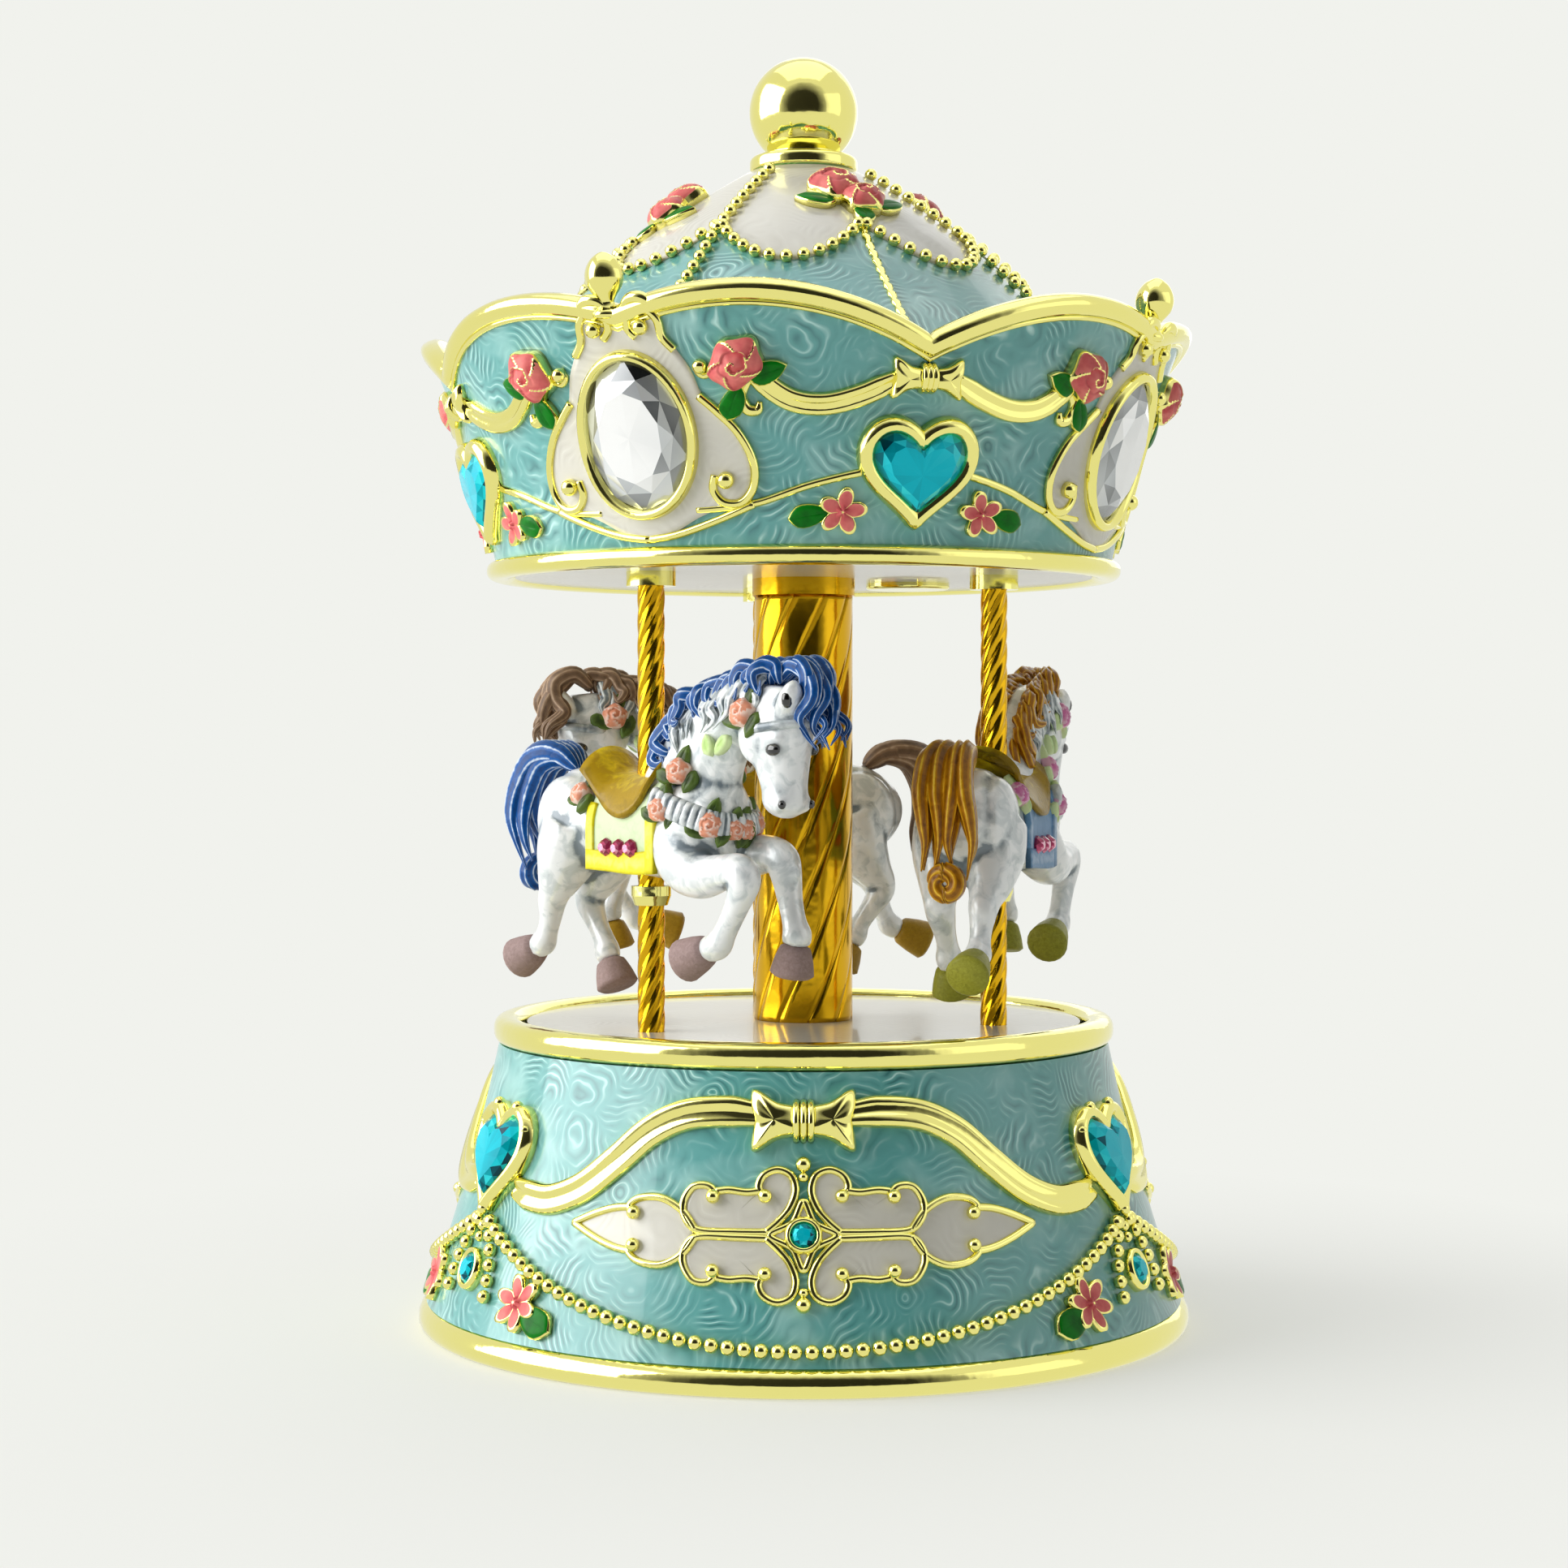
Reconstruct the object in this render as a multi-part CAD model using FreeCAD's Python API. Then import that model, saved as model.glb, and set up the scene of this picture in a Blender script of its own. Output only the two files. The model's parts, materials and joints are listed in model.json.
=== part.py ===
import FreeCAD
import Part
import math
import os

# Wind-up carousel music box: a flared enamelled base that holds the musical movement, a turntable
# with a brass column and three leaping horses on poles, and a crown-shaped canopy with a domed roof
# and a ball finial.
# Millimetres, +Z up, origin at the middle of the foot, viewer on the -Y side.
# A bearing is an angle in degrees round the axis, counted from the viewer towards +X.

V = FreeCAD.Vector
ORIGIN = V(0, 0, 0)
UP = V(0, 0, 1)
LEFT = V(0, 1, 0)

# Clearances
SEAT_CLEARANCE = 0.02      # radial, pieces pressed or glued into a seat
RUN_CLEARANCE = 0.05       # radial, shafts in their bearings
TURN_CLEARANCE = 0.3       # along the axis, between a turning piece and its neighbour
SCREW_CLEARANCE = 0.05     # radial, screw shanks in their holes

# Base: foot, wall and top rim
FOOT_RADIUS = 50.0
FOOT_HEIGHT = 3.4
FOOT_WIDTH = 6.0
FOOT_ROUND = 1.5
FOOT_LIP = 1.0             # the foot stands this far outside the wall
BASE_WALL = 1.8
BASE_WALL_HEIGHT = 33.0
BASE_WALL_BOW = -0.6       # the wall's hollow, measured at the middle of its chord
BASE_RIM_RADIUS = 40.3
BASE_RIM_HEIGHT = 3.4
BASE_RIM_WIDTH = 3.6
BASE_RIM_ROUND = 1.5
BASE_RIM_LIP = 0.7         # the rim stands this far outside the wall

# Deck that carries the carousel, and the cover below the movement
DECK_THICKNESS = 1.6
DECK_DROP = 1.2            # the deck's top below the wall's top
LEDGE_EDGE = 1.0           # metal between the deck's screw holes and the ledge's inner edge
LEDGE_THICKNESS = 1.5
BUSH_RADIUS = 4.0
BUSH_FLANGE_RADIUS = 5.5
BUSH_FLANGE = 1.0
BUSH_LENGTH = 3.6
COVER_HEIGHT = 11.0        # the key's recess, from the table to the cover
COVER_THICKNESS = 1.4
BOSS_RADIUS = 2.2
BOSS_LENGTH = 7.0
BOSS_INSET = 1.3           # boss axis inside the wall's inner face, at the boss's upper end
SCREW_RADIUS = 0.9
SCREW_HEAD_RADIUS = 1.6
SCREW_HEAD = 0.8
CASE_SCREW_LENGTH = 5.0
DECK_SCREW_LENGTH = 2.8

# Movement: bedplate, posts and shaft height
BED_THICKNESS = 1.8
BED_BACK = 13.0            # from the axis away from the cylinder
BED_MARGIN = 0.4           # bedplate beyond the governor's bracket
BED_SIDE_COMB = 8.0
BED_SIDE_FAN = 18.0
POST_THICKNESS = 1.5
POST_TOP = 2.6             # metal above the shafts' centres
POST_HALF_WIDTH = 2.5
POST_GAP = 0.4             # between the barrel and the first post
BED_SCREW_PLACES = [(-8.0, -5.0), (-8.0, 14.0), (24.0, 14.0), (32.5, -5.0)]
BRACKET_FOOT = 3.6
BRACKET_FOOT_THICKNESS = 1.2
COMB_SCREW_LENGTH = 4.5
COMB_SCREW_SHARES = (0.22, 0.78)   # places of the comb's screws along the cylinder
COMB_PLATE_MARGIN = 1.0

# Winding arbor, key, spring barrel and mainspring
ARBOR_RADIUS = 2.0
ARBOR_COLLAR_RADIUS = 3.2
ARBOR_COLLAR = 0.45
ARBOR_COLLAR_LIFT = 0.1125 # collar above the bedplate
ARBOR_KEY_END = 5.0        # height of the arbor's lower end
KEY_HUB_RADIUS = 2.9
KEY_GAP = 0.6              # between the key's hub and the cover
KEY_HUB_LENGTH = 7.6
KEY_WING_SPAN = 20.0
KEY_WING_HEIGHT = 7.0
KEY_WING_THICKNESS = 1.8
KEY_WING_BOTTOM = 1.4
BARREL_RADIUS = 11.0
BARREL_HEIGHT = 6.0
BARREL_WALL = 0.8
SPRING_THICKNESS = 0.35
SPRING_PITCH = 1.25
SPRING_TURNS = 5
SPRING_SIDE_GAP = 0.3
SPINDLE_RADIUS = 2.5
SPINDLE_FLANGE_RADIUS = 5.0
SPINDLE_FLANGE = 1.2

# Crown teeth on the barrel and the train that they drive
CROWN_TEETH = 36
CROWN_PITCH_RADIUS = 9.6
CROWN_TOOTH_LENGTH = 2.0
CROWN_TOOTH_HEIGHT = 0.9
CROWN_TOOTH_BASE = 0.5
CROWN_TOOTH_TIP = 0.3
PINION_TEETH = 12
PINION_WIDTH = 1.6
TRAIN_MODULE = 0.4
TRAIN_WHEEL_TEETH = 36
TRAIN_PINION_TEETH = 8
FAN_MODULE = 0.32
FAN_WHEEL_TEETH = 30
FAN_PINION_TEETH = 8
WHEEL_WIDTH = 1.0
WHEEL_GAP = 0.5            # along a shaft, between a wheel and the piece beside it
TOOTH_SHARE = 0.34         # tooth thickness at the pitch circle, as a share of the pitch
ADDENDUM = 0.75            # in modules
DEDENDUM = 1.15            # in modules
TOOTH_ROOT = 1.2           # tooth thickness at its root, in thicknesses at the pitch circle
TOOTH_TIP = 0.6
PINION_TIP_RELIEF = 0.1    # the pinion's tips short of the crown teeth's roots
PINION_ROOT_RELIEF = 0.25

# Music cylinder and comb
CYLINDER_RADIUS = 6.0
CYLINDER_LENGTH = 14.0
CYLINDER_WALL = 0.8
CYLINDER_ARBOR_RADIUS = 1.0
PIN_RADIUS = 0.18
PIN_HEIGHT = 0.4
NOTES = 18
PINS_PER_NOTE = 2
GOLDEN_ANGLE = 137.5       # spreads the pins round the cylinder
COMB_GAP = 0.35            # between the comb's tips and the pins
COMB_TOOTH_LENGTH = 6.8
COMB_TOOTH_THICKNESS = 0.5
COMB_SLOT = 0.2
COMB_BACK_LENGTH = 5.6
COMB_BACK_THICKNESS = 1.2
GOVERNOR_ARBOR_RADIUS = 0.6
FAN_ARBOR_RADIUS = 0.5
FAN_VANE_LENGTH = 9.0
FAN_VANE_REACH = 3.4
FAN_VANE_THICKNESS = 0.4

# Turntable, column, tie rod and poles
TURNTABLE_THICKNESS = 1.8
TURNTABLE_GAP = 0.7        # between the turntable's edge and the rim
TURNTABLE_DROP = 0.8       # the turntable's top below the rim's top
HUB_FLANGE_RADIUS = 8.0
HUB_SPIGOT_RADIUS = 4.4
HUB_SPIGOT_LENGTH = 6.0
COLUMN_RADIUS = 6.4
COLUMN_HEIGHT = 57.4       # turntable to canopy, with its collar
COLUMN_COLLAR_HEIGHT = 2.2
COLUMN_COLLAR_LIP = 0.3
TIE_ROD_RADIUS = 1.5
POLE_RADIUS = 1.7
POLE_CIRCLE = 25.6
POLE_COUNT = 3
POLE_FIRST_BEARING = -48.0
POLE_COLLAR_RADIUS = 3.1
POLE_COLLAR_HEIGHT = 1.8
FERRULE_RADIUS = 2.5
FERRULE_HEIGHT = 2.4
HORSE_LIFT = 18.2          # turntable to the top of the ferrule under a horse

# Canopy: floor, rims and crown wall
CANOPY_FLOOR = 1.4
CANOPY_RIM_RADIUS = 41.1
CANOPY_RIM_HEIGHT = 2.4
CANOPY_RIM_WIDTH = 3.6
CANOPY_RIM_ROUND = 1.0
CANOPY_RIM_DROP = 0.4      # the rim hangs this far below the floor
CANOPY_RIM_LIP = 1.1       # the rim stands this far outside the wall
CROWN_RADIUS = 49.6        # wall's outer radius at the highest crest
CROWN_HEIGHT = 29.6        # rim to the crests of the scalloped edge
CROWN_BOW = -0.8
CROWN_WALL = 1.6
CROWN_VALLEY_DROP = 5.8    # the edge above a heart, below the crests
CROWN_OVAL_DROP = 2.1      # the edge above an oval, below the crests
CROWN_EDGE_HEIGHT = 2.4    # height of the gold band along the edge
CROWN_EDGE_LIP = 0.9       # the band stands this far outside the wall
PLUG_RADIUS = 5.6
PLUG_THICKNESS = 0.8
PLUG_CIRCLE = 18.6
PLUG_BEARING = 131.0

# Dome and finial
DOME_SEAT = 22.1           # rim to the dome's edge, inside the crown
DOME_GAP = 0.2
DOME_LIP = 1.8             # height of the dome's straight edge
DOME_SHOULDER_RADIUS = 24.0
DOME_SHOULDER_RISE = 16.9
DOME_SKIRT_BOW = -0.5
DOME_CAP_BOW = 0.4
DOME_TOP_RADIUS = 7.0
DOME_RISE = 28.5
DOME_WALL = 1.4
FINIAL_COLLAR_HEIGHT = 2.2
FINIAL_COLLAR_ROUND = 0.8
BALL_RADIUS = 7.05
BALL_NECK_RADIUS = 4.6
BALL_NECK_HEIGHT = 1.4
BALL_SINK = 1.2            # the ball's lowest point below its seat, if it were whole

# Ornament on the canopy: four ovals and four hearts, with bows, swags and roses between
CANOPY_FOLD = 4
OVAL_BEARING = -26.7
OVAL_HEIGHT = 12.8         # rim to the oval's centre
OVAL_HALF_WIDTH = 7.6
OVAL_HALF_LENGTH = 10.0
SETTING_WALL = 1.2
SETTING_RELIEF = 1.5
STONE_RELIEF = 2.8
STONE_GIRDLE = 0.9
STONE_TABLE_SHARE = 0.55   # table of a cut stone, as a share of its outline
HEART_SHOULDER = 0.2       # shape of a heart, in shares of its length and width
HEART_NOTCH = 0.28
HEART_LOBE = 0.27
HEART_CHEEK_OUT = 0.31
HEART_CHEEK_DOWN = 0.16
HEART_TIP_WALL = 2.4       # bezel's wall at a heart's ends together, in wall thicknesses
CANOPY_HEART_HEIGHT = 8.3
CANOPY_HEART_WIDTH = 14.6
CANOPY_HEART_LENGTH = 13.2
CANOPY_BOW_HEIGHT = 19.2
CANOPY_BOW_WIDTH = 9.6
CANOPY_BOW_LENGTH = 5.0
BOW_RELIEF = 1.7
BOW_PINCH = 0.18           # shape of a bow, in shares of its width and length
BOW_KNOT_WIDTH = 0.11
BOW_KNOT_LENGTH = 0.25
BOW_KNOT_RELIEF = 1.25
BOW_LOOP_START = 0.05
BOW_LOOP_FULL = 0.75
ROSE_HEIGHT = 20.2
ROSE_OFFSET = 28.0         # degrees either side of a heart
ROSE_RADIUS = 2.9
ROSE_RELIEF = 2.2
ROSE_PETALS = (6, 5)       # outer and inner petals
ROSE_INNER = 0.66          # radius of the inner petals and of the bud, in rose radii
ROSE_BUD = 0.28
ROSE_TIERS = (0.5, 0.8)    # relief of the outer and the inner petals, in rose reliefs
PETAL_SHARE = 0.5          # a petal's radius, in flower radii
SWAG_HALF_WIDTH = 1.1
SWAG_RELIEF = 1.1
SWAG_SAG = 4.4
SWAG_CLEAR = 2.5           # degrees from a swag's end to its rose's middle
SWAG_END_DROP = 1.5        # a swag's end below its rose's middle
SWAG_STEPS = 8
CARTOUCHE_RELIEF = 0.6
CARTOUCHE_TOP = [(4.6, 0.4), (7.2, 1.8)]    # right half of the outline: distance out, drop below the top
CARTOUCHE_SIDE = [(9.4, 8.6), (9.8, 3.0), (9.2, -3.2), (12.6, -5.6), (13.2, -8.4), (10.4, -10.0),
                  (6.0, -10.6), (2.4, -12.6)]
CARTOUCHE_TIP = -13.4      # distances out and heights from the oval's centre
KNOB_HALF_WIDTH = 2.1
KNOB_HEIGHT = 6.2
KNOB_WAIST = 1.05
KNOB_TIP = 0.525
KNOB_SWELL = 2.604         # height of the knob's widest place
DOME_ROSE_RISE = 24.0      # dome's edge to its roses
DOME_BEAD_RADIUS = 0.75
DOME_BEAD_PITCH = 1.35
DOME_SWAG_RISE = 18.8      # dome's edge to the ends of its bead swags
DOME_SWAG_DROP = 4.5
DOME_SWAG_MARGIN = 5.0     # degrees between a swag's end and the string or rose beside it
DOME_STRING_TOP = 27.0     # dome's edge to the upper end of a bead string
DOME_STRING_BOTTOM = 5.0

# Ornament on the base: three scroll plaques with bows, and three hearts between
BASE_FOLD = 3
PLAQUE_HEIGHT = 17.6       # table to the plaque's centre
PLAQUE_LOBE_WIDTH = 13.0
PLAQUE_LOBE_HEIGHT = 7.4
PLAQUE_END_REACH = 26.5
PLAQUE_END_HEIGHT = 7.6
PLAQUE_RELIEF = 0.7
PLAQUE_OVERLAP = 0.96      # places of the four lobes, in half sizes of a lobe
PLAQUE_END_START = 10.4    # inner end of an end lobe, from the middle
ROUND_STONE_RADIUS = 2.1
BASE_BOW_HEIGHT = 31.2
BASE_BOW_WIDTH = 12.6
BASE_BOW_LENGTH = 7.2
BASE_HEART_HEIGHT = 24.6
BASE_HEART_WIDTH = 12.8
BASE_HEART_LENGTH = 13.6
RIBBON_HALF_WIDTH = 1.4
RIBBON_RELIEF = 1.2
RIBBON_END_DROP = 3.6      # ribbon's lower end below the heart's middle
RIBBON_LEVEL = 0.16        # share of the ribbon that runs level at each end
RIBBON_STEPS = 20
BEAD_RADIUS = 0.85
BEAD_PITCH = 1.55
BEAD_WAIST = 0.45          # radius of a string between two beads, in bead radii
BASE_SWAG_LOW = 5.6        # lowest bead's height
BASE_SWAG_MARGIN = 4.0     # degrees from a heart to the end of a bead swag
DROP_HEIGHT = 11.6
DROP_HALF_WIDTH = 2.2
DROP_HALF_LENGTH = 3.0
STRAND_START = 1.6         # degrees from a heart to the top of a bead strand
STRAND_SPREAD = 7.5        # degrees from a heart to the foot of a bead strand
STRAND_LIFT = 2.4          # a strand's foot above the lowest bead
FLOWER_OFFSET = 13.0       # degrees either side of a heart
FLOWER_HEIGHT = 7.4
FLOWER_RADIUS = 2.7
FLOWER_RELIEF = 1.2
FLOWER_PETALS = 5
FLOWER_PETAL_RELIEF = 0.72
FLOWER_MIDDLE = 0.81
RELIEF_ROOT = 4.0          # reach of an ornament's blank behind the surface that trims it
VENEER_ROOT = 14.0         # the same reach for a wide plate that is bent to its surface
PATH_STEPS = 200           # fine steps that measure the length of a bead string's path

# Levels that follow from the sizes above
WALL_TOP = FOOT_HEIGHT + BASE_WALL_HEIGHT
BASE_RIM_TOP = WALL_TOP + BASE_RIM_HEIGHT
DECK_TOP = WALL_TOP - DECK_DROP
DECK_BOTTOM = DECK_TOP - DECK_THICKNESS
TABLE_TOP = BASE_RIM_TOP - TURNTABLE_DROP
TABLE_BOTTOM = TABLE_TOP - TURNTABLE_THICKNESS
HUB_BOTTOM = DECK_TOP + BUSH_FLANGE + TURN_CLEARANCE
COVER_TOP = COVER_HEIGHT + COVER_THICKNESS
BED_TOP = COVER_TOP + BED_THICKNESS
BARREL_BOTTOM = BED_TOP + ARBOR_COLLAR + TURN_CLEARANCE
BARREL_TOP = BARREL_BOTTOM + BARREL_HEIGHT
CANOPY_BOTTOM = TABLE_TOP + COLUMN_HEIGHT
CANOPY_RIM_BOTTOM = CANOPY_BOTTOM - CANOPY_RIM_DROP
CROWN_BOTTOM = CANOPY_RIM_BOTTOM + CANOPY_RIM_HEIGHT
CREST_TOP = CROWN_BOTTOM + CROWN_HEIGHT
DOME_EDGE = CROWN_BOTTOM + DOME_SEAT
DOME_TOP = DOME_EDGE + DOME_RISE
BALL_SEAT = DOME_TOP + FINIAL_COLLAR_HEIGHT
BALL_CENTRE = BALL_SEAT + BALL_RADIUS - BALL_SINK

# Shafts of the movement
CROWN_MODULE = 2 * CROWN_PITCH_RADIUS / CROWN_TEETH
PINION_PITCH_RADIUS = CROWN_MODULE * PINION_TEETH / 2
SHAFT_HEIGHT = BARREL_TOP + CROWN_TOOTH_HEIGHT / 2 + PINION_PITCH_RADIUS
POST_ONE = BARREL_RADIUS + POST_GAP
CYLINDER_START = POST_ONE + POST_THICKNESS + WHEEL_GAP
CYLINDER_END = CYLINDER_START + CYLINDER_LENGTH
TRAIN_WHEEL_START = CYLINDER_END + WHEEL_GAP
POST_TWO = TRAIN_WHEEL_START + WHEEL_WIDTH + WHEEL_GAP
FAN_WHEEL_START = POST_TWO + POST_THICKNESS + WHEEL_GAP
POST_THREE = FAN_WHEEL_START + WHEEL_WIDTH + 2 * WHEEL_GAP
GOVERNOR_SIDE = TRAIN_MODULE * (TRAIN_WHEEL_TEETH + TRAIN_PINION_TEETH) / 2
FAN_SIDE = GOVERNOR_SIDE + FAN_MODULE * (FAN_WHEEL_TEETH + FAN_PINION_TEETH) / 2


# Shapes

class ArcWall:
    """Outline of a turned wall: one circular arc between a low and a high (radius, height) point.

    bow is the arc's rise over its chord, positive where the wall swells outwards.
    """

    def __init__(self, low, high, bow):
        self.low = low
        self.high = high
        run = high[0] - low[0]
        rise = high[1] - low[1]
        chord = math.hypot(run, rise)
        outward = (rise / chord, -run / chord)
        middle = ((low[0] + high[0]) / 2, (low[1] + high[1]) / 2)
        self.side = math.copysign(1, bow)
        self.round = (chord ** 2 / 4 + bow ** 2) / (2 * abs(bow))
        shift = bow - self.side * self.round
        self.centre = (middle[0] + shift * outward[0], middle[1] + shift * outward[1])

    def radius(self, height):
        rise = height - self.centre[1]
        return self.centre[0] + self.side * math.sqrt(self.round ** 2 - rise ** 2)

    def slope(self, height):
        """Change of radius with height."""
        rise = height - self.centre[1]
        return -self.side * rise / math.sqrt(self.round ** 2 - rise ** 2)

    def edge(self, low, high, offset=0.0):
        """The arc between two heights as an edge in the XZ plane, moved outwards by offset."""
        heights = (low, (low + high) / 2, high)
        points = [V(self.radius(height) + offset, 0, height) for height in heights]
        return Part.Arc(*points).toShape()


def line(start, end):
    return Part.makeLine(V(start[0], 0, start[1]), V(end[0], 0, end[1]))


def turned(edges, angle=360):
    """Solid turned about the Z axis from a closed outline of (radius, height) edges."""
    face = Part.Face(Part.Wire(Part.__sortEdges__(edges)))
    return face.revolve(ORIGIN, UP, angle)


def turned_points(points):
    """Solid turned about the Z axis from a closed outline of straight runs."""
    closed = list(points) + [points[0]]
    return turned([line(a, b) for a, b in zip(closed, closed[1:])])


def disc(radius, bottom, top, x=0.0, y=0.0):
    return Part.makeCylinder(radius, top - bottom, V(x, y, bottom))


def ring(inner, outer, bottom, top):
    return disc(outer, bottom, top).cut(disc(inner, bottom, top))


def box(low, high):
    size = [b - a for a, b in zip(low, high)]
    return Part.makeBox(size[0], size[1], size[2], V(*low))


def rounded(shape, radius, keep):
    """Round the circular edges that keep(edge) picks."""
    edges = [edge for edge in shape.Edges if isinstance(edge.Curve, Part.Circle) and keep(edge)]
    return shape.makeFillet(radius, edges)


def one_solid(shapes):
    """Fuse shapes to one solid, with faces that run on joined."""
    return shapes[0].multiFuse(shapes[1:]).removeSplitter()


def group(shapes):
    """Separate solids kept together in one node."""
    solids = []
    for shape in shapes:
        solids.extend(shape.Solids)
    return Part.makeCompound(solids)


def outward(bearing):
    angle = math.radians(bearing)
    return V(math.sin(angle), -math.cos(angle), 0)


def rightward(bearing):
    angle = math.radians(bearing)
    return V(math.cos(angle), math.sin(angle), 0)


def turned_to(shape, bearing):
    """Copy of a shape turned about the axis by a bearing."""
    copy = shape.copy()
    copy.rotate(ORIGIN, UP, bearing)
    return copy


def around(shape, count, first=0.0):
    return [turned_to(shape, first + 360 * index / count) for index in range(count)]


def framed(shape, across, up, out, place):
    """Copy of a shape whose X, Y and Z axes become across, up and out at a place."""
    copy = shape.copy()
    copy.Placement = FreeCAD.Placement(FreeCAD.Matrix(
        across.x, up.x, out.x, place.x,
        across.y, up.y, out.y, place.y,
        across.z, up.z, out.z, place.z,
        0, 0, 0, 1))
    return copy


class Surface:
    """Turned outer surface that ornament stands on: its outline and the body that trims blanks."""

    def __init__(self, wall, core):
        self.wall = wall
        self.core = core

    def point(self, bearing, height, lift=0.0):
        foot = outward(bearing) * self.wall.radius(height) + UP * height
        return foot + self.normal(bearing, height) * lift

    def normal(self, bearing, height):
        direction = outward(bearing) - UP * self.wall.slope(height)
        return direction.normalize()

    def stand(self, shape, bearing, height):
        """Place a shape with its XY plane on the surface, and trim away what lies inside it."""
        out = self.normal(bearing, height)
        across = rightward(bearing)
        placed = framed(shape, across, out.cross(across), out, self.point(bearing, height))
        return placed.cut(self.core)

    def skin(self, relief):
        """Even layer over the whole surface."""
        low = self.wall.low[1]
        high = self.wall.high[1]
        edges = [self.wall.edge(low, high), self.wall.edge(low, high, relief)]
        edges += [line((self.wall.radius(z), z), (self.wall.radius(z) + relief, z)) for z in (low, high)]
        return turned(edges)

    def veneer(self, outline, bearing, height, relief):
        """Even plate of a flat outline, bent to the surface."""
        face = outline.copy()
        face.translate(V(0, 0, -VENEER_ROOT))
        prism = face.extrude(V(0, 0, VENEER_ROOT + RELIEF_ROOT))
        out = self.normal(bearing, height)
        across = rightward(bearing)
        placed = framed(prism, across, out.cross(across), out, self.point(bearing, height))
        return placed.common(self.skin(relief))


def blank(outline, relief):
    """Plate of a flat outline, from behind the surface to its relief."""
    face = outline.copy()
    face.translate(V(0, 0, -RELIEF_ROOT))
    return face.extrude(V(0, 0, RELIEF_ROOT + relief))


def ellipse_face(half_x, half_y, x=0.0, y=0.0):
    if half_x >= half_y:
        edge = Part.Ellipse(V(x, y, 0), half_x, half_y).toShape()
    else:
        edge = Part.Ellipse(V(x, y + half_y, 0), V(x + half_x, y, 0), V(x, y, 0)).toShape()
    return Part.Face(Part.Wire([edge]))


def heart_wire(width, length):
    """Heart of four arcs, with its point down and its centre at the origin."""
    top = length / 2
    notch = V(0, length * HEART_NOTCH, 0)
    tip = V(0, -length / 2, 0)
    edges = []
    for side in (-1, 1):
        flank = V(side * width / 2, length * HEART_SHOULDER, 0)
        crown = V(side * width * HEART_LOBE, top, 0)
        cheek = V(side * width * HEART_CHEEK_OUT, -length * HEART_CHEEK_DOWN, 0)
        edges.append(Part.Arc(notch, crown, flank).toShape())
        edges.append(Part.Arc(flank, cheek, tip).toShape())
    return Part.Wire(Part.__sortEdges__(edges))


def petal_face(radius, petals):
    """Flower of round petals about a round middle."""
    petal = PETAL_SHARE * radius
    discs = [Part.Face(Part.Wire([Part.makeCircle(petal)]))]
    for index in range(petals):
        angle = 2 * math.pi * index / petals
        centre = V((radius - petal) * math.cos(angle), (radius - petal) * math.sin(angle), 0)
        discs.append(Part.Face(Part.Wire([Part.makeCircle(petal, centre)])))
    return discs[0].multiFuse(discs[1:]).removeSplitter()


def cut_stone(outline, girdle, height):
    """Stone of a flat outline: a straight girdle, then sides that slope in to a smaller table."""
    wire = outline.copy()
    low = wire.copy()
    low.translate(V(0, 0, -RELIEF_ROOT))
    middle = wire.copy()
    middle.translate(V(0, 0, girdle))
    table = wire.copy()
    table.scale(STONE_TABLE_SHARE)
    table.translate(V(0, 0, height))
    lower = Part.makeLoft([low, middle], True, True)
    upper = Part.makeLoft([middle, table], True, True)
    return lower.fuse(upper)


def section(place, along, side, half_side, half_up):
    """Ellipse about a place, square to along, with one axis towards side."""
    across = (side - along * side.dot(along)).normalize()
    other = along.cross(across)
    across = across * half_side
    other = other * half_up
    matrix = FreeCAD.Matrix(
        across.x, other.x, along.x, place.x,
        across.y, other.y, along.y, place.y,
        across.z, other.z, along.z, place.z,
        0, 0, 0, 1)
    return Part.Wire([Part.makeCircle(1.0).transformGeometry(matrix)])


def limb(stations):
    """Body through elliptical sections at stations of (point, side direction, half side, half height)."""
    places = [station[0] for station in stations]
    wires = []
    for index, (place, side, half_side, half_up) in enumerate(stations):
        before = places[max(index - 1, 0)]
        after = places[min(index + 1, len(places) - 1)]
        into = (place - before) if index else (after - place)
        out = (after - place) if index < len(places) - 1 else (place - before)
        along = (into.normalize() + out.normalize()).normalize()
        wires.append(section(place, along, side, half_side, half_up))
    return Part.makeLoft(wires, True, True)


def bead_string(places, radius):
    """Beads cast in one string that narrows to a waist between them."""
    stations = []
    for place, after in zip(places, places[1:]):
        out = V(place.x, place.y, 0).normalize()
        stations.append((place, out, radius, radius))
        stations.append(((place + after) / 2, out, BEAD_WAIST * radius, BEAD_WAIST * radius))
    stations.append((places[-1], out, radius, radius))
    ends = ((places[0] * 2 - places[1], 0), (places[-1] * 2 - places[-2], len(stations)))
    for beyond, index in reversed(ends):
        place = (beyond + stations[min(index, len(stations) - 1)][0]) / 2
        stations.insert(index, (place, out, BEAD_WAIST * radius, BEAD_WAIST * radius))
    return limb(stations)


def spaced(path, pitch):
    """Points at an even pitch along path(share), where share runs from 0 to 1."""
    fine = [path(step / PATH_STEPS) for step in range(PATH_STEPS + 1)]
    length = sum((b - a).Length for a, b in zip(fine, fine[1:]))
    step = length / max(2, round(length / pitch))
    places = [fine[0]]
    travelled = 0.0
    for a, b in zip(fine, fine[1:]):
        run = (b - a).Length
        while travelled + run >= step * len(places) - 1e-9:
            places.append(a + (b - a) * ((step * len(places) - travelled) / run))
        travelled += run
    return places


def screw_hole(bottom, top, x, y):
    return disc(SCREW_RADIUS + SCREW_CLEARANCE, bottom, top, x, y)


def save(name, shape):
    shape.exportStep(os.path.join("parts", name + ".step"))


# Base

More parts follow.
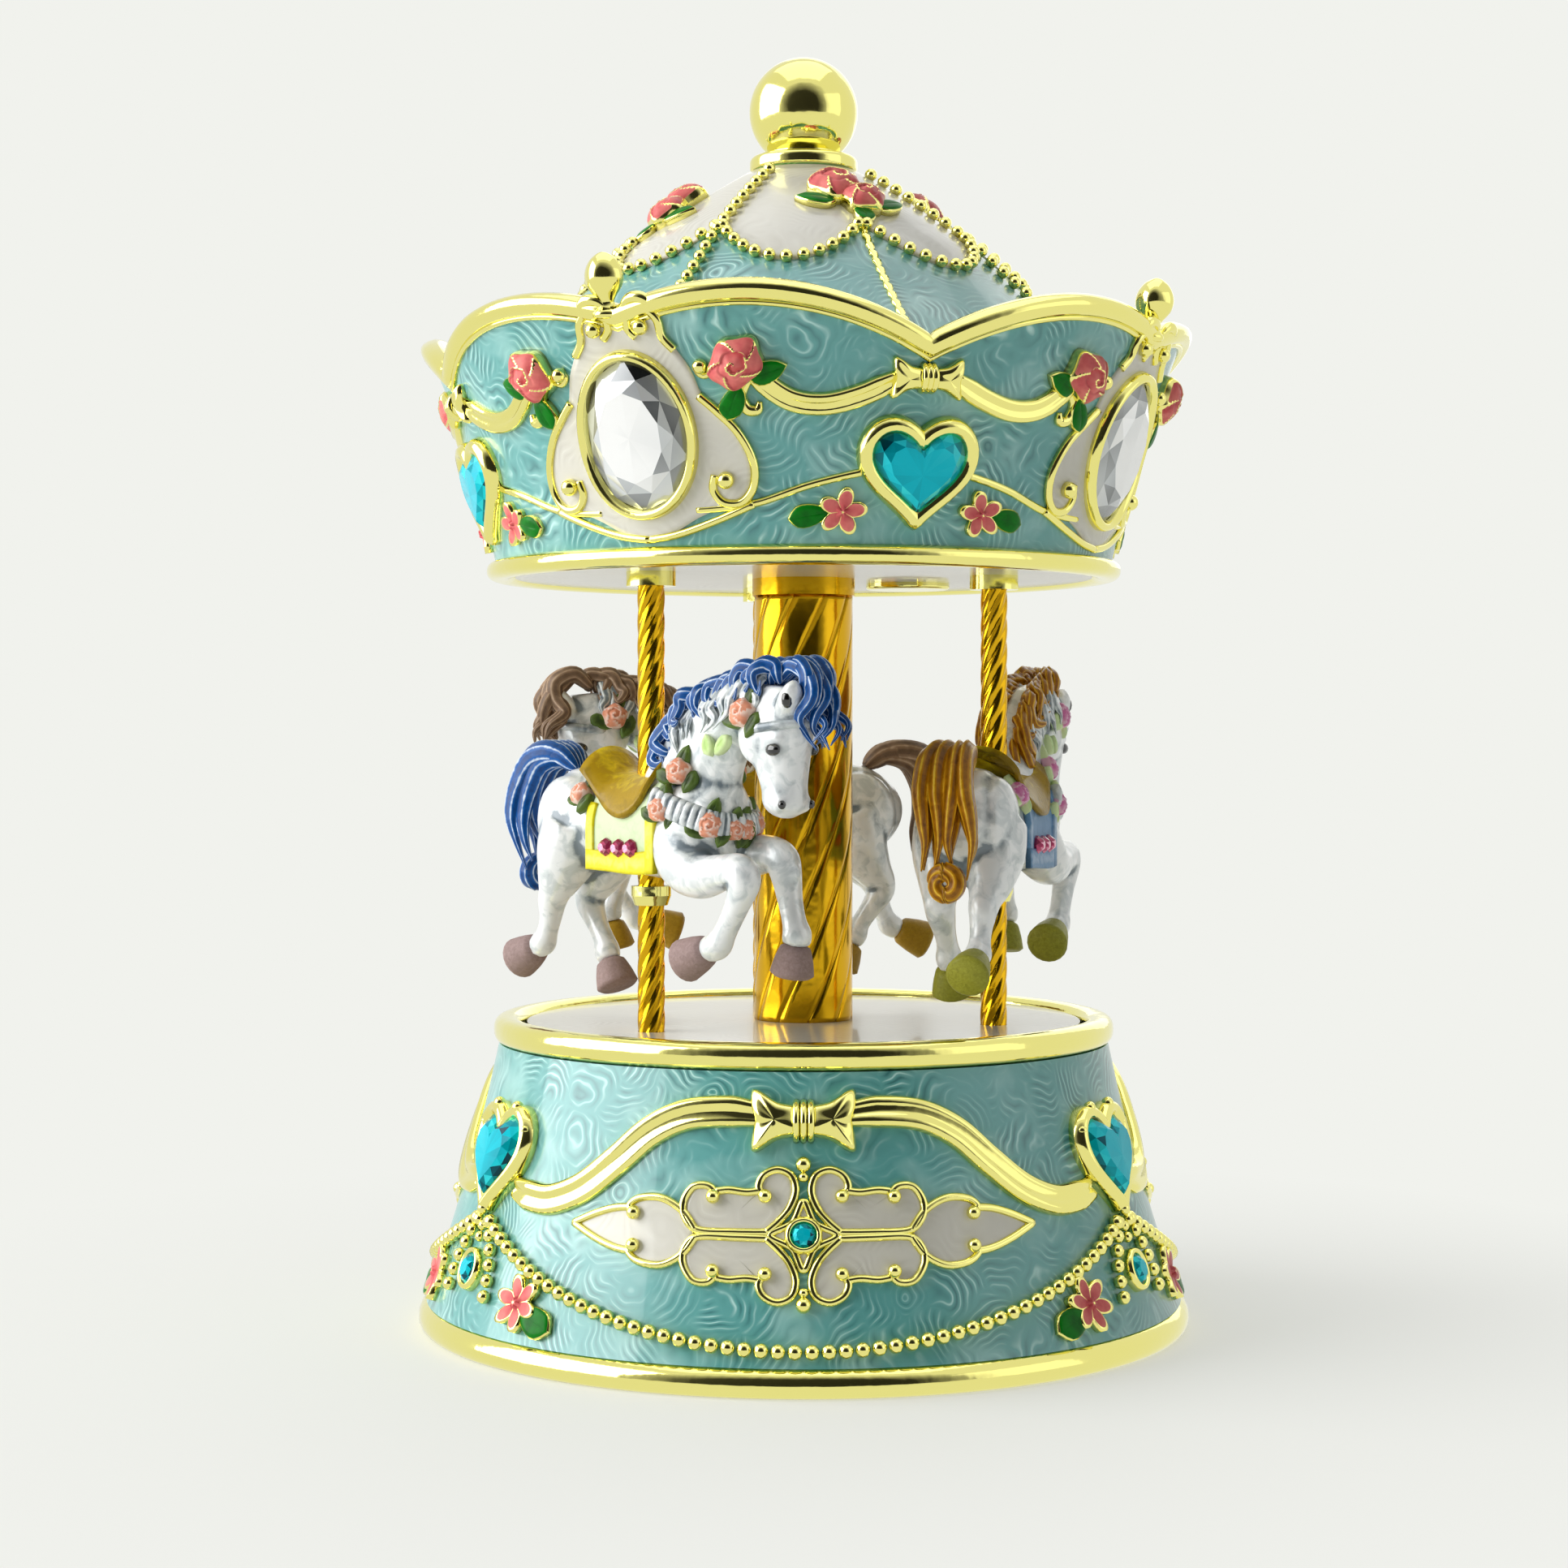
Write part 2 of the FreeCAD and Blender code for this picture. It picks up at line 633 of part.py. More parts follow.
base_wall = ArcWall((FOOT_RADIUS - FOOT_LIP, FOOT_HEIGHT),
                    (BASE_RIM_RADIUS - BASE_RIM_LIP, WALL_TOP), BASE_WALL_BOW)


def base_inner(height):
    return base_wall.radius(height) - BASE_WALL


boss_circle = base_inner(COVER_TOP + BOSS_LENGTH) - BOSS_INSET
deck_radius = base_inner(DECK_TOP) - RUN_CLEARANCE
deck_screw_circle = base_inner(WALL_TOP) - SCREW_HEAD_RADIUS - TURN_CLEARANCE
ledge_inner = deck_screw_circle - SCREW_RADIUS - SCREW_CLEARANCE - LEDGE_EDGE


def base_shell():
    """Flared wall with a ledge for the deck and bosses for the cover's screws."""
    wall = turned([
        base_wall.edge(FOOT_HEIGHT, WALL_TOP),
        line((base_wall.radius(WALL_TOP), WALL_TOP), (base_inner(WALL_TOP), WALL_TOP)),
        base_wall.edge(FOOT_HEIGHT, WALL_TOP, -BASE_WALL),
        line((base_wall.radius(FOOT_HEIGHT), FOOT_HEIGHT), (base_inner(FOOT_HEIGHT), FOOT_HEIGHT))])
    middle = BASE_WALL / 2
    ledge_bottom = DECK_BOTTOM - LEDGE_THICKNESS
    ledge = turned([
        base_wall.edge(ledge_bottom, DECK_BOTTOM, -middle),
        line((base_wall.radius(DECK_BOTTOM) - middle, DECK_BOTTOM), (ledge_inner, DECK_BOTTOM)),
        line((ledge_inner, DECK_BOTTOM), (ledge_inner, ledge_bottom)),
        line((ledge_inner, ledge_bottom), (base_wall.radius(ledge_bottom) - middle, ledge_bottom))])
    for screw in around(deck_screw_hole(), BASE_FOLD):
        ledge = ledge.cut(screw)
    inside = turned([
        line((0, FOOT_HEIGHT), (0, WALL_TOP)),
        line((0, WALL_TOP), (base_wall.radius(WALL_TOP) - middle, WALL_TOP)),
        base_wall.edge(FOOT_HEIGHT, WALL_TOP, -middle),
        line((0, FOOT_HEIGHT), (base_wall.radius(FOOT_HEIGHT) - middle, FOOT_HEIGHT))])
    place = outward(0) * boss_circle
    boss = disc(BOSS_RADIUS, COVER_TOP, COVER_TOP + BOSS_LENGTH, place.x, place.y)
    root = box((-BOSS_RADIUS, -boss_circle - BOSS_RADIUS - BASE_WALL, COVER_TOP),
               (BOSS_RADIUS, -boss_circle, COVER_TOP + BOSS_LENGTH))
    hole = screw_hole(COVER_TOP, COVER_TOP + CASE_SCREW_LENGTH, place.x, place.y)
    boss = boss.fuse(root).common(inside).cut(hole)
    return one_solid([wall, ledge] + around(boss, BASE_FOLD, 180 / BASE_FOLD))


def deck_screw_hole():
    place = outward(0) * deck_screw_circle
    return screw_hole(DECK_BOTTOM - LEDGE_THICKNESS, DECK_TOP, place.x, place.y)


def base_foot_rim():
    blank_ring = ring(FOOT_RADIUS - FOOT_WIDTH, FOOT_RADIUS, 0, FOOT_HEIGHT)
    return rounded(blank_ring, FOOT_ROUND, lambda edge: edge.Curve.Radius > FOOT_RADIUS - FOOT_WIDTH / 2
                   and edge.CenterOfMass.z > FOOT_HEIGHT / 2)


def base_top_rim():
    blank_ring = ring(BASE_RIM_RADIUS - BASE_RIM_WIDTH, BASE_RIM_RADIUS, WALL_TOP, BASE_RIM_TOP)
    middle = WALL_TOP + BASE_RIM_HEIGHT / 2
    return rounded(blank_ring, BASE_RIM_ROUND, lambda edge: edge.CenterOfMass.z > middle)


def deck_plate():
    plate = disc(deck_radius, DECK_BOTTOM, DECK_TOP)
    plate = plate.cut(disc(BUSH_RADIUS + SEAT_CLEARANCE, DECK_BOTTOM, DECK_TOP))
    for hole in around(deck_screw_hole(), BASE_FOLD):
        plate = plate.cut(hole)
    return plate


def deck_bush():
    bore = SPINDLE_RADIUS + RUN_CLEARANCE
    top = DECK_TOP + BUSH_FLANGE
    bottom = top - BUSH_LENGTH
    return turned_points([(bore, bottom), (BUSH_RADIUS, bottom), (BUSH_RADIUS, DECK_TOP),
                          (BUSH_FLANGE_RADIUS, DECK_TOP), (BUSH_FLANGE_RADIUS, top), (bore, top)])


def screw(x, y, seat, length, pointing):
    """Screw with its head on a seat; pointing is 1 for a shank that goes up and -1 for one that goes down."""
    head_end = seat - pointing * SCREW_HEAD
    shank_end = seat + pointing * length
    head = disc(SCREW_HEAD_RADIUS, min(seat, head_end), max(seat, head_end), x, y)
    shank = disc(SCREW_RADIUS, min(seat, shank_end), max(seat, shank_end), x, y)
    return head.fuse(shank).removeSplitter()


def bottom_cover():
    plate = disc(base_inner(COVER_TOP) - RUN_CLEARANCE, COVER_HEIGHT, COVER_TOP)
    plate = plate.cut(disc(ARBOR_RADIUS + TURN_CLEARANCE, COVER_HEIGHT, COVER_TOP))
    place = outward(180 / BASE_FOLD) * boss_circle
    holes = around(screw_hole(COVER_HEIGHT, COVER_TOP, place.x, place.y), BASE_FOLD)
    holes += [screw_hole(COVER_HEIGHT, COVER_TOP, x, y) for x, y in BED_SCREW_PLACES]
    for hole in holes:
        plate = plate.cut(hole)
    return plate


def case_screws():
    """Three screws that hold the cover and three that hold the deck."""
    place = outward(180 / BASE_FOLD) * boss_circle
    length = COVER_THICKNESS + CASE_SCREW_LENGTH - TURN_CLEARANCE
    cover_screw = screw(place.x, place.y, COVER_HEIGHT, length, 1)
    place = outward(0) * deck_screw_circle
    deck_screw = screw(place.x, place.y, DECK_TOP, DECK_SCREW_LENGTH, -1)
    return group(around(cover_screw, BASE_FOLD) + around(deck_screw, BASE_FOLD))


# Movement

bracket_low = GOVERNOR_SIDE - POST_HALF_WIDTH
bracket_high = FAN_SIDE + POST_HALF_WIDTH
bracket_back = POST_THREE + POST_THICKNESS
bracket_end = bracket_back + BRACKET_FOOT
bracket_screw_places = [((bracket_back + bracket_end) / 2, side) for side in (GOVERNOR_SIDE, FAN_SIDE)]
comb_tip = CYLINDER_RADIUS + PIN_HEIGHT + COMB_GAP
comb_root = comb_tip + COMB_TOOTH_LENGTH
comb_back = comb_root + COMB_BACK_LENGTH
comb_bottom = SHAFT_HEIGHT - COMB_TOOTH_THICKNESS / 2
comb_screw_places = [(CYLINDER_START + share * CYLINDER_LENGTH, -(comb_root + comb_back) / 2)
                     for share in COMB_SCREW_SHARES]


def along_x(radius, start, end, y=0.0):
    """Round bar along X at the shafts' height."""
    return Part.makeCylinder(radius, end - start, V(start, y, SHAFT_HEIGHT), V(1, 0, 0))


def bedplate():
    """Bedplate with two bearing posts and the block that carries the comb."""
    post_top = SHAFT_HEIGHT + POST_TOP
    plate = box((-BED_BACK, -BED_SIDE_COMB, COVER_TOP),
                (bracket_end + BED_MARGIN, BED_SIDE_FAN, BED_TOP))
    comb_plate = box((CYLINDER_START - COMB_PLATE_MARGIN, -comb_back - COMB_PLATE_MARGIN, COVER_TOP),
                     (CYLINDER_END + COMB_PLATE_MARGIN, 0, BED_TOP))
    comb_block = box((CYLINDER_START, -comb_back, BED_TOP), (CYLINDER_END, -comb_root, comb_bottom))
    post_two_end = POST_TWO + POST_THICKNESS
    first = box((POST_ONE, -POST_HALF_WIDTH, BED_TOP),
                (POST_ONE + POST_THICKNESS, POST_HALF_WIDTH, post_top))
    second = box((POST_TWO, -POST_HALF_WIDTH, BED_TOP), (post_two_end, bracket_high, post_top))
    body = one_solid([plate, comb_plate, comb_block, first, second])
    cuts = [disc(ARBOR_RADIUS + RUN_CLEARANCE, COVER_TOP, BED_TOP),
            along_x(CYLINDER_ARBOR_RADIUS + RUN_CLEARANCE, POST_ONE, post_two_end),
            along_x(GOVERNOR_ARBOR_RADIUS + RUN_CLEARANCE, POST_TWO, post_two_end, GOVERNOR_SIDE),
            along_x(FAN_ARBOR_RADIUS + RUN_CLEARANCE, POST_TWO, post_two_end, FAN_SIDE)]
    cuts += [screw_hole(COVER_TOP, BED_TOP, x, y) for x, y in BED_SCREW_PLACES + bracket_screw_places]
    cuts += [screw_hole(comb_bottom - COMB_SCREW_LENGTH, comb_bottom, x, y) for x, y in comb_screw_places]
    for cut in cuts:
        body = body.cut(cut)
    return body


def movement_screws():
    """Screws that hold the movement to the cover from below, and two for the governor's bracket."""
    length = COVER_THICKNESS + BED_THICKNESS - TURN_CLEARANCE
    screws = [screw(x, y, COVER_HEIGHT, length, 1) for x, y in BED_SCREW_PLACES]
    seat = BED_TOP + BRACKET_FOOT_THICKNESS
    length = BRACKET_FOOT_THICKNESS + BED_THICKNESS - TURN_CLEARANCE
    screws += [screw(x, y, seat, length, -1) for x, y in bracket_screw_places]
    return group(screws)


def governor_bracket():
    """Outer bearing plate of the governor, on a foot."""
    foot_top = BED_TOP + BRACKET_FOOT_THICKNESS
    plate = box((POST_THREE, bracket_low, BED_TOP), (bracket_back, bracket_high, SHAFT_HEIGHT + POST_TOP))
    foot = box((bracket_back, bracket_low, BED_TOP), (bracket_end, bracket_high, foot_top))
    body = one_solid([plate, foot])
    for radius, side in ((GOVERNOR_ARBOR_RADIUS, GOVERNOR_SIDE), (FAN_ARBOR_RADIUS, FAN_SIDE)):
        body = body.cut(along_x(radius + RUN_CLEARANCE, POST_THREE, bracket_back, side))
    for x, y in bracket_screw_places:
        body = body.cut(screw_hole(BED_TOP, foot_top, x, y))
    return body


def music_comb():
    """Steel comb: a thick back and one tooth for each note."""
    top = comb_bottom + COMB_BACK_THICKNESS
    back = box((CYLINDER_START, -comb_back, comb_bottom), (CYLINDER_END, -comb_root, top))
    for x, y in comb_screw_places:
        back = back.cut(screw_hole(comb_bottom, top, x, y))
    pitch = CYLINDER_LENGTH / NOTES
    teeth = []
    for note in range(NOTES):
        start = CYLINDER_START + note * pitch + COMB_SLOT / 2
        teeth.append(box((start, -comb_root, comb_bottom),
                         (start + pitch - COMB_SLOT, -comb_tip, comb_bottom + COMB_TOOTH_THICKNESS)))
    return one_solid([back] + teeth)


def comb_screws():
    seat = comb_bottom + COMB_BACK_THICKNESS
    length = COMB_BACK_THICKNESS + COMB_SCREW_LENGTH - TURN_CLEARANCE
    return group([screw(x, y, seat, length, -1) for x, y in comb_screw_places])


def winding_arbor():
    collar = BED_TOP + ARBOR_COLLAR_LIFT
    shaft = disc(ARBOR_RADIUS, ARBOR_KEY_END, BARREL_TOP - BARREL_WALL - TURN_CLEARANCE)
    return one_solid([shaft, disc(ARBOR_COLLAR_RADIUS, collar, collar + ARBOR_COLLAR)])


def winding_key():
    """Flat key with two round wings on a hub."""
    hub_top = COVER_HEIGHT - KEY_GAP
    hub = disc(KEY_HUB_RADIUS, hub_top - KEY_HUB_LENGTH, hub_top)
    half = KEY_WING_HEIGHT / 2
    middle = KEY_WING_BOTTOM + half
    reach = KEY_WING_SPAN / 2 - half
    bar = box((-reach, -KEY_WING_THICKNESS / 2, KEY_WING_BOTTOM),
              (reach, KEY_WING_THICKNESS / 2, KEY_WING_BOTTOM + KEY_WING_HEIGHT))
    wings = []
    for side in (-1, 1):
        face = V(side * reach, -KEY_WING_THICKNESS / 2, middle)
        wings.append(Part.makeCylinder(half, KEY_WING_THICKNESS, face, V(0, 1, 0)))
    body = one_solid([hub, bar] + wings)
    return body.cut(disc(ARBOR_RADIUS + SEAT_CLEARANCE, ARBOR_KEY_END, hub_top))


def spring_barrel():
    """Drum of the mainspring, with crown teeth on its top."""
    inner = BARREL_RADIUS - BARREL_WALL
    bore = ARBOR_RADIUS + RUN_CLEARANCE
    floor = BARREL_BOTTOM + BARREL_WALL
    ceiling = BARREL_TOP - BARREL_WALL
    drum = turned_points([(bore, BARREL_BOTTOM), (BARREL_RADIUS, BARREL_BOTTOM),
                          (BARREL_RADIUS, BARREL_TOP), (0, BARREL_TOP), (0, ceiling),
                          (inner, ceiling), (inner, floor), (bore, floor)])
    start = CROWN_PITCH_RADIUS - CROWN_TOOTH_LENGTH / 2
    low = CROWN_TOOTH_BASE / 2
    high = CROWN_TOOTH_TIP / 2
    top = BARREL_TOP + CROWN_TOOTH_HEIGHT
    corners = [V(start, -low, BARREL_TOP), V(start, low, BARREL_TOP)]
    corners += [V(start, high, top), V(start, -high, top)]
    outline = Part.makePolygon(corners + corners[:1])
    tooth = Part.Face(outline).extrude(V(CROWN_TOOTH_LENGTH, 0, 0))
    return one_solid([drum] + around(tooth, CROWN_TEETH, 180 / CROWN_TEETH))


def mainspring():
    """Flat spiral strip of half-circle arcs between the arbor and the drum."""
    height = BARREL_HEIGHT - 2 * BARREL_WALL - 2 * SPRING_SIDE_GAP
    bottom = BARREL_BOTTOM + BARREL_WALL + SPRING_SIDE_GAP
    first = ARBOR_RADIUS + TURN_CLEARANCE
    quarter = SPRING_PITCH / 4
    inner = []
    outer = []
    for half in range(2 * SPRING_TURNS):
        side = 1 if half % 2 == 0 else -1
        middle = V(-side * quarter, 0, bottom)
        radius = first + quarter + half * SPRING_PITCH / 2
        for edges, size in ((inner, radius), (outer, radius + SPRING_THICKNESS)):
            start = middle + V(side * size, 0, 0)
            top = middle + V(0, side * size, 0)
            edges.append(Part.Arc(start, top, middle - V(side * size, 0, 0)).toShape())
    caps = [Part.makeLine(inner[0].firstVertex().Point, outer[0].firstVertex().Point),
            Part.makeLine(inner[-1].lastVertex().Point, outer[-1].lastVertex().Point)]
    strip = Part.Face(Part.Wire(Part.__sortEdges__(inner + outer + caps)))
    return strip.extrude(V(0, 0, height))


def drive_spindle():
    flange = disc(SPINDLE_FLANGE_RADIUS, BARREL_TOP, BARREL_TOP + SPINDLE_FLANGE)
    shaft = disc(SPINDLE_RADIUS, BARREL_TOP, TABLE_TOP)
    return one_solid([flange, shaft])


def spur(teeth, module, start, width, side, phase):
    """Spur gear along X at a sideways distance, with thin straight teeth; phase is in tooth pitches."""
    pitch_radius = module * teeth / 2
    tip = pitch_radius + ADDENDUM * module
    root = pitch_radius - DEDENDUM * module
    pitch = 2 * math.pi / teeth
    half = TOOTH_SHARE * pitch / 2
    points = []
    for tooth in range(teeth):
        centre = (tooth + phase) * pitch
        for radius, shift in ((root, -TOOTH_ROOT), (tip, -TOOTH_TIP), (tip, TOOTH_TIP), (root, TOOTH_ROOT)):
            angle = centre + shift * half
            height = SHAFT_HEIGHT + radius * math.sin(angle)
            points.append(V(start, side + radius * math.cos(angle), height))
    points.append(points[0])
    return Part.Face(Part.makePolygon(points)).extrude(V(width, 0, 0))


def pinned_cylinder():
    """Brass cylinder with closed ends and steel pins that pluck the comb."""
    bore = CYLINDER_ARBOR_RADIUS + SEAT_CLEARANCE
    inner = CYLINDER_RADIUS - CYLINDER_WALL
    body = along_x(CYLINDER_RADIUS, CYLINDER_START, CYLINDER_END)
    body = body.cut(along_x(inner, CYLINDER_START + CYLINDER_WALL, CYLINDER_END - CYLINDER_WALL))
    body = body.cut(along_x(bore, CYLINDER_START, CYLINDER_END))
    pitch = CYLINDER_LENGTH / NOTES
    pins = []
    for index in range(NOTES * PINS_PER_NOTE):
        x = CYLINDER_START + (index % NOTES + 0.5) * pitch
        angle = math.radians(index * GOLDEN_ANGLE)
        direction = V(0, math.cos(angle), math.sin(angle))
        foot = V(x, 0, SHAFT_HEIGHT) + direction * (CYLINDER_RADIUS - CYLINDER_WALL / 2)
        pins.append(Part.makeCylinder(PIN_RADIUS, PIN_HEIGHT + CYLINDER_WALL / 2, foot, direction))
    return one_solid([body] + pins)


def cylinder_arbor():
    start = CROWN_PITCH_RADIUS - PINION_WIDTH / 2
    return along_x(CYLINDER_ARBOR_RADIUS, start, POST_TWO + POST_THICKNESS)


def cylinder_pinion():
    start = CROWN_PITCH_RADIUS - PINION_WIDTH / 2
    tip = PINION_PITCH_RADIUS + CROWN_TOOTH_HEIGHT / 2 - PINION_TIP_RELIEF
    root = PINION_PITCH_RADIUS - CROWN_TOOTH_HEIGHT / 2 - PINION_ROOT_RELIEF
    pitch = 2 * math.pi / PINION_TEETH
    half_tip = CROWN_TOOTH_TIP / 2 / tip
    half_root = CROWN_TOOTH_BASE / 2 / root
    points = []
    for tooth in range(PINION_TEETH):
        centre = tooth * pitch - math.pi / 2
        for radius, angle in ((root, centre - half_root), (tip, centre - half_tip),
                              (tip, centre + half_tip), (root, centre + half_root)):
            points.append(V(start, radius * math.cos(angle), SHAFT_HEIGHT + radius * math.sin(angle)))
    points.append(points[0])
    body = Part.Face(Part.makePolygon(points)).extrude(V(PINION_WIDTH, 0, 0))
    return body.cut(along_x(CYLINDER_ARBOR_RADIUS + SEAT_CLEARANCE, start, start + PINION_WIDTH))


def cylinder_wheel():
    body = spur(TRAIN_WHEEL_TEETH, TRAIN_MODULE, TRAIN_WHEEL_START, WHEEL_WIDTH, 0, 0)
    bore = CYLINDER_ARBOR_RADIUS + SEAT_CLEARANCE
    return body.cut(along_x(bore, TRAIN_WHEEL_START, TRAIN_WHEEL_START + WHEEL_WIDTH))


def governor_wheel():
    """Pinion, wheel and arbor in one, between the cylinder and the fan."""
    phase = 0.5 + TRAIN_PINION_TEETH / 2
    pinion = spur(TRAIN_PINION_TEETH, TRAIN_MODULE, TRAIN_WHEEL_START, WHEEL_WIDTH, GOVERNOR_SIDE, phase)
    wheel = spur(FAN_WHEEL_TEETH, FAN_MODULE, FAN_WHEEL_START, WHEEL_WIDTH, GOVERNOR_SIDE, 0)
    arbor = along_x(GOVERNOR_ARBOR_RADIUS, TRAIN_WHEEL_START, POST_THREE + POST_THICKNESS, GOVERNOR_SIDE)
    return one_solid([arbor, pinion, wheel])


def air_brake_fan():
    """Pinion, arbor and two flat vanes that brake the train in air."""
    phase = 0.5 + FAN_PINION_TEETH / 2
    pinion = spur(FAN_PINION_TEETH, FAN_MODULE, FAN_WHEEL_START, WHEEL_WIDTH, FAN_SIDE, phase)
    vane_end = POST_TWO - 2 * WHEEL_GAP
    vane_start = vane_end - FAN_VANE_LENGTH
    arbor = along_x(FAN_ARBOR_RADIUS, vane_start, POST_THREE + POST_THICKNESS, FAN_SIDE)
    vanes = box((vane_start, FAN_SIDE - FAN_VANE_REACH, SHAFT_HEIGHT - FAN_VANE_THICKNESS / 2),
                (vane_end, FAN_SIDE + FAN_VANE_REACH, SHAFT_HEIGHT + FAN_VANE_THICKNESS / 2))
    return one_solid([arbor, pinion, vanes])


# Turntable, column and poles

table_radius = BASE_RIM_RADIUS - BASE_RIM_WIDTH - TURNTABLE_GAP
column_bore = HUB_SPIGOT_RADIUS + RUN_CLEARANCE
pole_bearings = [POLE_FIRST_BEARING + 360 * index / POLE_COUNT for index in range(POLE_COUNT)]
pole_places = [outward(bearing) * POLE_CIRCLE for bearing in pole_bearings]
ferrule_top = TABLE_TOP + HORSE_LIFT


def drilled(plate, bottom, top):
    """A plate with holes for the poles."""
    for place in pole_places:
        plate = plate.cut(disc(POLE_RADIUS + SEAT_CLEARANCE, bottom, top, place.x, place.y))
    return plate


def turntable():
    plate = ring(HUB_SPIGOT_RADIUS + SEAT_CLEARANCE, table_radius, TABLE_BOTTOM, TABLE_TOP)
    return drilled(plate, TABLE_BOTTOM, TABLE_TOP)


def turntable_hub():
    spindle_bore = SPINDLE_RADIUS + SEAT_CLEARANCE
    rod_bore = TIE_ROD_RADIUS + SEAT_CLEARANCE
    top = TABLE_TOP + HUB_SPIGOT_LENGTH
    return turned_points([(spindle_bore, HUB_BOTTOM), (HUB_FLANGE_RADIUS, HUB_BOTTOM),
                          (HUB_FLANGE_RADIUS, TABLE_BOTTOM), (HUB_SPIGOT_RADIUS, TABLE_BOTTOM),
                          (HUB_SPIGOT_RADIUS, top), (rod_bore, top), (rod_bore, TABLE_TOP),
                          (spindle_bore, TABLE_TOP)])


def center_column():
    return ring(column_bore, COLUMN_RADIUS, TABLE_TOP, CANOPY_BOTTOM - COLUMN_COLLAR_HEIGHT)


def column_collar():
    return ring(TIE_ROD_RADIUS + SEAT_CLEARANCE, COLUMN_RADIUS + COLUMN_COLLAR_LIP,
                CANOPY_BOTTOM - COLUMN_COLLAR_HEIGHT, CANOPY_BOTTOM)


def tie_rod():
    return disc(TIE_ROD_RADIUS, TABLE_TOP, BALL_CENTRE)


def pole(place):
    return disc(POLE_RADIUS, TABLE_BOTTOM, CANOPY_BOTTOM + CANOPY_FLOOR, place.x, place.y)


def pole_collars():
    bore = POLE_RADIUS + SEAT_CLEARANCE
    collar = ring(bore, POLE_COLLAR_RADIUS, CANOPY_BOTTOM - POLE_COLLAR_HEIGHT, CANOPY_BOTTOM)
    collar.translate(outward(0) * POLE_CIRCLE)
    return group(around(collar, POLE_COUNT, POLE_FIRST_BEARING))


def horse_ferrules():
    """Tapered collar under each horse that carries it on its pole."""
    bore = POLE_RADIUS + SEAT_CLEARANCE
    waist = (POLE_RADIUS + FERRULE_RADIUS) / 2
    bottom = ferrule_top - FERRULE_HEIGHT
    middle = ferrule_top - FERRULE_HEIGHT / 2
    body = turned_points([(bore, bottom), (waist, bottom), (FERRULE_RADIUS, middle),
                          (FERRULE_RADIUS, ferrule_top), (bore, ferrule_top)])
    body.translate(outward(0) * POLE_CIRCLE)
    return group(around(body, POLE_COUNT, POLE_FIRST_BEARING))


# Horse: X forward, Y to its left, heights from the ferrule's top, pole at the origin

# Rows of the middle plane give x, height, half width and half height; rows of a leg x, y, height and radius
HORSE_TORSO = [(-18.4, 9.8, 1.6, 2.0), (-16.8, 9.0, 4.0, 4.8), (-12.5, 7.9, 5.4, 6.3),
               (-5.0, 7.2, 5.2, 6.2), (3.0, 7.1, 5.4, 6.3), (9.0, 8.0, 5.2, 6.8),
               (13.4, 9.4, 4.0, 5.4), (15.6, 10.2, 2.0, 3.0)]
HORSE_NECK = [(7.5, 10.4, 4.6, 6.4), (10.6, 15.6, 3.7, 6.2), (14.2, 19.6, 3.2, 5.0),
              (18.6, 21.6, 2.8, 3.9), (23.2, 22.0, 2.4, 3.0)]
HORSE_HEAD = [(24.8, 24.6, 1.8, 2.0), (24.1, 21.4, 2.8, 3.4), (23.5, 18.0, 2.9, 3.6),
              (24.2, 13.4, 2.4, 2.5), (24.6, 10.6, 2.4, 2.3), (24.6, 9.2, 1.1, 1.1)]
HORSE_TAIL = [(-15.6, 12.6, 1.6, 1.4), (-17.8, 15.6, 2.0, 1.6), (-21.4, 15.2, 2.6, 1.9),
              (-23.6, 11.6, 3.0, 2.0), (-23.6, 7.6, 3.2, 2.0), (-22.6, 4.2, 2.6, 1.7),
              (-22.4, 1.4, 1.0, 0.8)]
HORSE_MANE = [(4.8, 15.0, 0.8, 1.0), (7.4, 19.6, 1.3, 1.9), (11.4, 22.6, 1.6, 2.2),
              (17.0, 24.6, 1.7, 2.3), (23.0, 26.0, 1.8, 2.2), (27.8, 25.4, 1.8, 2.0),
              (29.6, 21.8, 1.6, 1.6), (29.8, 18.6, 0.6, 0.6)]
MANE_SIDE = 0.8            # the mane falls this far to the left
FORELEG_BENT = [(9.6, -3.0, 5.4, 3.2), (14.6, -3.8, 2.4, 2.6), (21.2, -4.2, 2.7, 1.9),
                (22.7, -4.2, 0.6, 1.7), (19.6, -4.2, -4.6, 1.35), (17.8, -4.2, -6.4, 1.5),
                (15.8, -4.2, -7.2, 1.6), (12.2, -4.2, -8.4, 2.2)]
FORELEG_REACHING = [(9.6, 3.0, 5.4, 3.2), (14.6, 3.8, 4.2, 2.6), (19.2, 4.2, 4.0, 1.9),
                    (20.7, 4.2, 1.6, 1.7), (22.1, 4.2, -3.6, 1.35), (22.5, 4.2, -5.2, 1.5),
                    (22.4, 4.2, -6.6, 1.6), (21.8, 4.2, -9.4, 2.2)]
HINDLEG_KICKING = [(-11.6, -2.8, 6.4, 4.4), (-13.6, -3.6, 2.4, 3.5), (-16.0, -4.0, -1.4, 2.0),
                   (-16.5, -4.0, -2.6, 1.8), (-17.5, -4.0, -6.6, 1.3), (-18.4, -4.0, -7.8, 1.5),
                   (-19.8, -4.0, -8.6, 1.6), (-23.0, -4.0, -9.8, 2.2)]
HINDLEG_DRIVING = [(-11.6, 2.8, 6.4, 4.4), (-13.2, 3.6, 2.4, 3.5), (-15.8, 4.0, -1.8, 2.0),
                   (-15.8, 4.0, -3.0, 1.8), (-13.0, 4.0, -7.4, 1.3), (-12.2, 4.0, -8.6, 1.5),
                   (-11.6, 4.0, -9.8, 1.6), (-10.2, 4.0, -12.6, 2.2)]
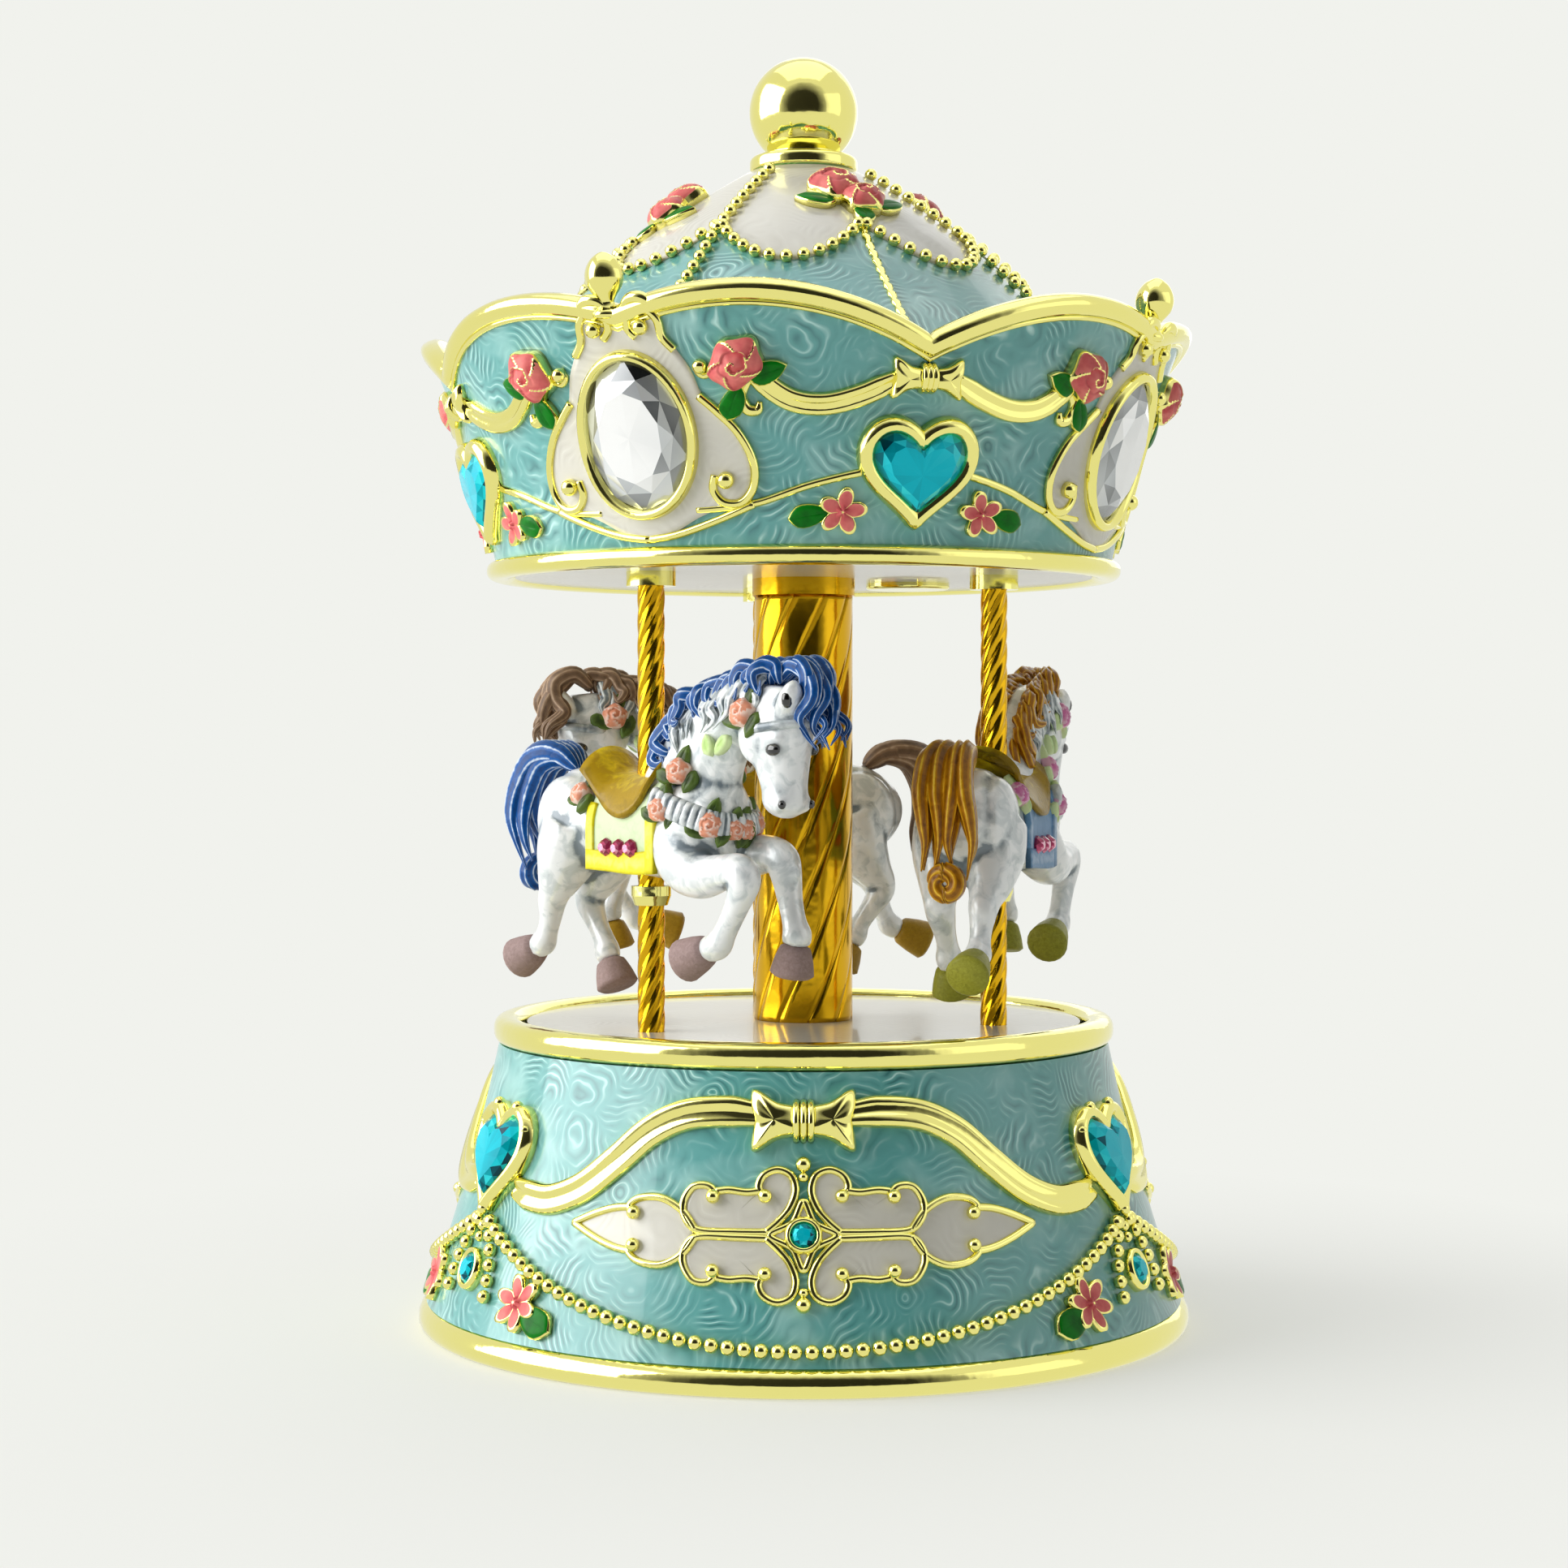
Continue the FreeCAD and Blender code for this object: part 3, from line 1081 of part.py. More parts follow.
HORSE_EAR = [(25.6, 23.0, 1.6, 0.9), (27.6, 25.6, 1.9, 0.15)]    # x, height, distance out, radius
SADDLE_BACK = -7.4
SADDLE_FRONT = 6.4
SADDLE_THICKNESS = 0.8
SADDLE_DEPTH = 6.4         # how far the flaps hang below the back's top line
BLANKET_BACK = -5.0
BLANKET_FRONT = 7.8
BLANKET_THICKNESS = 0.4
BLANKET_DEPTH = 11.0
CANTLE_RISE = 2.6
CANTLE_ROOT = (1.4, -1.0, 0.8, 1.2)    # from the saddle's back: x, height, width share, half thickness
CANTLE_LEAN = (0.4, 0.5, 0.6)          # upper end: x, width share, half thickness
HEM_MARGIN = 1.0           # reach of the box that trims a cover's hem


def spine(rows, left=0.0):
    """Stations in the horse's middle plane, or a distance to its left."""
    return [(V(x, left, height), LEFT, half_width, half) for x, height, half_width, half in rows]


def leg(rows):
    """Stations of a round leg."""
    return [(V(x, y, height), LEFT, radius, radius) for x, y, height, radius in rows]


def torso_at(x):
    """Torso's height, half width and half height at a distance along it, between its stations."""
    for near, far in zip(HORSE_TORSO, HORSE_TORSO[1:]):
        if near[0] <= x <= far[0]:
            share = (x - near[0]) / (far[0] - near[0])
            return [a + share * (b - a) for a, b in zip(near[1:], far[1:])]
    raise ValueError("no torso there")


def wrap(back, front, thickness, depth):
    """A cover laid over the horse's back: the torso, thicker, between two stations and above a hem."""
    stations = []
    for share in (0, 0.5, 1):
        x = back + share * (front - back)
        height, half_width, half_height = torso_at(x)
        stations.append((V(x, 0, height), LEFT, half_width + thickness, half_height + thickness))
    sleeve = limb(stations)
    height, half_width, half_height = torso_at((back + front) / 2)
    hem = height + half_height - depth
    reach = half_width + 2 * thickness
    top = height + half_height + HEM_MARGIN + thickness
    return sleeve.common(box((back - HEM_MARGIN, -reach, hem), (front + HEM_MARGIN, reach, top)))


def horse():
    """Leaping horse with its saddle and blanket, drilled for its pole."""
    height, half_width, half_height = torso_at(SADDLE_BACK)
    top = height + half_height
    root_x, root_rise, root_width, root_half = CANTLE_ROOT
    lean_x, lean_width, lean_half = CANTLE_LEAN
    cantle = limb([(V(SADDLE_BACK + root_x, 0, top + root_rise), LEFT, half_width * root_width, root_half),
                   (V(SADDLE_BACK + lean_x, 0, top + CANTLE_RISE), LEFT, half_width * lean_width, lean_half)])
    pieces = [limb(spine(rows)) for rows in (HORSE_TORSO, HORSE_NECK, HORSE_HEAD, HORSE_TAIL)]
    pieces.append(limb(spine(HORSE_MANE, MANE_SIDE)))
    pieces.append(wrap(SADDLE_BACK, SADDLE_FRONT, SADDLE_THICKNESS, SADDLE_DEPTH))
    pieces.append(wrap(BLANKET_BACK, BLANKET_FRONT, BLANKET_THICKNESS, BLANKET_DEPTH))
    pieces.append(cantle)
    legs = (FORELEG_BENT, FORELEG_REACHING, HINDLEG_KICKING, HINDLEG_DRIVING)
    pieces += [limb(leg(rows)) for rows in legs]
    for side in (-1, 1):
        pieces.append(limb([(V(x, side * y, height), LEFT, r, r) for x, height, y, r in HORSE_EAR]))
    body = pieces[0].multiFuse(pieces[1:])
    low = -HORSE_LIFT
    body = body.cut(disc(POLE_RADIUS + SEAT_CLEARANCE, low, COLUMN_HEIGHT))
    body = body.cut(disc(FERRULE_RADIUS + RUN_CLEARANCE, low, 0))
    return max(body.Solids, key=lambda solid: solid.Volume)


def set_on_pole(shape, bearing):
    """Copy of the horse on its pole, heading round the carousel towards rising bearings."""
    copy = shape.copy()
    copy.translate(outward(0) * POLE_CIRCLE + UP * ferrule_top)
    copy.rotate(ORIGIN, UP, bearing)
    return copy


# Canopy

crown_wall = ArcWall((CANOPY_RIM_RADIUS - CANOPY_RIM_LIP, CROWN_BOTTOM),
                     (CROWN_RADIUS, CREST_TOP), CROWN_BOW)
arch_angle = 180 / CANOPY_FOLD
heart_bearing = OVAL_BEARING + arch_angle
floor_radius = CANOPY_RIM_RADIUS - CANOPY_RIM_WIDTH


def canopy_floor():
    top = CANOPY_BOTTOM + CANOPY_FLOOR
    plate = ring(TIE_ROD_RADIUS + SEAT_CLEARANCE, floor_radius - SEAT_CLEARANCE, CANOPY_BOTTOM, top)
    return drilled(plate, CANOPY_BOTTOM, top)


def canopy_bottom_rim():
    blank_ring = ring(floor_radius, CANOPY_RIM_RADIUS, CANOPY_RIM_BOTTOM, CROWN_BOTTOM)
    middle = CANOPY_RIM_RADIUS - CANOPY_RIM_WIDTH / 2
    return rounded(blank_ring, CANOPY_RIM_ROUND, lambda edge: edge.Curve.Radius > middle)


def canopy_plug():
    place = outward(PLUG_BEARING) * PLUG_CIRCLE
    plug = disc(PLUG_RADIUS, CANOPY_BOTTOM - PLUG_THICKNESS, CANOPY_BOTTOM, place.x, place.y)
    middle = CANOPY_BOTTOM - PLUG_THICKNESS / 2
    return rounded(plug, PLUG_THICKNESS / 2, lambda edge: edge.CenterOfMass.z < middle)


def crown_sector(inner, outer):
    """One scallop's share of the crown wall towards the viewer, between two offsets from its outer face."""
    edges = [crown_wall.edge(CROWN_BOTTOM, CREST_TOP, offset) for offset in (inner, outer)]
    for height in (CROWN_BOTTOM, CREST_TOP):
        radius = crown_wall.radius(height)
        edges.append(line((radius + inner, height), (radius + outer, height)))
    sector = turned(edges, arch_angle)
    sector.rotate(ORIGIN, UP, -90 - arch_angle / 2)
    return sector


def arch_prism(drop_left, drop_right, fall, depth):
    """Space under one scallop's arch, lowered by fall; depth is its height, or None for all."""
    half = CROWN_RADIUS * math.sin(math.radians(arch_angle / 2))
    margin = half + 4 * CROWN_EDGE_LIP

    def top_edge(shift):
        left = V(-half, 0, CREST_TOP - drop_left - shift)
        right = V(half, 0, CREST_TOP - drop_right - shift)
        arch = Part.Arc(left, V(0, 0, CREST_TOP - shift), right).toShape()
        return (V(-margin, 0, left.z), left, arch, right, V(margin, 0, right.z))

    upper = top_edge(fall)
    edges = [Part.makeLine(upper[0], upper[1]), upper[2], Part.makeLine(upper[3], upper[4])]
    if depth is None:
        corner = (V(-margin, 0, CROWN_BOTTOM), V(margin, 0, CROWN_BOTTOM))
        edges += [Part.makeLine(upper[0], corner[0]), Part.makeLine(corner[0], corner[1]),
                  Part.makeLine(corner[1], upper[4])]
    else:
        lower = top_edge(fall + depth)
        edges += [Part.makeLine(lower[0], lower[1]), lower[2], Part.makeLine(lower[3], lower[4]),
                  Part.makeLine(upper[0], lower[0]), Part.makeLine(upper[4], lower[4])]
    face = Part.Face(Part.Wire(Part.__sortEdges__(edges)))
    return face.extrude(V(0, -2 * CROWN_RADIUS, 0))


def scalloped(inner, outer, fall, depth):
    """Ring of scalloped sectors: valleys above the ovals and, deeper, above the hearts."""
    sector = crown_sector(inner, outer)
    sectors = []
    drops = (CROWN_OVAL_DROP, CROWN_VALLEY_DROP)
    for index in range(2):
        part = sector.common(arch_prism(drops[index], drops[1 - index], fall, depth))
        first = OVAL_BEARING + arch_angle / 2 + index * arch_angle
        sectors += around(part, CANOPY_FOLD, first)
    return one_solid(sectors)


def canopy_wall():
    return scalloped(-CROWN_WALL, 0, CROWN_EDGE_HEIGHT, None)


def canopy_top_rim():
    return scalloped(-CROWN_WALL - CROWN_EDGE_LIP / 2, CROWN_EDGE_LIP, 0, CROWN_EDGE_HEIGHT)


dome_edge_radius = crown_wall.radius(DOME_EDGE - DOME_LIP) - CROWN_WALL - DOME_GAP
shoulder = (DOME_SHOULDER_RADIUS, DOME_EDGE + DOME_SHOULDER_RISE)
dome_skirt = ArcWall((dome_edge_radius, DOME_EDGE), shoulder, DOME_SKIRT_BOW)
dome_cap = ArcWall(shoulder, (DOME_TOP_RADIUS, DOME_TOP), DOME_CAP_BOW)


def dome_body(offset, bore):
    """Body under the dome's outline moved inwards by offset, with a bore on the axis."""
    bottom = DOME_EDGE - offset
    edges = []
    for wall, low, high in ((dome_skirt, DOME_EDGE, shoulder[1]), (dome_cap, shoulder[1], DOME_TOP)):
        edge = wall.edge(low, high)
        edge.translate(V(0, 0, -offset))
        edges.append(edge)
    edges += [line((DOME_TOP_RADIUS, DOME_TOP - offset), (bore, DOME_TOP - offset)),
              line((bore, DOME_TOP - offset), (bore, bottom)),
              line((bore, bottom), (dome_edge_radius, bottom))]
    return turned(edges)


def canopy_dome():
    """Domed roof of even thickness, open below."""
    bore = TIE_ROD_RADIUS + SEAT_CLEARANCE
    hollow = dome_body(DOME_LIP, 0)
    lip = ring(dome_edge_radius - DOME_WALL, dome_edge_radius, DOME_EDGE - DOME_LIP, DOME_EDGE)
    shell = dome_body(0, bore).cut(hollow)
    return one_solid([shell, lip])


def finial_collar():
    collar = ring(TIE_ROD_RADIUS + SEAT_CLEARANCE, DOME_TOP_RADIUS, DOME_TOP, BALL_SEAT)
    return rounded(collar, FINIAL_COLLAR_ROUND, lambda edge: edge.Curve.Radius > BALL_NECK_RADIUS)


def finial_ball():
    """Ball on a short neck, threaded on the tie rod."""
    ball = Part.makeSphere(BALL_RADIUS, V(0, 0, BALL_CENTRE))
    ball = ball.cut(disc(BALL_RADIUS, BALL_SEAT - BALL_RADIUS, BALL_SEAT))
    neck = disc(BALL_NECK_RADIUS, BALL_SEAT, BALL_SEAT + BALL_NECK_HEIGHT)
    return one_solid([ball, neck]).cut(disc(TIE_ROD_RADIUS + SEAT_CLEARANCE, BALL_SEAT, BALL_CENTRE))


# Ornament

def filled(wall, bottom, top):
    """Filled body inside a wall, to trim ornament."""
    return turned([wall.edge(bottom, top), line((wall.radius(top), top), (0, top)),
                   line((0, top), (0, bottom)), line((0, bottom), (wall.radius(bottom), bottom))])


crown_surface = Surface(crown_wall, filled(crown_wall, CROWN_BOTTOM, CREST_TOP))
base_surface = Surface(base_wall, filled(base_wall, FOOT_HEIGHT, WALL_TOP))
heart_span = 180 / BASE_FOLD
dome_surface = Surface(dome_cap, filled(dome_cap, shoulder[1], DOME_TOP))


def setting(outline, inner):
    """Bezel between an outer and an inner wire."""
    return blank(Part.Face(outline).cut(Part.Face(inner)), SETTING_RELIEF)


def ellipse_wire(half_x, half_y):
    return ellipse_face(half_x, half_y).OuterWire


def on_crown(shape, bearing, height):
    return around(crown_surface.stand(shape, bearing, CROWN_BOTTOM + height), CANOPY_FOLD)


def on_base(shape, bearing, height):
    return around(base_surface.stand(shape, bearing, height), BASE_FOLD)


def oval_setting():
    inner = ellipse_wire(OVAL_HALF_WIDTH - SETTING_WALL, OVAL_HALF_LENGTH - SETTING_WALL)
    return setting(ellipse_wire(OVAL_HALF_WIDTH, OVAL_HALF_LENGTH), inner)


def oval_stone():
    inset = SETTING_WALL + SEAT_CLEARANCE
    outline = ellipse_wire(OVAL_HALF_WIDTH - inset, OVAL_HALF_LENGTH - inset)
    return cut_stone(outline, STONE_GIRDLE, STONE_RELIEF)


def heart_setting(width, length):
    inner = heart_wire(width - 2 * SETTING_WALL, length - HEART_TIP_WALL * SETTING_WALL)
    return setting(heart_wire(width, length), inner)


def heart_stone(width, length):
    inset = SETTING_WALL + SEAT_CLEARANCE
    outline = heart_wire(width - 2 * inset, length - HEART_TIP_WALL * inset)
    return cut_stone(outline, STONE_GIRDLE, STONE_RELIEF)


def bow(width, length):
    """Ribbon bow: two loops that widen outwards and a knot between them."""
    half = length / 2
    pinch = length * BOW_PINCH
    knot = ellipse_face(width * BOW_KNOT_WIDTH, length * BOW_KNOT_LENGTH)
    solids = [blank(knot, BOW_RELIEF * BOW_KNOT_RELIEF)]
    for side in (-1, 1):
        far = side * width / 2
        near = side * width * BOW_LOOP_START
        full = far * BOW_LOOP_FULL
        edges = [Part.makeLine(V(near, -pinch, 0), V(near, pinch, 0)),
                 Part.makeLine(V(near, pinch, 0), V(full, half, 0)),
                 Part.Arc(V(full, half, 0), V(far, 0, 0), V(full, -half, 0)).toShape(),
                 Part.makeLine(V(full, -half, 0), V(near, -pinch, 0))]
        solids.append(blank(Part.Face(Part.Wire(Part.__sortEdges__(edges))), BOW_RELIEF))
    return one_solid(solids)


def ribbon(surface, path, half_width, relief, steps):
    """Raised ribbon along path(share), which gives (bearing, height), trimmed by the surface."""
    stations = []
    spots = [path(step / steps) for step in range(steps + 1)]
    places = [surface.point(*spot) for spot in spots]
    for index, spot in enumerate(spots):
        stations.append((places[index], surface.normal(*spot), relief, half_width))
    return limb(stations).cut(surface.core)


def canopy_swag(side):
    """Path of the ribbon from the bow to the rose on one side of a heart."""
    start = 0.5 * math.degrees(CANOPY_BOW_WIDTH / crown_wall.radius(CROWN_BOTTOM + CANOPY_BOW_HEIGHT))
    end = ROSE_OFFSET - SWAG_CLEAR
    rise = ROSE_HEIGHT - CANOPY_BOW_HEIGHT - SWAG_END_DROP

    def path(share):
        offset = start + share * (end - start)
        sag = SWAG_SAG * math.sin(math.pi * share)
        height = CROWN_BOTTOM + CANOPY_BOW_HEIGHT + share * rise - sag
        return heart_bearing + side * offset, height

    return path


def canopy_garlands():
    """Bows above the hearts and the ribbons that hang from them."""
    solids = on_crown(bow(CANOPY_BOW_WIDTH, CANOPY_BOW_LENGTH), heart_bearing, CANOPY_BOW_HEIGHT)
    knot = group(solids)
    for side in (-1, 1):
        swag = ribbon(crown_surface, canopy_swag(side), SWAG_HALF_WIDTH, SWAG_RELIEF, SWAG_STEPS)
        solids += around(swag.cut(knot), CANOPY_FOLD)
    return group(solids)


def rose():
    """Rose seen from the front: round petals in two tiers about a bud."""
    outer = blank(petal_face(ROSE_RADIUS, ROSE_PETALS[0]), ROSE_RELIEF * ROSE_TIERS[0])
    inner = blank(petal_face(ROSE_RADIUS * ROSE_INNER, ROSE_PETALS[1]), ROSE_RELIEF * ROSE_TIERS[1])
    bud = blank(Part.Face(Part.Wire([Part.makeCircle(ROSE_RADIUS * ROSE_BUD)])), ROSE_RELIEF)
    return one_solid([outer, inner, bud])


def canopy_roses(garlands):
    """Roses at the ends of the ribbons, clear of them, and roses round the dome."""
    flower = rose()
    solids = []
    for side in (-1, 1):
        bearing = heart_bearing + side * ROSE_OFFSET
        placed = crown_surface.stand(flower, bearing, CROWN_BOTTOM + ROSE_HEIGHT)
        solids += around(placed.cut(garlands), CANOPY_FOLD)
    solids += around(dome_surface.stand(flower, heart_bearing, DOME_EDGE + DOME_ROSE_RISE), CANOPY_FOLD)
    return group(solids)


def cartouche_face():
    """White panel round an oval: narrow above, scrolled out at its lower corners, pointed below."""
    top = CROWN_HEIGHT - CROWN_OVAL_DROP - CROWN_EDGE_HEIGHT - OVAL_HEIGHT
    right = [(x, top - drop) for x, drop in CARTOUCHE_TOP] + CARTOUCHE_SIDE
    left = [(-x, y) for x, y in reversed(right)]
    points = [V(x, y, 0) for x, y in [(0, top)] + right + [(0, CARTOUCHE_TIP)] + left]
    return Part.Face(Part.makePolygon(points + [points[0]]))


def canopy_cartouches():
    """White panels behind the ovals, open where the settings stand."""
    hole = ellipse_face(OVAL_HALF_WIDTH + SEAT_CLEARANCE, OVAL_HALF_LENGTH + SEAT_CLEARANCE)
    height = CROWN_BOTTOM + OVAL_HEIGHT
    plate = crown_surface.veneer(cartouche_face().cut(hole), OVAL_BEARING, height, CARTOUCHE_RELIEF)
    return group(around(plate, CANOPY_FOLD))


def crest_knobs(edge_band):
    """Bud on the crown's edge band above each oval."""
    seat = CREST_TOP - CROWN_OVAL_DROP
    swell = (V(KNOB_WAIST, 0, 0), V(KNOB_HALF_WIDTH, 0, KNOB_SWELL), V(KNOB_TIP, 0, KNOB_HEIGHT))
    edges = [line((0, 0), (KNOB_WAIST, 0)), Part.Arc(*swell).toShape(),
             line((KNOB_TIP, KNOB_HEIGHT), (0, KNOB_HEIGHT)), line((0, KNOB_HEIGHT), (0, 0))]
    bud = turned(edges)
    radius = crown_wall.radius(seat) + (CROWN_EDGE_LIP / 2 - CROWN_WALL) / 2
    bud.translate(outward(0) * radius + UP * seat)
    bud = turned_to(bud, OVAL_BEARING).cut(edge_band)
    return group(around(bud, CANOPY_FOLD))


def on_dome(bearing, height, lift):
    """Point over the dome, on its cap or on its skirt."""
    wall = dome_cap if height > shoulder[1] else dome_skirt
    return Surface(wall, None).point(bearing, height, lift)


def dome_beads():
    """Bead swags round the dome, and bead strings that run down it above the ovals."""
    lift = DOME_BEAD_RADIUS + SEAT_CLEARANCE
    span = arch_angle - 2 * DOME_SWAG_MARGIN

    def swag(share):
        height = DOME_EDGE + DOME_SWAG_RISE - DOME_SWAG_DROP * math.sin(math.pi * share)
        return on_dome(DOME_SWAG_MARGIN + span * share, height, lift)

    def string(share):
        height = DOME_EDGE + DOME_STRING_TOP + share * (DOME_STRING_BOTTOM - DOME_STRING_TOP)
        return on_dome(0, height, lift)

    swag_beads = bead_string(spaced(swag, DOME_BEAD_PITCH), DOME_BEAD_RADIUS)
    string_beads = bead_string(spaced(string, DOME_BEAD_PITCH), DOME_BEAD_RADIUS)
    swags = around(swag_beads, 2 * CANOPY_FOLD, OVAL_BEARING)
    return group(swags + around(string_beads, CANOPY_FOLD, OVAL_BEARING))


def plaque_face():
    """Scroll plaque: four lobes about the middle and a lobe at each end."""
    lobes = []
    half_x = PLAQUE_LOBE_WIDTH / 2
    half_y = PLAQUE_LOBE_HEIGHT / 2
    for side in (-1, 1):
        for level in (-1, 1):
            x = side * half_x * PLAQUE_OVERLAP
            lobes.append(ellipse_face(half_x, half_y, x, level * half_y * PLAQUE_OVERLAP))
        reach = (PLAQUE_END_REACH - PLAQUE_END_START) / 2
        lobes.append(ellipse_face(reach, PLAQUE_END_HEIGHT / 2, side * (PLAQUE_END_REACH - reach), 0))
    return lobes[0].multiFuse(lobes[1:]).removeSplitter()


def base_plaques():
    hole = Part.Face(Part.Wire([Part.makeCircle(ROUND_STONE_RADIUS + SETTING_WALL + SEAT_CLEARANCE)]))
    plate = base_surface.veneer(plaque_face().cut(hole), 0, PLAQUE_HEIGHT, PLAQUE_RELIEF)
    return group(around(plate, BASE_FOLD))


def base_ribbon(side):
    """Path of the ribbon from a bow, level at first, down in one sweep to the heart on one side of it."""
    start = 0.5 * math.degrees(BASE_BOW_WIDTH / base_wall.radius(BASE_BOW_HEIGHT))
    heart = 0.5 * math.degrees(BASE_HEART_WIDTH / base_wall.radius(BASE_HEART_HEIGHT))
    end = heart_span - heart
    drop = BASE_BOW_HEIGHT - BASE_HEART_HEIGHT + RIBBON_END_DROP

    def path(share):
        sweep = min(max((share - RIBBON_LEVEL) / (1 - 2 * RIBBON_LEVEL), 0), 1)
        fall = drop * sweep * sweep * (3 - 2 * sweep)
        return side * (start + share * (end - start)), BASE_BOW_HEIGHT - fall

    return path


def base_garlands(settings):
    """Bows under the top rim and ribbons from them to the hearts."""
    solids = on_base(bow(BASE_BOW_WIDTH, BASE_BOW_LENGTH), 0, BASE_BOW_HEIGHT)
    knots = group(solids)
    for side in (-1, 1):
        strip = ribbon(base_surface, base_ribbon(side), RIBBON_HALF_WIDTH, RIBBON_RELIEF, RIBBON_STEPS)
        solids += around(strip.cut(knots).cut(settings), BASE_FOLD)
    return group(solids)


def base_settings():
    """Bezels of the hearts, of the round stones on the plaques and of the drops below the hearts."""
    solids = on_base(heart_setting(BASE_HEART_WIDTH, BASE_HEART_LENGTH), heart_span, BASE_HEART_HEIGHT)
    round_outer = Part.Wire([Part.makeCircle(ROUND_STONE_RADIUS + SETTING_WALL)])
    round_inner = Part.Wire([Part.makeCircle(ROUND_STONE_RADIUS)])
    solids += on_base(setting(round_outer, round_inner), 0, PLAQUE_HEIGHT)
    inner = ellipse_wire(DROP_HALF_WIDTH - SETTING_WALL / 2, DROP_HALF_LENGTH - SETTING_WALL / 2)
    drop = setting(ellipse_wire(DROP_HALF_WIDTH, DROP_HALF_LENGTH), inner)
    return group(solids + on_base(drop, heart_span, DROP_HEIGHT))


def base_small_stones():
    """Round stones of the plaques and the drops below the hearts."""
    circle = Part.Wire([Part.makeCircle(ROUND_STONE_RADIUS - SEAT_CLEARANCE)])
    solids = on_base(cut_stone(circle, STONE_GIRDLE, STONE_RELIEF), 0, PLAQUE_HEIGHT)
    inset = SETTING_WALL / 2 + SEAT_CLEARANCE
    outline = ellipse_wire(DROP_HALF_WIDTH - inset, DROP_HALF_LENGTH - inset)
    drop = cut_stone(outline, STONE_GIRDLE, STONE_RELIEF)
    return group(solids + on_base(drop, heart_span, DROP_HEIGHT))


def base_beads():
    """Bead swags from heart to heart, and two strands below each heart."""
    heart_tip = BASE_HEART_HEIGHT - BASE_HEART_LENGTH / 2
    lift = BEAD_RADIUS + SEAT_CLEARANCE
    start = heart_tip - 2 * BEAD_RADIUS

    def swag(share):
        bearing = (2 * share - 1) * (heart_span - BASE_SWAG_MARGIN)
        height = BASE_SWAG_LOW + (start - BASE_SWAG_LOW) * (2 * share - 1) ** 2
        return base_surface.point(bearing, height, lift)

    def strand(side):
        def path(share):
            bearing = heart_span + side * (STRAND_START + (STRAND_SPREAD - STRAND_START) * share)
            height = start + share * (BASE_SWAG_LOW + STRAND_LIFT - start)
            return base_surface.point(bearing, height, lift)
        return path

    strings = around(bead_string(spaced(swag, BEAD_PITCH), BEAD_RADIUS), BASE_FOLD)
    for side in (-1, 1):
        string = bead_string(spaced(strand(side), BEAD_PITCH), BEAD_RADIUS)
        strings += around(string, BASE_FOLD)
    return group(strings)


def base_flowers():
    petals = blank(petal_face(FLOWER_RADIUS, FLOWER_PETALS), FLOWER_PETAL_RELIEF)
    middle = blank(Part.Face(Part.Wire([Part.makeCircle(FLOWER_MIDDLE)])), FLOWER_RELIEF)
    flower = one_solid([petals, middle])
    solids = []
    for side in (-1, 1):
        solids += on_base(flower, heart_span + side * FLOWER_OFFSET, FLOWER_HEIGHT)
    return group(solids)


# Nodes

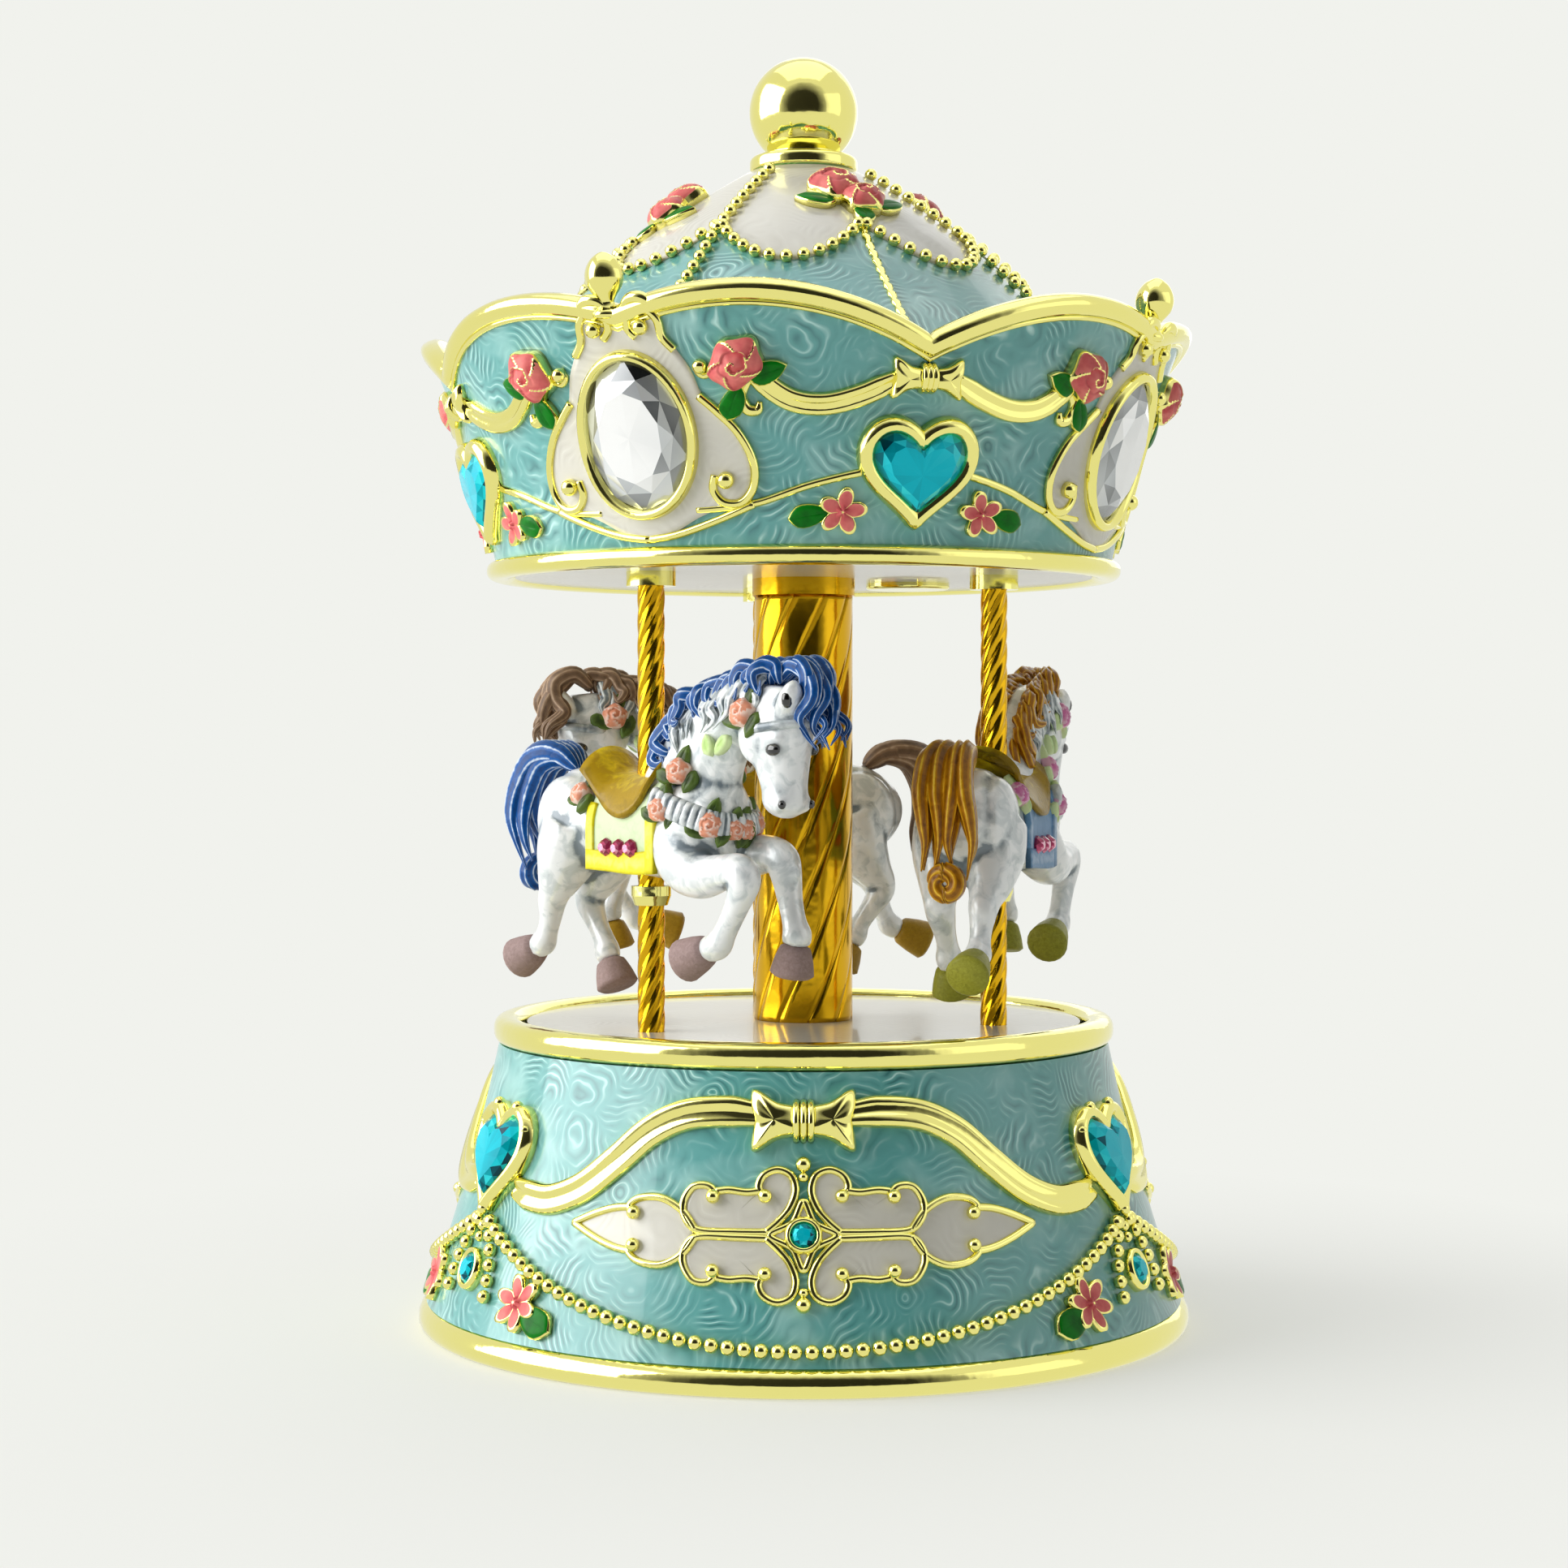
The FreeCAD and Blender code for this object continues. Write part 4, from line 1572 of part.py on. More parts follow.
def main():
    os.makedirs("parts", exist_ok=True)
    garlands = canopy_garlands()
    settings = base_settings()
    edge_band = canopy_top_rim()
    nodes = {
        "base_shell": base_shell(),
        "base_foot_rim": base_foot_rim(),
        "base_top_rim": base_top_rim(),
        "deck_plate": deck_plate(),
        "deck_bush": deck_bush(),
        "bottom_cover": bottom_cover(),
        "case_screws": case_screws(),
        "bedplate": bedplate(),
        "movement_screws": movement_screws(),
        "governor_bracket": governor_bracket(),
        "music_comb": music_comb(),
        "comb_screws": comb_screws(),
        "winding_arbor": winding_arbor(),
        "winding_key": winding_key(),
        "spring_barrel": spring_barrel(),
        "mainspring": mainspring(),
        "drive_spindle": drive_spindle(),
        "pinned_cylinder": pinned_cylinder(),
        "cylinder_arbor": cylinder_arbor(),
        "cylinder_pinion": cylinder_pinion(),
        "cylinder_wheel": cylinder_wheel(),
        "governor_wheel": governor_wheel(),
        "air_brake_fan": air_brake_fan(),
        "turntable": turntable(),
        "turntable_hub": turntable_hub(),
        "center_column": center_column(),
        "column_collar": column_collar(),
        "tie_rod": tie_rod(),
        "pole_collars": pole_collars(),
        "horse_ferrules": horse_ferrules(),
        "canopy_floor": canopy_floor(),
        "canopy_bottom_rim": canopy_bottom_rim(),
        "canopy_plug": canopy_plug(),
        "canopy_wall": canopy_wall(),
        "canopy_top_rim": edge_band,
        "canopy_dome": canopy_dome(),
        "finial_collar": finial_collar(),
        "finial_ball": finial_ball(),
        "oval_settings": group(on_crown(oval_setting(), OVAL_BEARING, OVAL_HEIGHT)),
        "oval_stones": group(on_crown(oval_stone(), OVAL_BEARING, OVAL_HEIGHT)),
        "canopy_heart_settings": group(on_crown(heart_setting(CANOPY_HEART_WIDTH, CANOPY_HEART_LENGTH),
                                                heart_bearing, CANOPY_HEART_HEIGHT)),
        "canopy_heart_stones": group(on_crown(heart_stone(CANOPY_HEART_WIDTH, CANOPY_HEART_LENGTH),
                                              heart_bearing, CANOPY_HEART_HEIGHT)),
        "canopy_garlands": garlands,
        "canopy_roses": canopy_roses(garlands),
        "canopy_cartouches": canopy_cartouches(),
        "crest_knobs": crest_knobs(edge_band),
        "dome_beads": dome_beads(),
        "base_plaques": base_plaques(),
        "base_settings": settings,
        "base_garlands": base_garlands(settings),
        "base_heart_stones": group(on_base(heart_stone(BASE_HEART_WIDTH, BASE_HEART_LENGTH),
                                           heart_span, BASE_HEART_HEIGHT)),
        "base_small_stones": base_small_stones(),
        "base_beads": base_beads(),
        "base_flowers": base_flowers(),
    }
    figure = horse()
    for index, place in enumerate(pole_places):
        nodes["pole_%d" % (index + 1)] = pole(place)
        nodes["horse_%d" % (index + 1)] = set_on_pole(figure, pole_bearings[index])
    for name, shape in nodes.items():
        save(name, shape)


main()
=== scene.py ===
import json
import math

import bpy
import numpy as np
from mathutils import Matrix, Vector


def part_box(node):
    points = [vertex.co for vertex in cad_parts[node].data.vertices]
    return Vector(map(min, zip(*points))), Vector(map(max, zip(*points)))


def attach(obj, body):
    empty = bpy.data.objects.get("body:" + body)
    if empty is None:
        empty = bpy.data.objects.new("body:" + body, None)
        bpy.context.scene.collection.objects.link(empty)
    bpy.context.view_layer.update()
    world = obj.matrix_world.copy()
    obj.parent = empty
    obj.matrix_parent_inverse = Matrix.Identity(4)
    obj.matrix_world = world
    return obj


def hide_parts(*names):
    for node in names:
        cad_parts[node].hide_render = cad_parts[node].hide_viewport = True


bl_info = {
    "name": "Carousel music box",
    "version": (1, 0, 0),
    "blender": (4, 5, 0),
    "location": "3D View > Sidebar > Carousel",
    "description": "Dresses the carousel music box: enamel, plated wire, cut stones, roses and horses",
    "category": "Object",
}

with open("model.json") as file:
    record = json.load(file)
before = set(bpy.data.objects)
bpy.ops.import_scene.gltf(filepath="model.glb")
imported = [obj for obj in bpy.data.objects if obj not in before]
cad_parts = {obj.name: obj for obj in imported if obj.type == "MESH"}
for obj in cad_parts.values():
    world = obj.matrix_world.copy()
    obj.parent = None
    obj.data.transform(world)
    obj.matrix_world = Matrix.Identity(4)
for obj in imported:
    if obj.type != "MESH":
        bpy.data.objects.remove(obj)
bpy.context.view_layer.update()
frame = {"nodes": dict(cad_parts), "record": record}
MM = 0.001


# Measures of the turned walls, in millimetres, as the solids have them

class ArcWall:
    """Outline of a turned wall: a circle's arc between a low and a high (radius, height) point.

    bow is the arc's rise over its chord, positive where the wall swells outwards.
    """

    def __init__(self, low, high, bow):
        run, rise = high[0] - low[0], high[1] - low[1]
        chord = math.hypot(run, rise)
        self.side = math.copysign(1, bow)
        self.round = (chord ** 2 / 4 + bow ** 2) / (2 * abs(bow))
        shift = bow - self.side * self.round
        self.centre = ((low[0] + high[0]) / 2 + shift * rise / chord,
                       (low[1] + high[1]) / 2 - shift * run / chord)

    def _half_chord(self, height):
        return np.sqrt(np.maximum(self.round ** 2 - (height - self.centre[1]) ** 2, 1e-6))

    def radius(self, height):
        return self.centre[0] + self.side * self._half_chord(height)

    def slope(self, height):
        return -self.side * (height - self.centre[1]) / self._half_chord(height)


class Dome:
    """Roof outline: a hollow skirt below the shoulder and a nearly straight cap above it."""

    def __init__(self, skirt, cap, shoulder):
        self.skirt, self.cap, self.shoulder = skirt, cap, shoulder

    def radius(self, height):
        height = np.asarray(height, float)
        return np.where(height > self.shoulder, self.cap.radius(height), self.skirt.radius(height))

    def slope(self, height):
        height = np.asarray(height, float)
        return np.where(height > self.shoulder, self.cap.slope(height), self.skirt.slope(height))


BASE_WALL = ArcWall((49.0, 3.4), (39.6, 36.4), -0.6)
CROWN_WALL = ArcWall((40.0, 98.4), (49.6, 128.0), -0.8)
DOME_EDGE, DOME_TOP = 120.5, 149.0
ROOF = Dome(ArcWall((float(CROWN_WALL.radius(118.7)) - 1.8, DOME_EDGE), (24.0, 137.4), -0.5),
            ArcWall((24.0, 137.4), (7.0, DOME_TOP), 0.4), 137.4)
OVAL_BEARING, OVAL_LEVEL = -26.7, 111.2
HEART_BEARING, CROWN_HEART_LEVEL = 18.3, 106.7
CREST_LEVEL, OVAL_DROP, VALLEY_DROP, SCALLOP_HALF = 128.0, 2.1, 5.8, 49.6 * math.sin(math.radians(22.5))
PLAQUE_LEVEL, BASE_BOW_LEVEL, BASE_HEART_LEVEL = 17.9, 31.2, 23.6
DROP_LEVEL, ROSE_LEVEL = 10.2, 142.8
POLE_BEARINGS, POLE_CIRCLE, FERRULE_TOP = (-48.0, 72.0, 192.0), 25.6, 57.2


# Colours

def linear(code):
    """An sRGB hex value as linear red, green, blue and a full alpha."""
    channels = np.array([int(code[start:start + 2], 16) for start in (1, 3, 5)]) / 255
    light = np.where(channels <= 0.04045, channels / 12.92, ((channels + 0.055) / 1.055) ** 2.4)
    return (*light.tolist(), 1.0)


def colour(name, description, code):
    """A colour of the panel, given as an sRGB code."""
    return bpy.props.FloatVectorProperty(name=name, description=description, subtype="COLOR", size=4,
                                         min=0.0, max=1.0, default=linear(code))


def length(name, description, millimetres):
    """A length of the panel, given in millimetres."""
    return bpy.props.FloatProperty(name=name, description=description, unit="LENGTH", subtype="DISTANCE",
                                   min=0.0, default=millimetres * MM)


class CarouselColours(bpy.types.PropertyGroup):
    """Colours of the finishes."""

    turquoise: colour("Turquoise", "Pearl enamel of base, crown and lower roof", "#64ACAA")
    turquoise_vein: colour("Turquoise vein", "Darker marbling in the enamel", "#38787A")
    turquoise_glint: colour("Turquoise glint", "Lighter marbling in the enamel", "#C4EEEA")
    cream: colour("Cream", "White pearl enamel of the panels, floor and upper roof", "#DBD8CD")
    gold: colour("Gold", "Bright plating of rims, wires and beads", "#F2EA8E")
    column_gold: colour("Column gold", "Deeper plating of column and poles", "#D9A91C")
    rose: colour("Rose", "Painted petals", "#F2867F")
    # Painted shade: the petals' colour where they fold under one another
    rose_fold_shade: colour("Rose shade", "Painted petals in their folds", "#CF4C56")
    leaf: colour("Leaf", "Painted leaves", "#067A14")
    heart: colour("Heart blue", "Foil-backed heart and round stones", "#02C8DC")
    horse: colour("Horse white", "Pearl paint of the horses", "#D9DFE0")
    # Grey of the horses' brush wash, which also serves as the painted shade in their hollows
    horse_wash: colour("Horse wash", "Grey wash in the hollows of the horses", "#76828A")


class CarouselSizes(bpy.types.PropertyGroup):
    """Sizes of the wires, beads and poles."""

    wire: length("Wire", "Radius of the gold wire round the enamel fields", 0.5)
    rib: length("Rib", "Radius of the gold ribs that run from the hearts", 0.5)
    base_bead: length("Base bead", "Radius of the beads on the base", 0.95)
    dome_bead: length("Roof bead", "Radius of the beads on the roof", 0.82)
    bead_pitch: length("Bead pitch", "Distance from bead to bead on the base", 1.95)
    twist: length("Pole twist", "Height in which a pole's ridges go once round", 18.6)


# Forms: arrays of points and faces in millimetres

class Form:
    """A closed surface: points, blocks of faces, its finish, a tone for each point and a share for each
    face."""

    def __init__(self, points, faces, finish, tone=0.0, facet=0.0, smooth=True):
        self.points = np.asarray(points, float)
        self.faces = faces
        self.finish = finish
        self.tone = np.broadcast_to(np.asarray(tone, float), len(self.points))
        self.facet = np.broadcast_to(np.asarray(facet, float), sum(len(block) for block in faces))
        self.smooth = smooth

    def at(self, points, finish=None):
        """The same surface over moved points."""
        return Form(points, self.faces, finish or self.finish, self.tone, self.facet, self.smooth)


def unit(vectors):
    """Vectors divided by their lengths."""
    return vectors / np.linalg.norm(vectors, axis=-1, keepdims=True)


def outward(form):
    """Turns every face round if the volume that the faces enclose comes out negative."""
    fans = [block[:, [0, corner, corner + 1]] for block in form.faces
            for corner in range(1, block.shape[1] - 1)]
    a, b, c = (form.points[np.vstack(fans)[:, corner]] for corner in range(3))
    if np.einsum("ij,ij->", a, np.cross(b, c)) < 0:
        form.faces = [block[:, ::-1] for block in form.faces]
    return form


def skin(grid, finish, ring=False, tone=0.0):
    """Closed surface over a grid of points whose columns close on themselves.

    The rows close on themselves too where ring is true; otherwise each end is drawn to a pole in its
    middle.
    """
    rows, columns = grid.shape[:2]
    points = grid.reshape(-1, 3)
    tones = np.broadcast_to(tone, (rows, columns)).reshape(-1)
    column = np.arange(columns)
    after = (column + 1) % columns
    row, across = np.meshgrid(np.arange(rows if ring else rows - 1), column, indexing="ij")
    below = (row + 1) % rows
    right = (across + 1) % columns
    corners = (row * columns + across, row * columns + right, below * columns + right,
               below * columns + across)
    faces = [np.stack(corners, -1).reshape(-1, 4)]
    if not ring:
        pole = np.full(columns, len(points))
        end = (rows - 1) * columns
        faces.append(np.stack([after, column, pole], -1))
        faces.append(np.stack([end + column, end + after, pole + 1], -1))
        points = np.vstack([points, grid[0].mean(0), grid[-1].mean(0)])
        tones = np.concatenate([tones, [tones[:columns].mean(), tones[-columns:].mean()]])
    return outward(Form(points, faces, finish, tones))


def oval(across, lift, sides=12, power=2.0):
    """Closed profile: cosine and sine of a turn, each raised to 2 / power with its sign kept."""
    turn = 2 * np.pi * np.arange(sides) / sides
    cosine, sine = np.cos(turn), np.sin(turn)
    shape = 2 / power
    return np.stack([across * np.sign(cosine) * np.abs(cosine) ** shape,
                     lift * np.sign(sine) * np.abs(sine) ** shape], -1)


def sweep(path, lean, profile, finish, size=1.0, ring=False, tone=0.0):
    """Profile carried along a path: sideways is the path's direction crossed with lean, lift is square
    to both."""
    if ring:
        along = np.roll(path, -1, 0) - np.roll(path, 1, 0)
    else:
        along = np.gradient(path, axis=0)
    along = unit(along)
    across = unit(np.cross(along, lean))
    lift = np.cross(across, along)
    size = (np.ones((len(path), 2)) * size)[:, None]
    grid = path[:, None] + size[..., :1] * profile[None, :, :1] * across[:, None]
    grid = grid + size[..., 1:] * profile[None, :, 1:] * lift[:, None]
    return skin(grid, finish, ring, tone)


def smooth_line(points, steps=8, closed=False):
    """Line through control points: cubic spans whose slope at a point is half the way between its
    neighbours."""
    points = np.asarray(points, float)
    if closed:
        wide = np.vstack([points[-1:], points, points[:2]])
    else:
        wide = np.vstack([2 * points[0] - points[1], points, 2 * points[-1] - points[-2]])
    a, b, c, d = (wide[first:len(wide) - 3 + first, None] for first in range(4))
    t = np.linspace(0, 1, steps, endpoint=False)[None, :, None]
    line = b + 0.5 * t * (c - a + t * (2 * a - 5 * b + 4 * c - d + t * (3 * (b - c) + d - a)))
    line = line.reshape(-1, points.shape[1])
    return line if closed else np.vstack([line, points[-1:]])


def evenly(path, pitch):
    """Points at an even pitch along a path, by its running length."""
    run = np.concatenate([[0], np.cumsum(np.linalg.norm(np.diff(path, axis=0), axis=1))])
    stops = np.linspace(0, run[-1], max(2, round(run[-1] / pitch)) + 1)
    return np.stack([np.interp(stops, run, path[:, axis]) for axis in range(path.shape[1])], -1)


def ball_form(finish, sides=8, rings=6):
    """Unit ball: a grid of turn round the axis and tilt from it."""
    tilt = np.linspace(0, np.pi, rings + 1)[1:-1, None]
    turn = 2 * np.pi * np.arange(sides)[None] / sides
    grid = np.stack([np.sin(tilt) * np.cos(turn), np.sin(tilt) * np.sin(turn), np.cos(tilt) + 0 * turn], -1)
    form = skin(grid, finish)
    form.points[-2:, 2] = [1, -1]
    return form


def balls(centres, radius, finish, sides=8, rings=6):
    """Balls at every centre, with one size or one size each, as a single form."""
    one = ball_form(finish, sides, rings)
    centres = np.asarray(centres, float)
    radius = np.broadcast_to(np.asarray(radius, float), len(centres))[:, None, None]
    points = centres[:, None] + radius * one.points[None]
    start = (np.arange(len(centres)) * len(one.points))[:, None, None]
    faces = [(block[None] + start).reshape(-1, block.shape[1]) for block in one.faces]
    return Form(points.reshape(-1, 3), faces, finish, 0.5)


def relief(outline, rise, finish, root=0.5, shares=12, tone=None):
    """Raised form over an outline that can be seen whole from its middle.

    Rows are the outline shrunk to shares of itself, lifted by rise(share, turn); a flat back lies root
    below.
    """
    share = np.linspace(1, 0.04, shares)[:, None]
    turn = 2 * np.pi * np.arange(len(outline))[None] / len(outline)
    lift = np.broadcast_to(rise(share, turn), (shares, len(outline)))
    front = np.concatenate([share[..., None] * outline[None], lift[..., None]], -1)
    back = np.stack([np.column_stack([outline * size, np.full(len(outline), -root)]) for size in (0.04, 1)])
    tones = np.zeros((shares + 2, len(outline)))
    if tone is not None:
        tones[2:] = tone(share, turn)
        tones[:2] = tones[2]
    return skin(np.concatenate([back, front]), finish, tone=tones)


def jewel(outline, levels, finish, seed, root=0.5, table=0.8):
    """Cut stone: rings of the outline at (share, lift, turned by half a step) levels, joined by flat
    triangles.

    Each facet has its own share of brightness, a painted reflection in place of the foil's; the table on
    top has a single one.
    """
    count = len(outline)
    between = (outline + np.roll(outline, -1, 0)) / 2
    rings = [np.column_stack([outline, np.full(count, -root)])]
    rings += [np.column_stack([(between if turned else outline) * share, np.full(count, lift)])
              for share, lift, turned in levels]
    points = np.vstack(rings + [[[0, 0, levels[-1][1]]], [[0, 0, -root]]])
    step = np.arange(count)
    after = (step + 1) % count
    turned = [False] + [level[2] for level in levels]
    rng = np.random.default_rng(seed)
    faces, facets = [], []
    for ring in range(len(rings) - 1):
        low, high = ring * count, (ring + 1) * count
        if turned[ring + 1] and not turned[ring]:
            faces += [np.stack([low + step, low + after, high + step], -1),
                      np.stack([low + after, high + after, high + step], -1)]
        else:
            faces += [np.stack([low + step, low + after, high + after], -1),
                      np.stack([low + step, high + after, high + step], -1)]
        # Painted reflection: facets nearer the table may reach brighter shares
        facets += [rng.random(count) * min(1.0, 0.3 + 0.35 * ring) for half in range(2)]
    last = (len(rings) - 1) * count
    faces.append(np.stack([last + step, last + after, np.full(count, len(points) - 2)], -1))
    faces.append(np.stack([after, step, np.full(count, len(points) - 1)], -1))
    facets += [table - 0.15 * rng.random(count), np.zeros(count)]
    return outward(Form(points, faces, finish, 0.0, np.concatenate(facets), smooth=False))


def turned_form(profile, finish, columns=48, lobes=0, depth=0.0):
    """Solid of revolution: (radius, height) points turned round the axis, its radius waved in lobes
    where asked."""
    turn = 2 * np.pi * np.arange(columns)[None] / columns
    radius, height = profile[:, :1], profile[:, 1:]
    swell = 1 + depth * np.cos(lobes * turn) * np.sin(np.pi * np.linspace(0, 1, len(profile)))[:, None]
    grid = np.stack([radius * swell * np.cos(turn), radius * swell * np.sin(turn), height + 0 * turn], -1)
    return skin(grid, finish)


# Placing

def fit(wall, bearing, level, local):
    """Lays (across, up, lift) points on a turned wall: up runs along it, across runs round it, lift is
    square to it."""
    local = np.asarray(local, float)
    height = level + local[:, 1] / math.sqrt(1 + float(wall.slope(level)) ** 2)
    slope = wall.slope(height)
    steep = np.sqrt(1 + slope ** 2)
    angle = math.radians(bearing) + local[:, 0] / wall.radius(height)
    radius = wall.radius(height) + local[:, 2] / steep
    return np.stack([radius * np.sin(angle), -radius * np.cos(angle), height - local[:, 2] * slope / steep],
                    -1)


def lean_of(wall, bearing, level, local):
    """The wall's outward direction at the same points: the difference between two lifts."""
    local = np.asarray(local, float)
    return unit(fit(wall, bearing, level, local + [0, 0, 1]) - fit(wall, bearing, level, local))


def laid(form, wall, bearing, level, shift=(0, 0, 0), spin=0.0, size=1.0):
    """A form turned in its own plane, moved and laid on a wall."""
    angle = math.radians(spin)
    turn = np.array([[math.cos(angle), -math.sin(angle), 0], [math.sin(angle), math.cos(angle), 0],
                     [0, 0, 1]])
    return outward(form.at(fit(wall, bearing, level, size * form.points @ turn.T
                               + np.asarray(shift, float))))


def wire(wall, bearing, level, points, radius, finish="gold_plating", closed=False, taper=False, lift=0.0):
    """Round wire along a smooth line of (across, up) points on a wall; a tapered one thins towards its
    ends."""
    line = smooth_line(points, 8, closed)
    local = np.column_stack([line, np.full(len(line), lift)])
    size = 1.0
    if taper:
        size = np.clip(np.sin(np.pi * np.linspace(0, 1, len(line))), 0.15, 1)[:, None] ** 0.4
    return sweep(fit(wall, bearing, level, local), lean_of(wall, bearing, level, local),
                 oval(radius, radius, 10), finish, size, closed)


def mirrored(points):
    """Points on the other side of the middle."""
    return [(-x, y) for x, y in points]


def spun(form, bearing):
    """A form turned round the carousel's axis."""
    angle = math.radians(bearing)
    turn = np.array([[math.cos(angle), -math.sin(angle), 0], [math.sin(angle), math.cos(angle), 0],
                     [0, 0, 1]])
    return form.at(form.points @ turn.T)


def around(forms, count):
    """Copies of forms at even turns round the carousel's axis."""
    return [spun(form, 360 * index / count) for index in range(count) for form in forms]


def stood(form, place, out, up, size=1.0):
    """A form whose lift points along out and whose own up lies towards up, at a place."""
    out = unit(np.asarray(out, float))
    across = unit(np.cross(up, out))
    basis = np.stack([across, np.cross(out, across), out])
    return form.at(size * form.points @ basis + np.asarray(place, float))


# Finishes

def add(tree, kind, inputs=None, **settings):
    """Adds a node: settings are its own, inputs map a socket to a value or to another node's output."""
    node = tree.nodes.new(kind)
    for key, value in settings.items():
        setattr(node, key, value)
    for key, value in (inputs or {}).items():
        if isinstance(value, bpy.types.NodeSocket):
            tree.links.new(value, node.inputs[key])
        else:
            node.inputs[key].default_value = value
    return node


def started(name, **sockets):
    """New material with its shader's constant sockets set."""
    material = bpy.data.materials.new(name)
    material.use_nodes = True
    shader = material.node_tree.nodes["Principled BSDF"]
    for key, value in sockets.items():
        shader.inputs[key.replace("_", " ")].default_value = value
    return material, material.node_tree, shader


def blended(tree, share, low, high):
    """Colour between two colours by a share."""
    mix = add(tree, "ShaderNodeMix", data_type="RGBA")
    tree.links.new(share, mix.inputs["Factor"])
    for socket, value in (("A", low), ("B", high)):
        entry = [item for item in mix.inputs if item.name == socket and item.type == "RGBA"][0]
        if isinstance(value, bpy.types.NodeSocket):
            tree.links.new(value, entry)
        else:
            entry.default_value = value
    return [item for item in mix.outputs if item.type == "RGBA"][0]


def stretch(tree, value, low, high):
    """Share of the way from low to high, kept between 0 and 1."""
    return add(tree, "ShaderNodeMapRange", {"Value": value, "From Min": low,
                                            "From Max": high}).outputs["Result"]


POOL_SHARE = 0.42          # how far the enamel's pale pools go towards its glint


def pearl_enamel(name, plain, vein, glint, swirl_mm, line_mm):
    """Poured pearl enamel, combed while wet: pale pools, and patches of nested arcs about a point beside
    each."""
    material, tree, shader = started(name, Roughness=0.3, IOR=1.5, Coat_Weight=0.45, Coat_Roughness=0.05)
    place = add(tree, "ShaderNodeTexCoord").outputs["Object"]
    drift = add(tree, "ShaderNodeTexNoise", {"Vector": place, "Scale": 1 / (1.3 * swirl_mm * MM),
                                             "Detail": 2.0})
    reach = 0.9 * swirl_mm * MM
    carry = {0: drift.outputs["Color"], 1: (reach, reach, reach), 2: place}
    carried = add(tree, "ShaderNodeVectorMath", carry, operation="MULTIPLY_ADD").outputs["Vector"]
    cell = add(tree, "ShaderNodeTexVoronoi", {"Vector": carried, "Scale": 1 / (swirl_mm * MM)})
    own = {0: carried, 1: cell.outputs["Position"]}
    local = add(tree, "ShaderNodeVectorMath", own, operation="SUBTRACT").outputs["Vector"]
    side = 1.1 * swirl_mm * MM
    aside = {0: cell.outputs["Color"], 1: (2 * side, 2 * side, 2 * side), 2: (-side, -side, -side)}
    beside = add(tree, "ShaderNodeVectorMath", aside, operation="MULTIPLY_ADD").outputs["Vector"]
    arm = add(tree, "ShaderNodeVectorMath", {0: local, 1: beside}, operation="ADD").outputs["Vector"]
    away = add(tree, "ShaderNodeVectorMath", {0: arm}, operation="LENGTH").outputs["Value"]
    rows = add(tree, "ShaderNodeMath", {0: away, 1: 2 / (line_mm * MM)}, operation="MULTIPLY").outputs[0]
    line = add(tree, "ShaderNodeMath", {0: rows, 1: 1.0}, operation="PINGPONG").outputs[0]
    pool = {0: stretch(tree, drift.outputs["Fac"], 0.48, 0.72), 1: POOL_SHARE}
    pool = add(tree, "ShaderNodeMath", pool, operation="MULTIPLY").outputs[0]
    pooled = blended(tree, pool, plain, glint)
    body = blended(tree, stretch(tree, line, 0.0, 0.6), vein, pooled)
    ground = blended(tree, stretch(tree, line, 0.7, 1.0), body, glint)
    cloud = add(tree, "ShaderNodeTexNoise", {"Vector": place, "Scale": 1 / (2 * swirl_mm * MM),
                                             "Detail": 2.0})
    soft = {"Value": cloud.outputs["Fac"], "From Min": 0.35, "From Max": 0.65, "To Min": 0.2, "To Max": 1.0}
    share = add(tree, "ShaderNodeMapRange", soft).outputs["Result"]
    border = {"Vector": carried, "Scale": 1 / (swirl_mm * MM)}
    border = add(tree, "ShaderNodeTexVoronoi", border, feature="DISTANCE_TO_EDGE").outputs["Distance"]
    inside = {0: share, 1: stretch(tree, border, 0.0, 0.22)}
    share = add(tree, "ShaderNodeMath", inside, operation="MULTIPLY").outputs[0]
    tree.links.new(blended(tree, share, pooled, ground), shader.inputs["Base Color"])
    return material


def plated(name, base, roughness, ripple_mm):
    """Bright plating over a casting: mirror-like, with a slight unevenness from the polished casting
    below."""
    material, tree, shader = started(name, Metallic=1.0, Base_Color=base)
    place = add(tree, "ShaderNodeTexCoord").outputs["Object"]
    ripple = add(tree, "ShaderNodeTexNoise", {"Vector": place, "Scale": 1 / (ripple_mm * MM),
                                              "Detail": 2.0})
    rough = add(tree, "ShaderNodeMapRange", {"Value": ripple.outputs["Fac"], "To Min": roughness * 0.7,
                                             "To Max": roughness * 1.5})
    tree.links.new(rough.outputs["Result"], shader.inputs["Roughness"])
    bump = add(tree, "ShaderNodeBump", {"Height": ripple.outputs["Fac"], "Strength": 0.2,
                                        "Distance": 0.0003})
    tree.links.new(bump.outputs["Normal"], shader.inputs["Normal"])
    return material


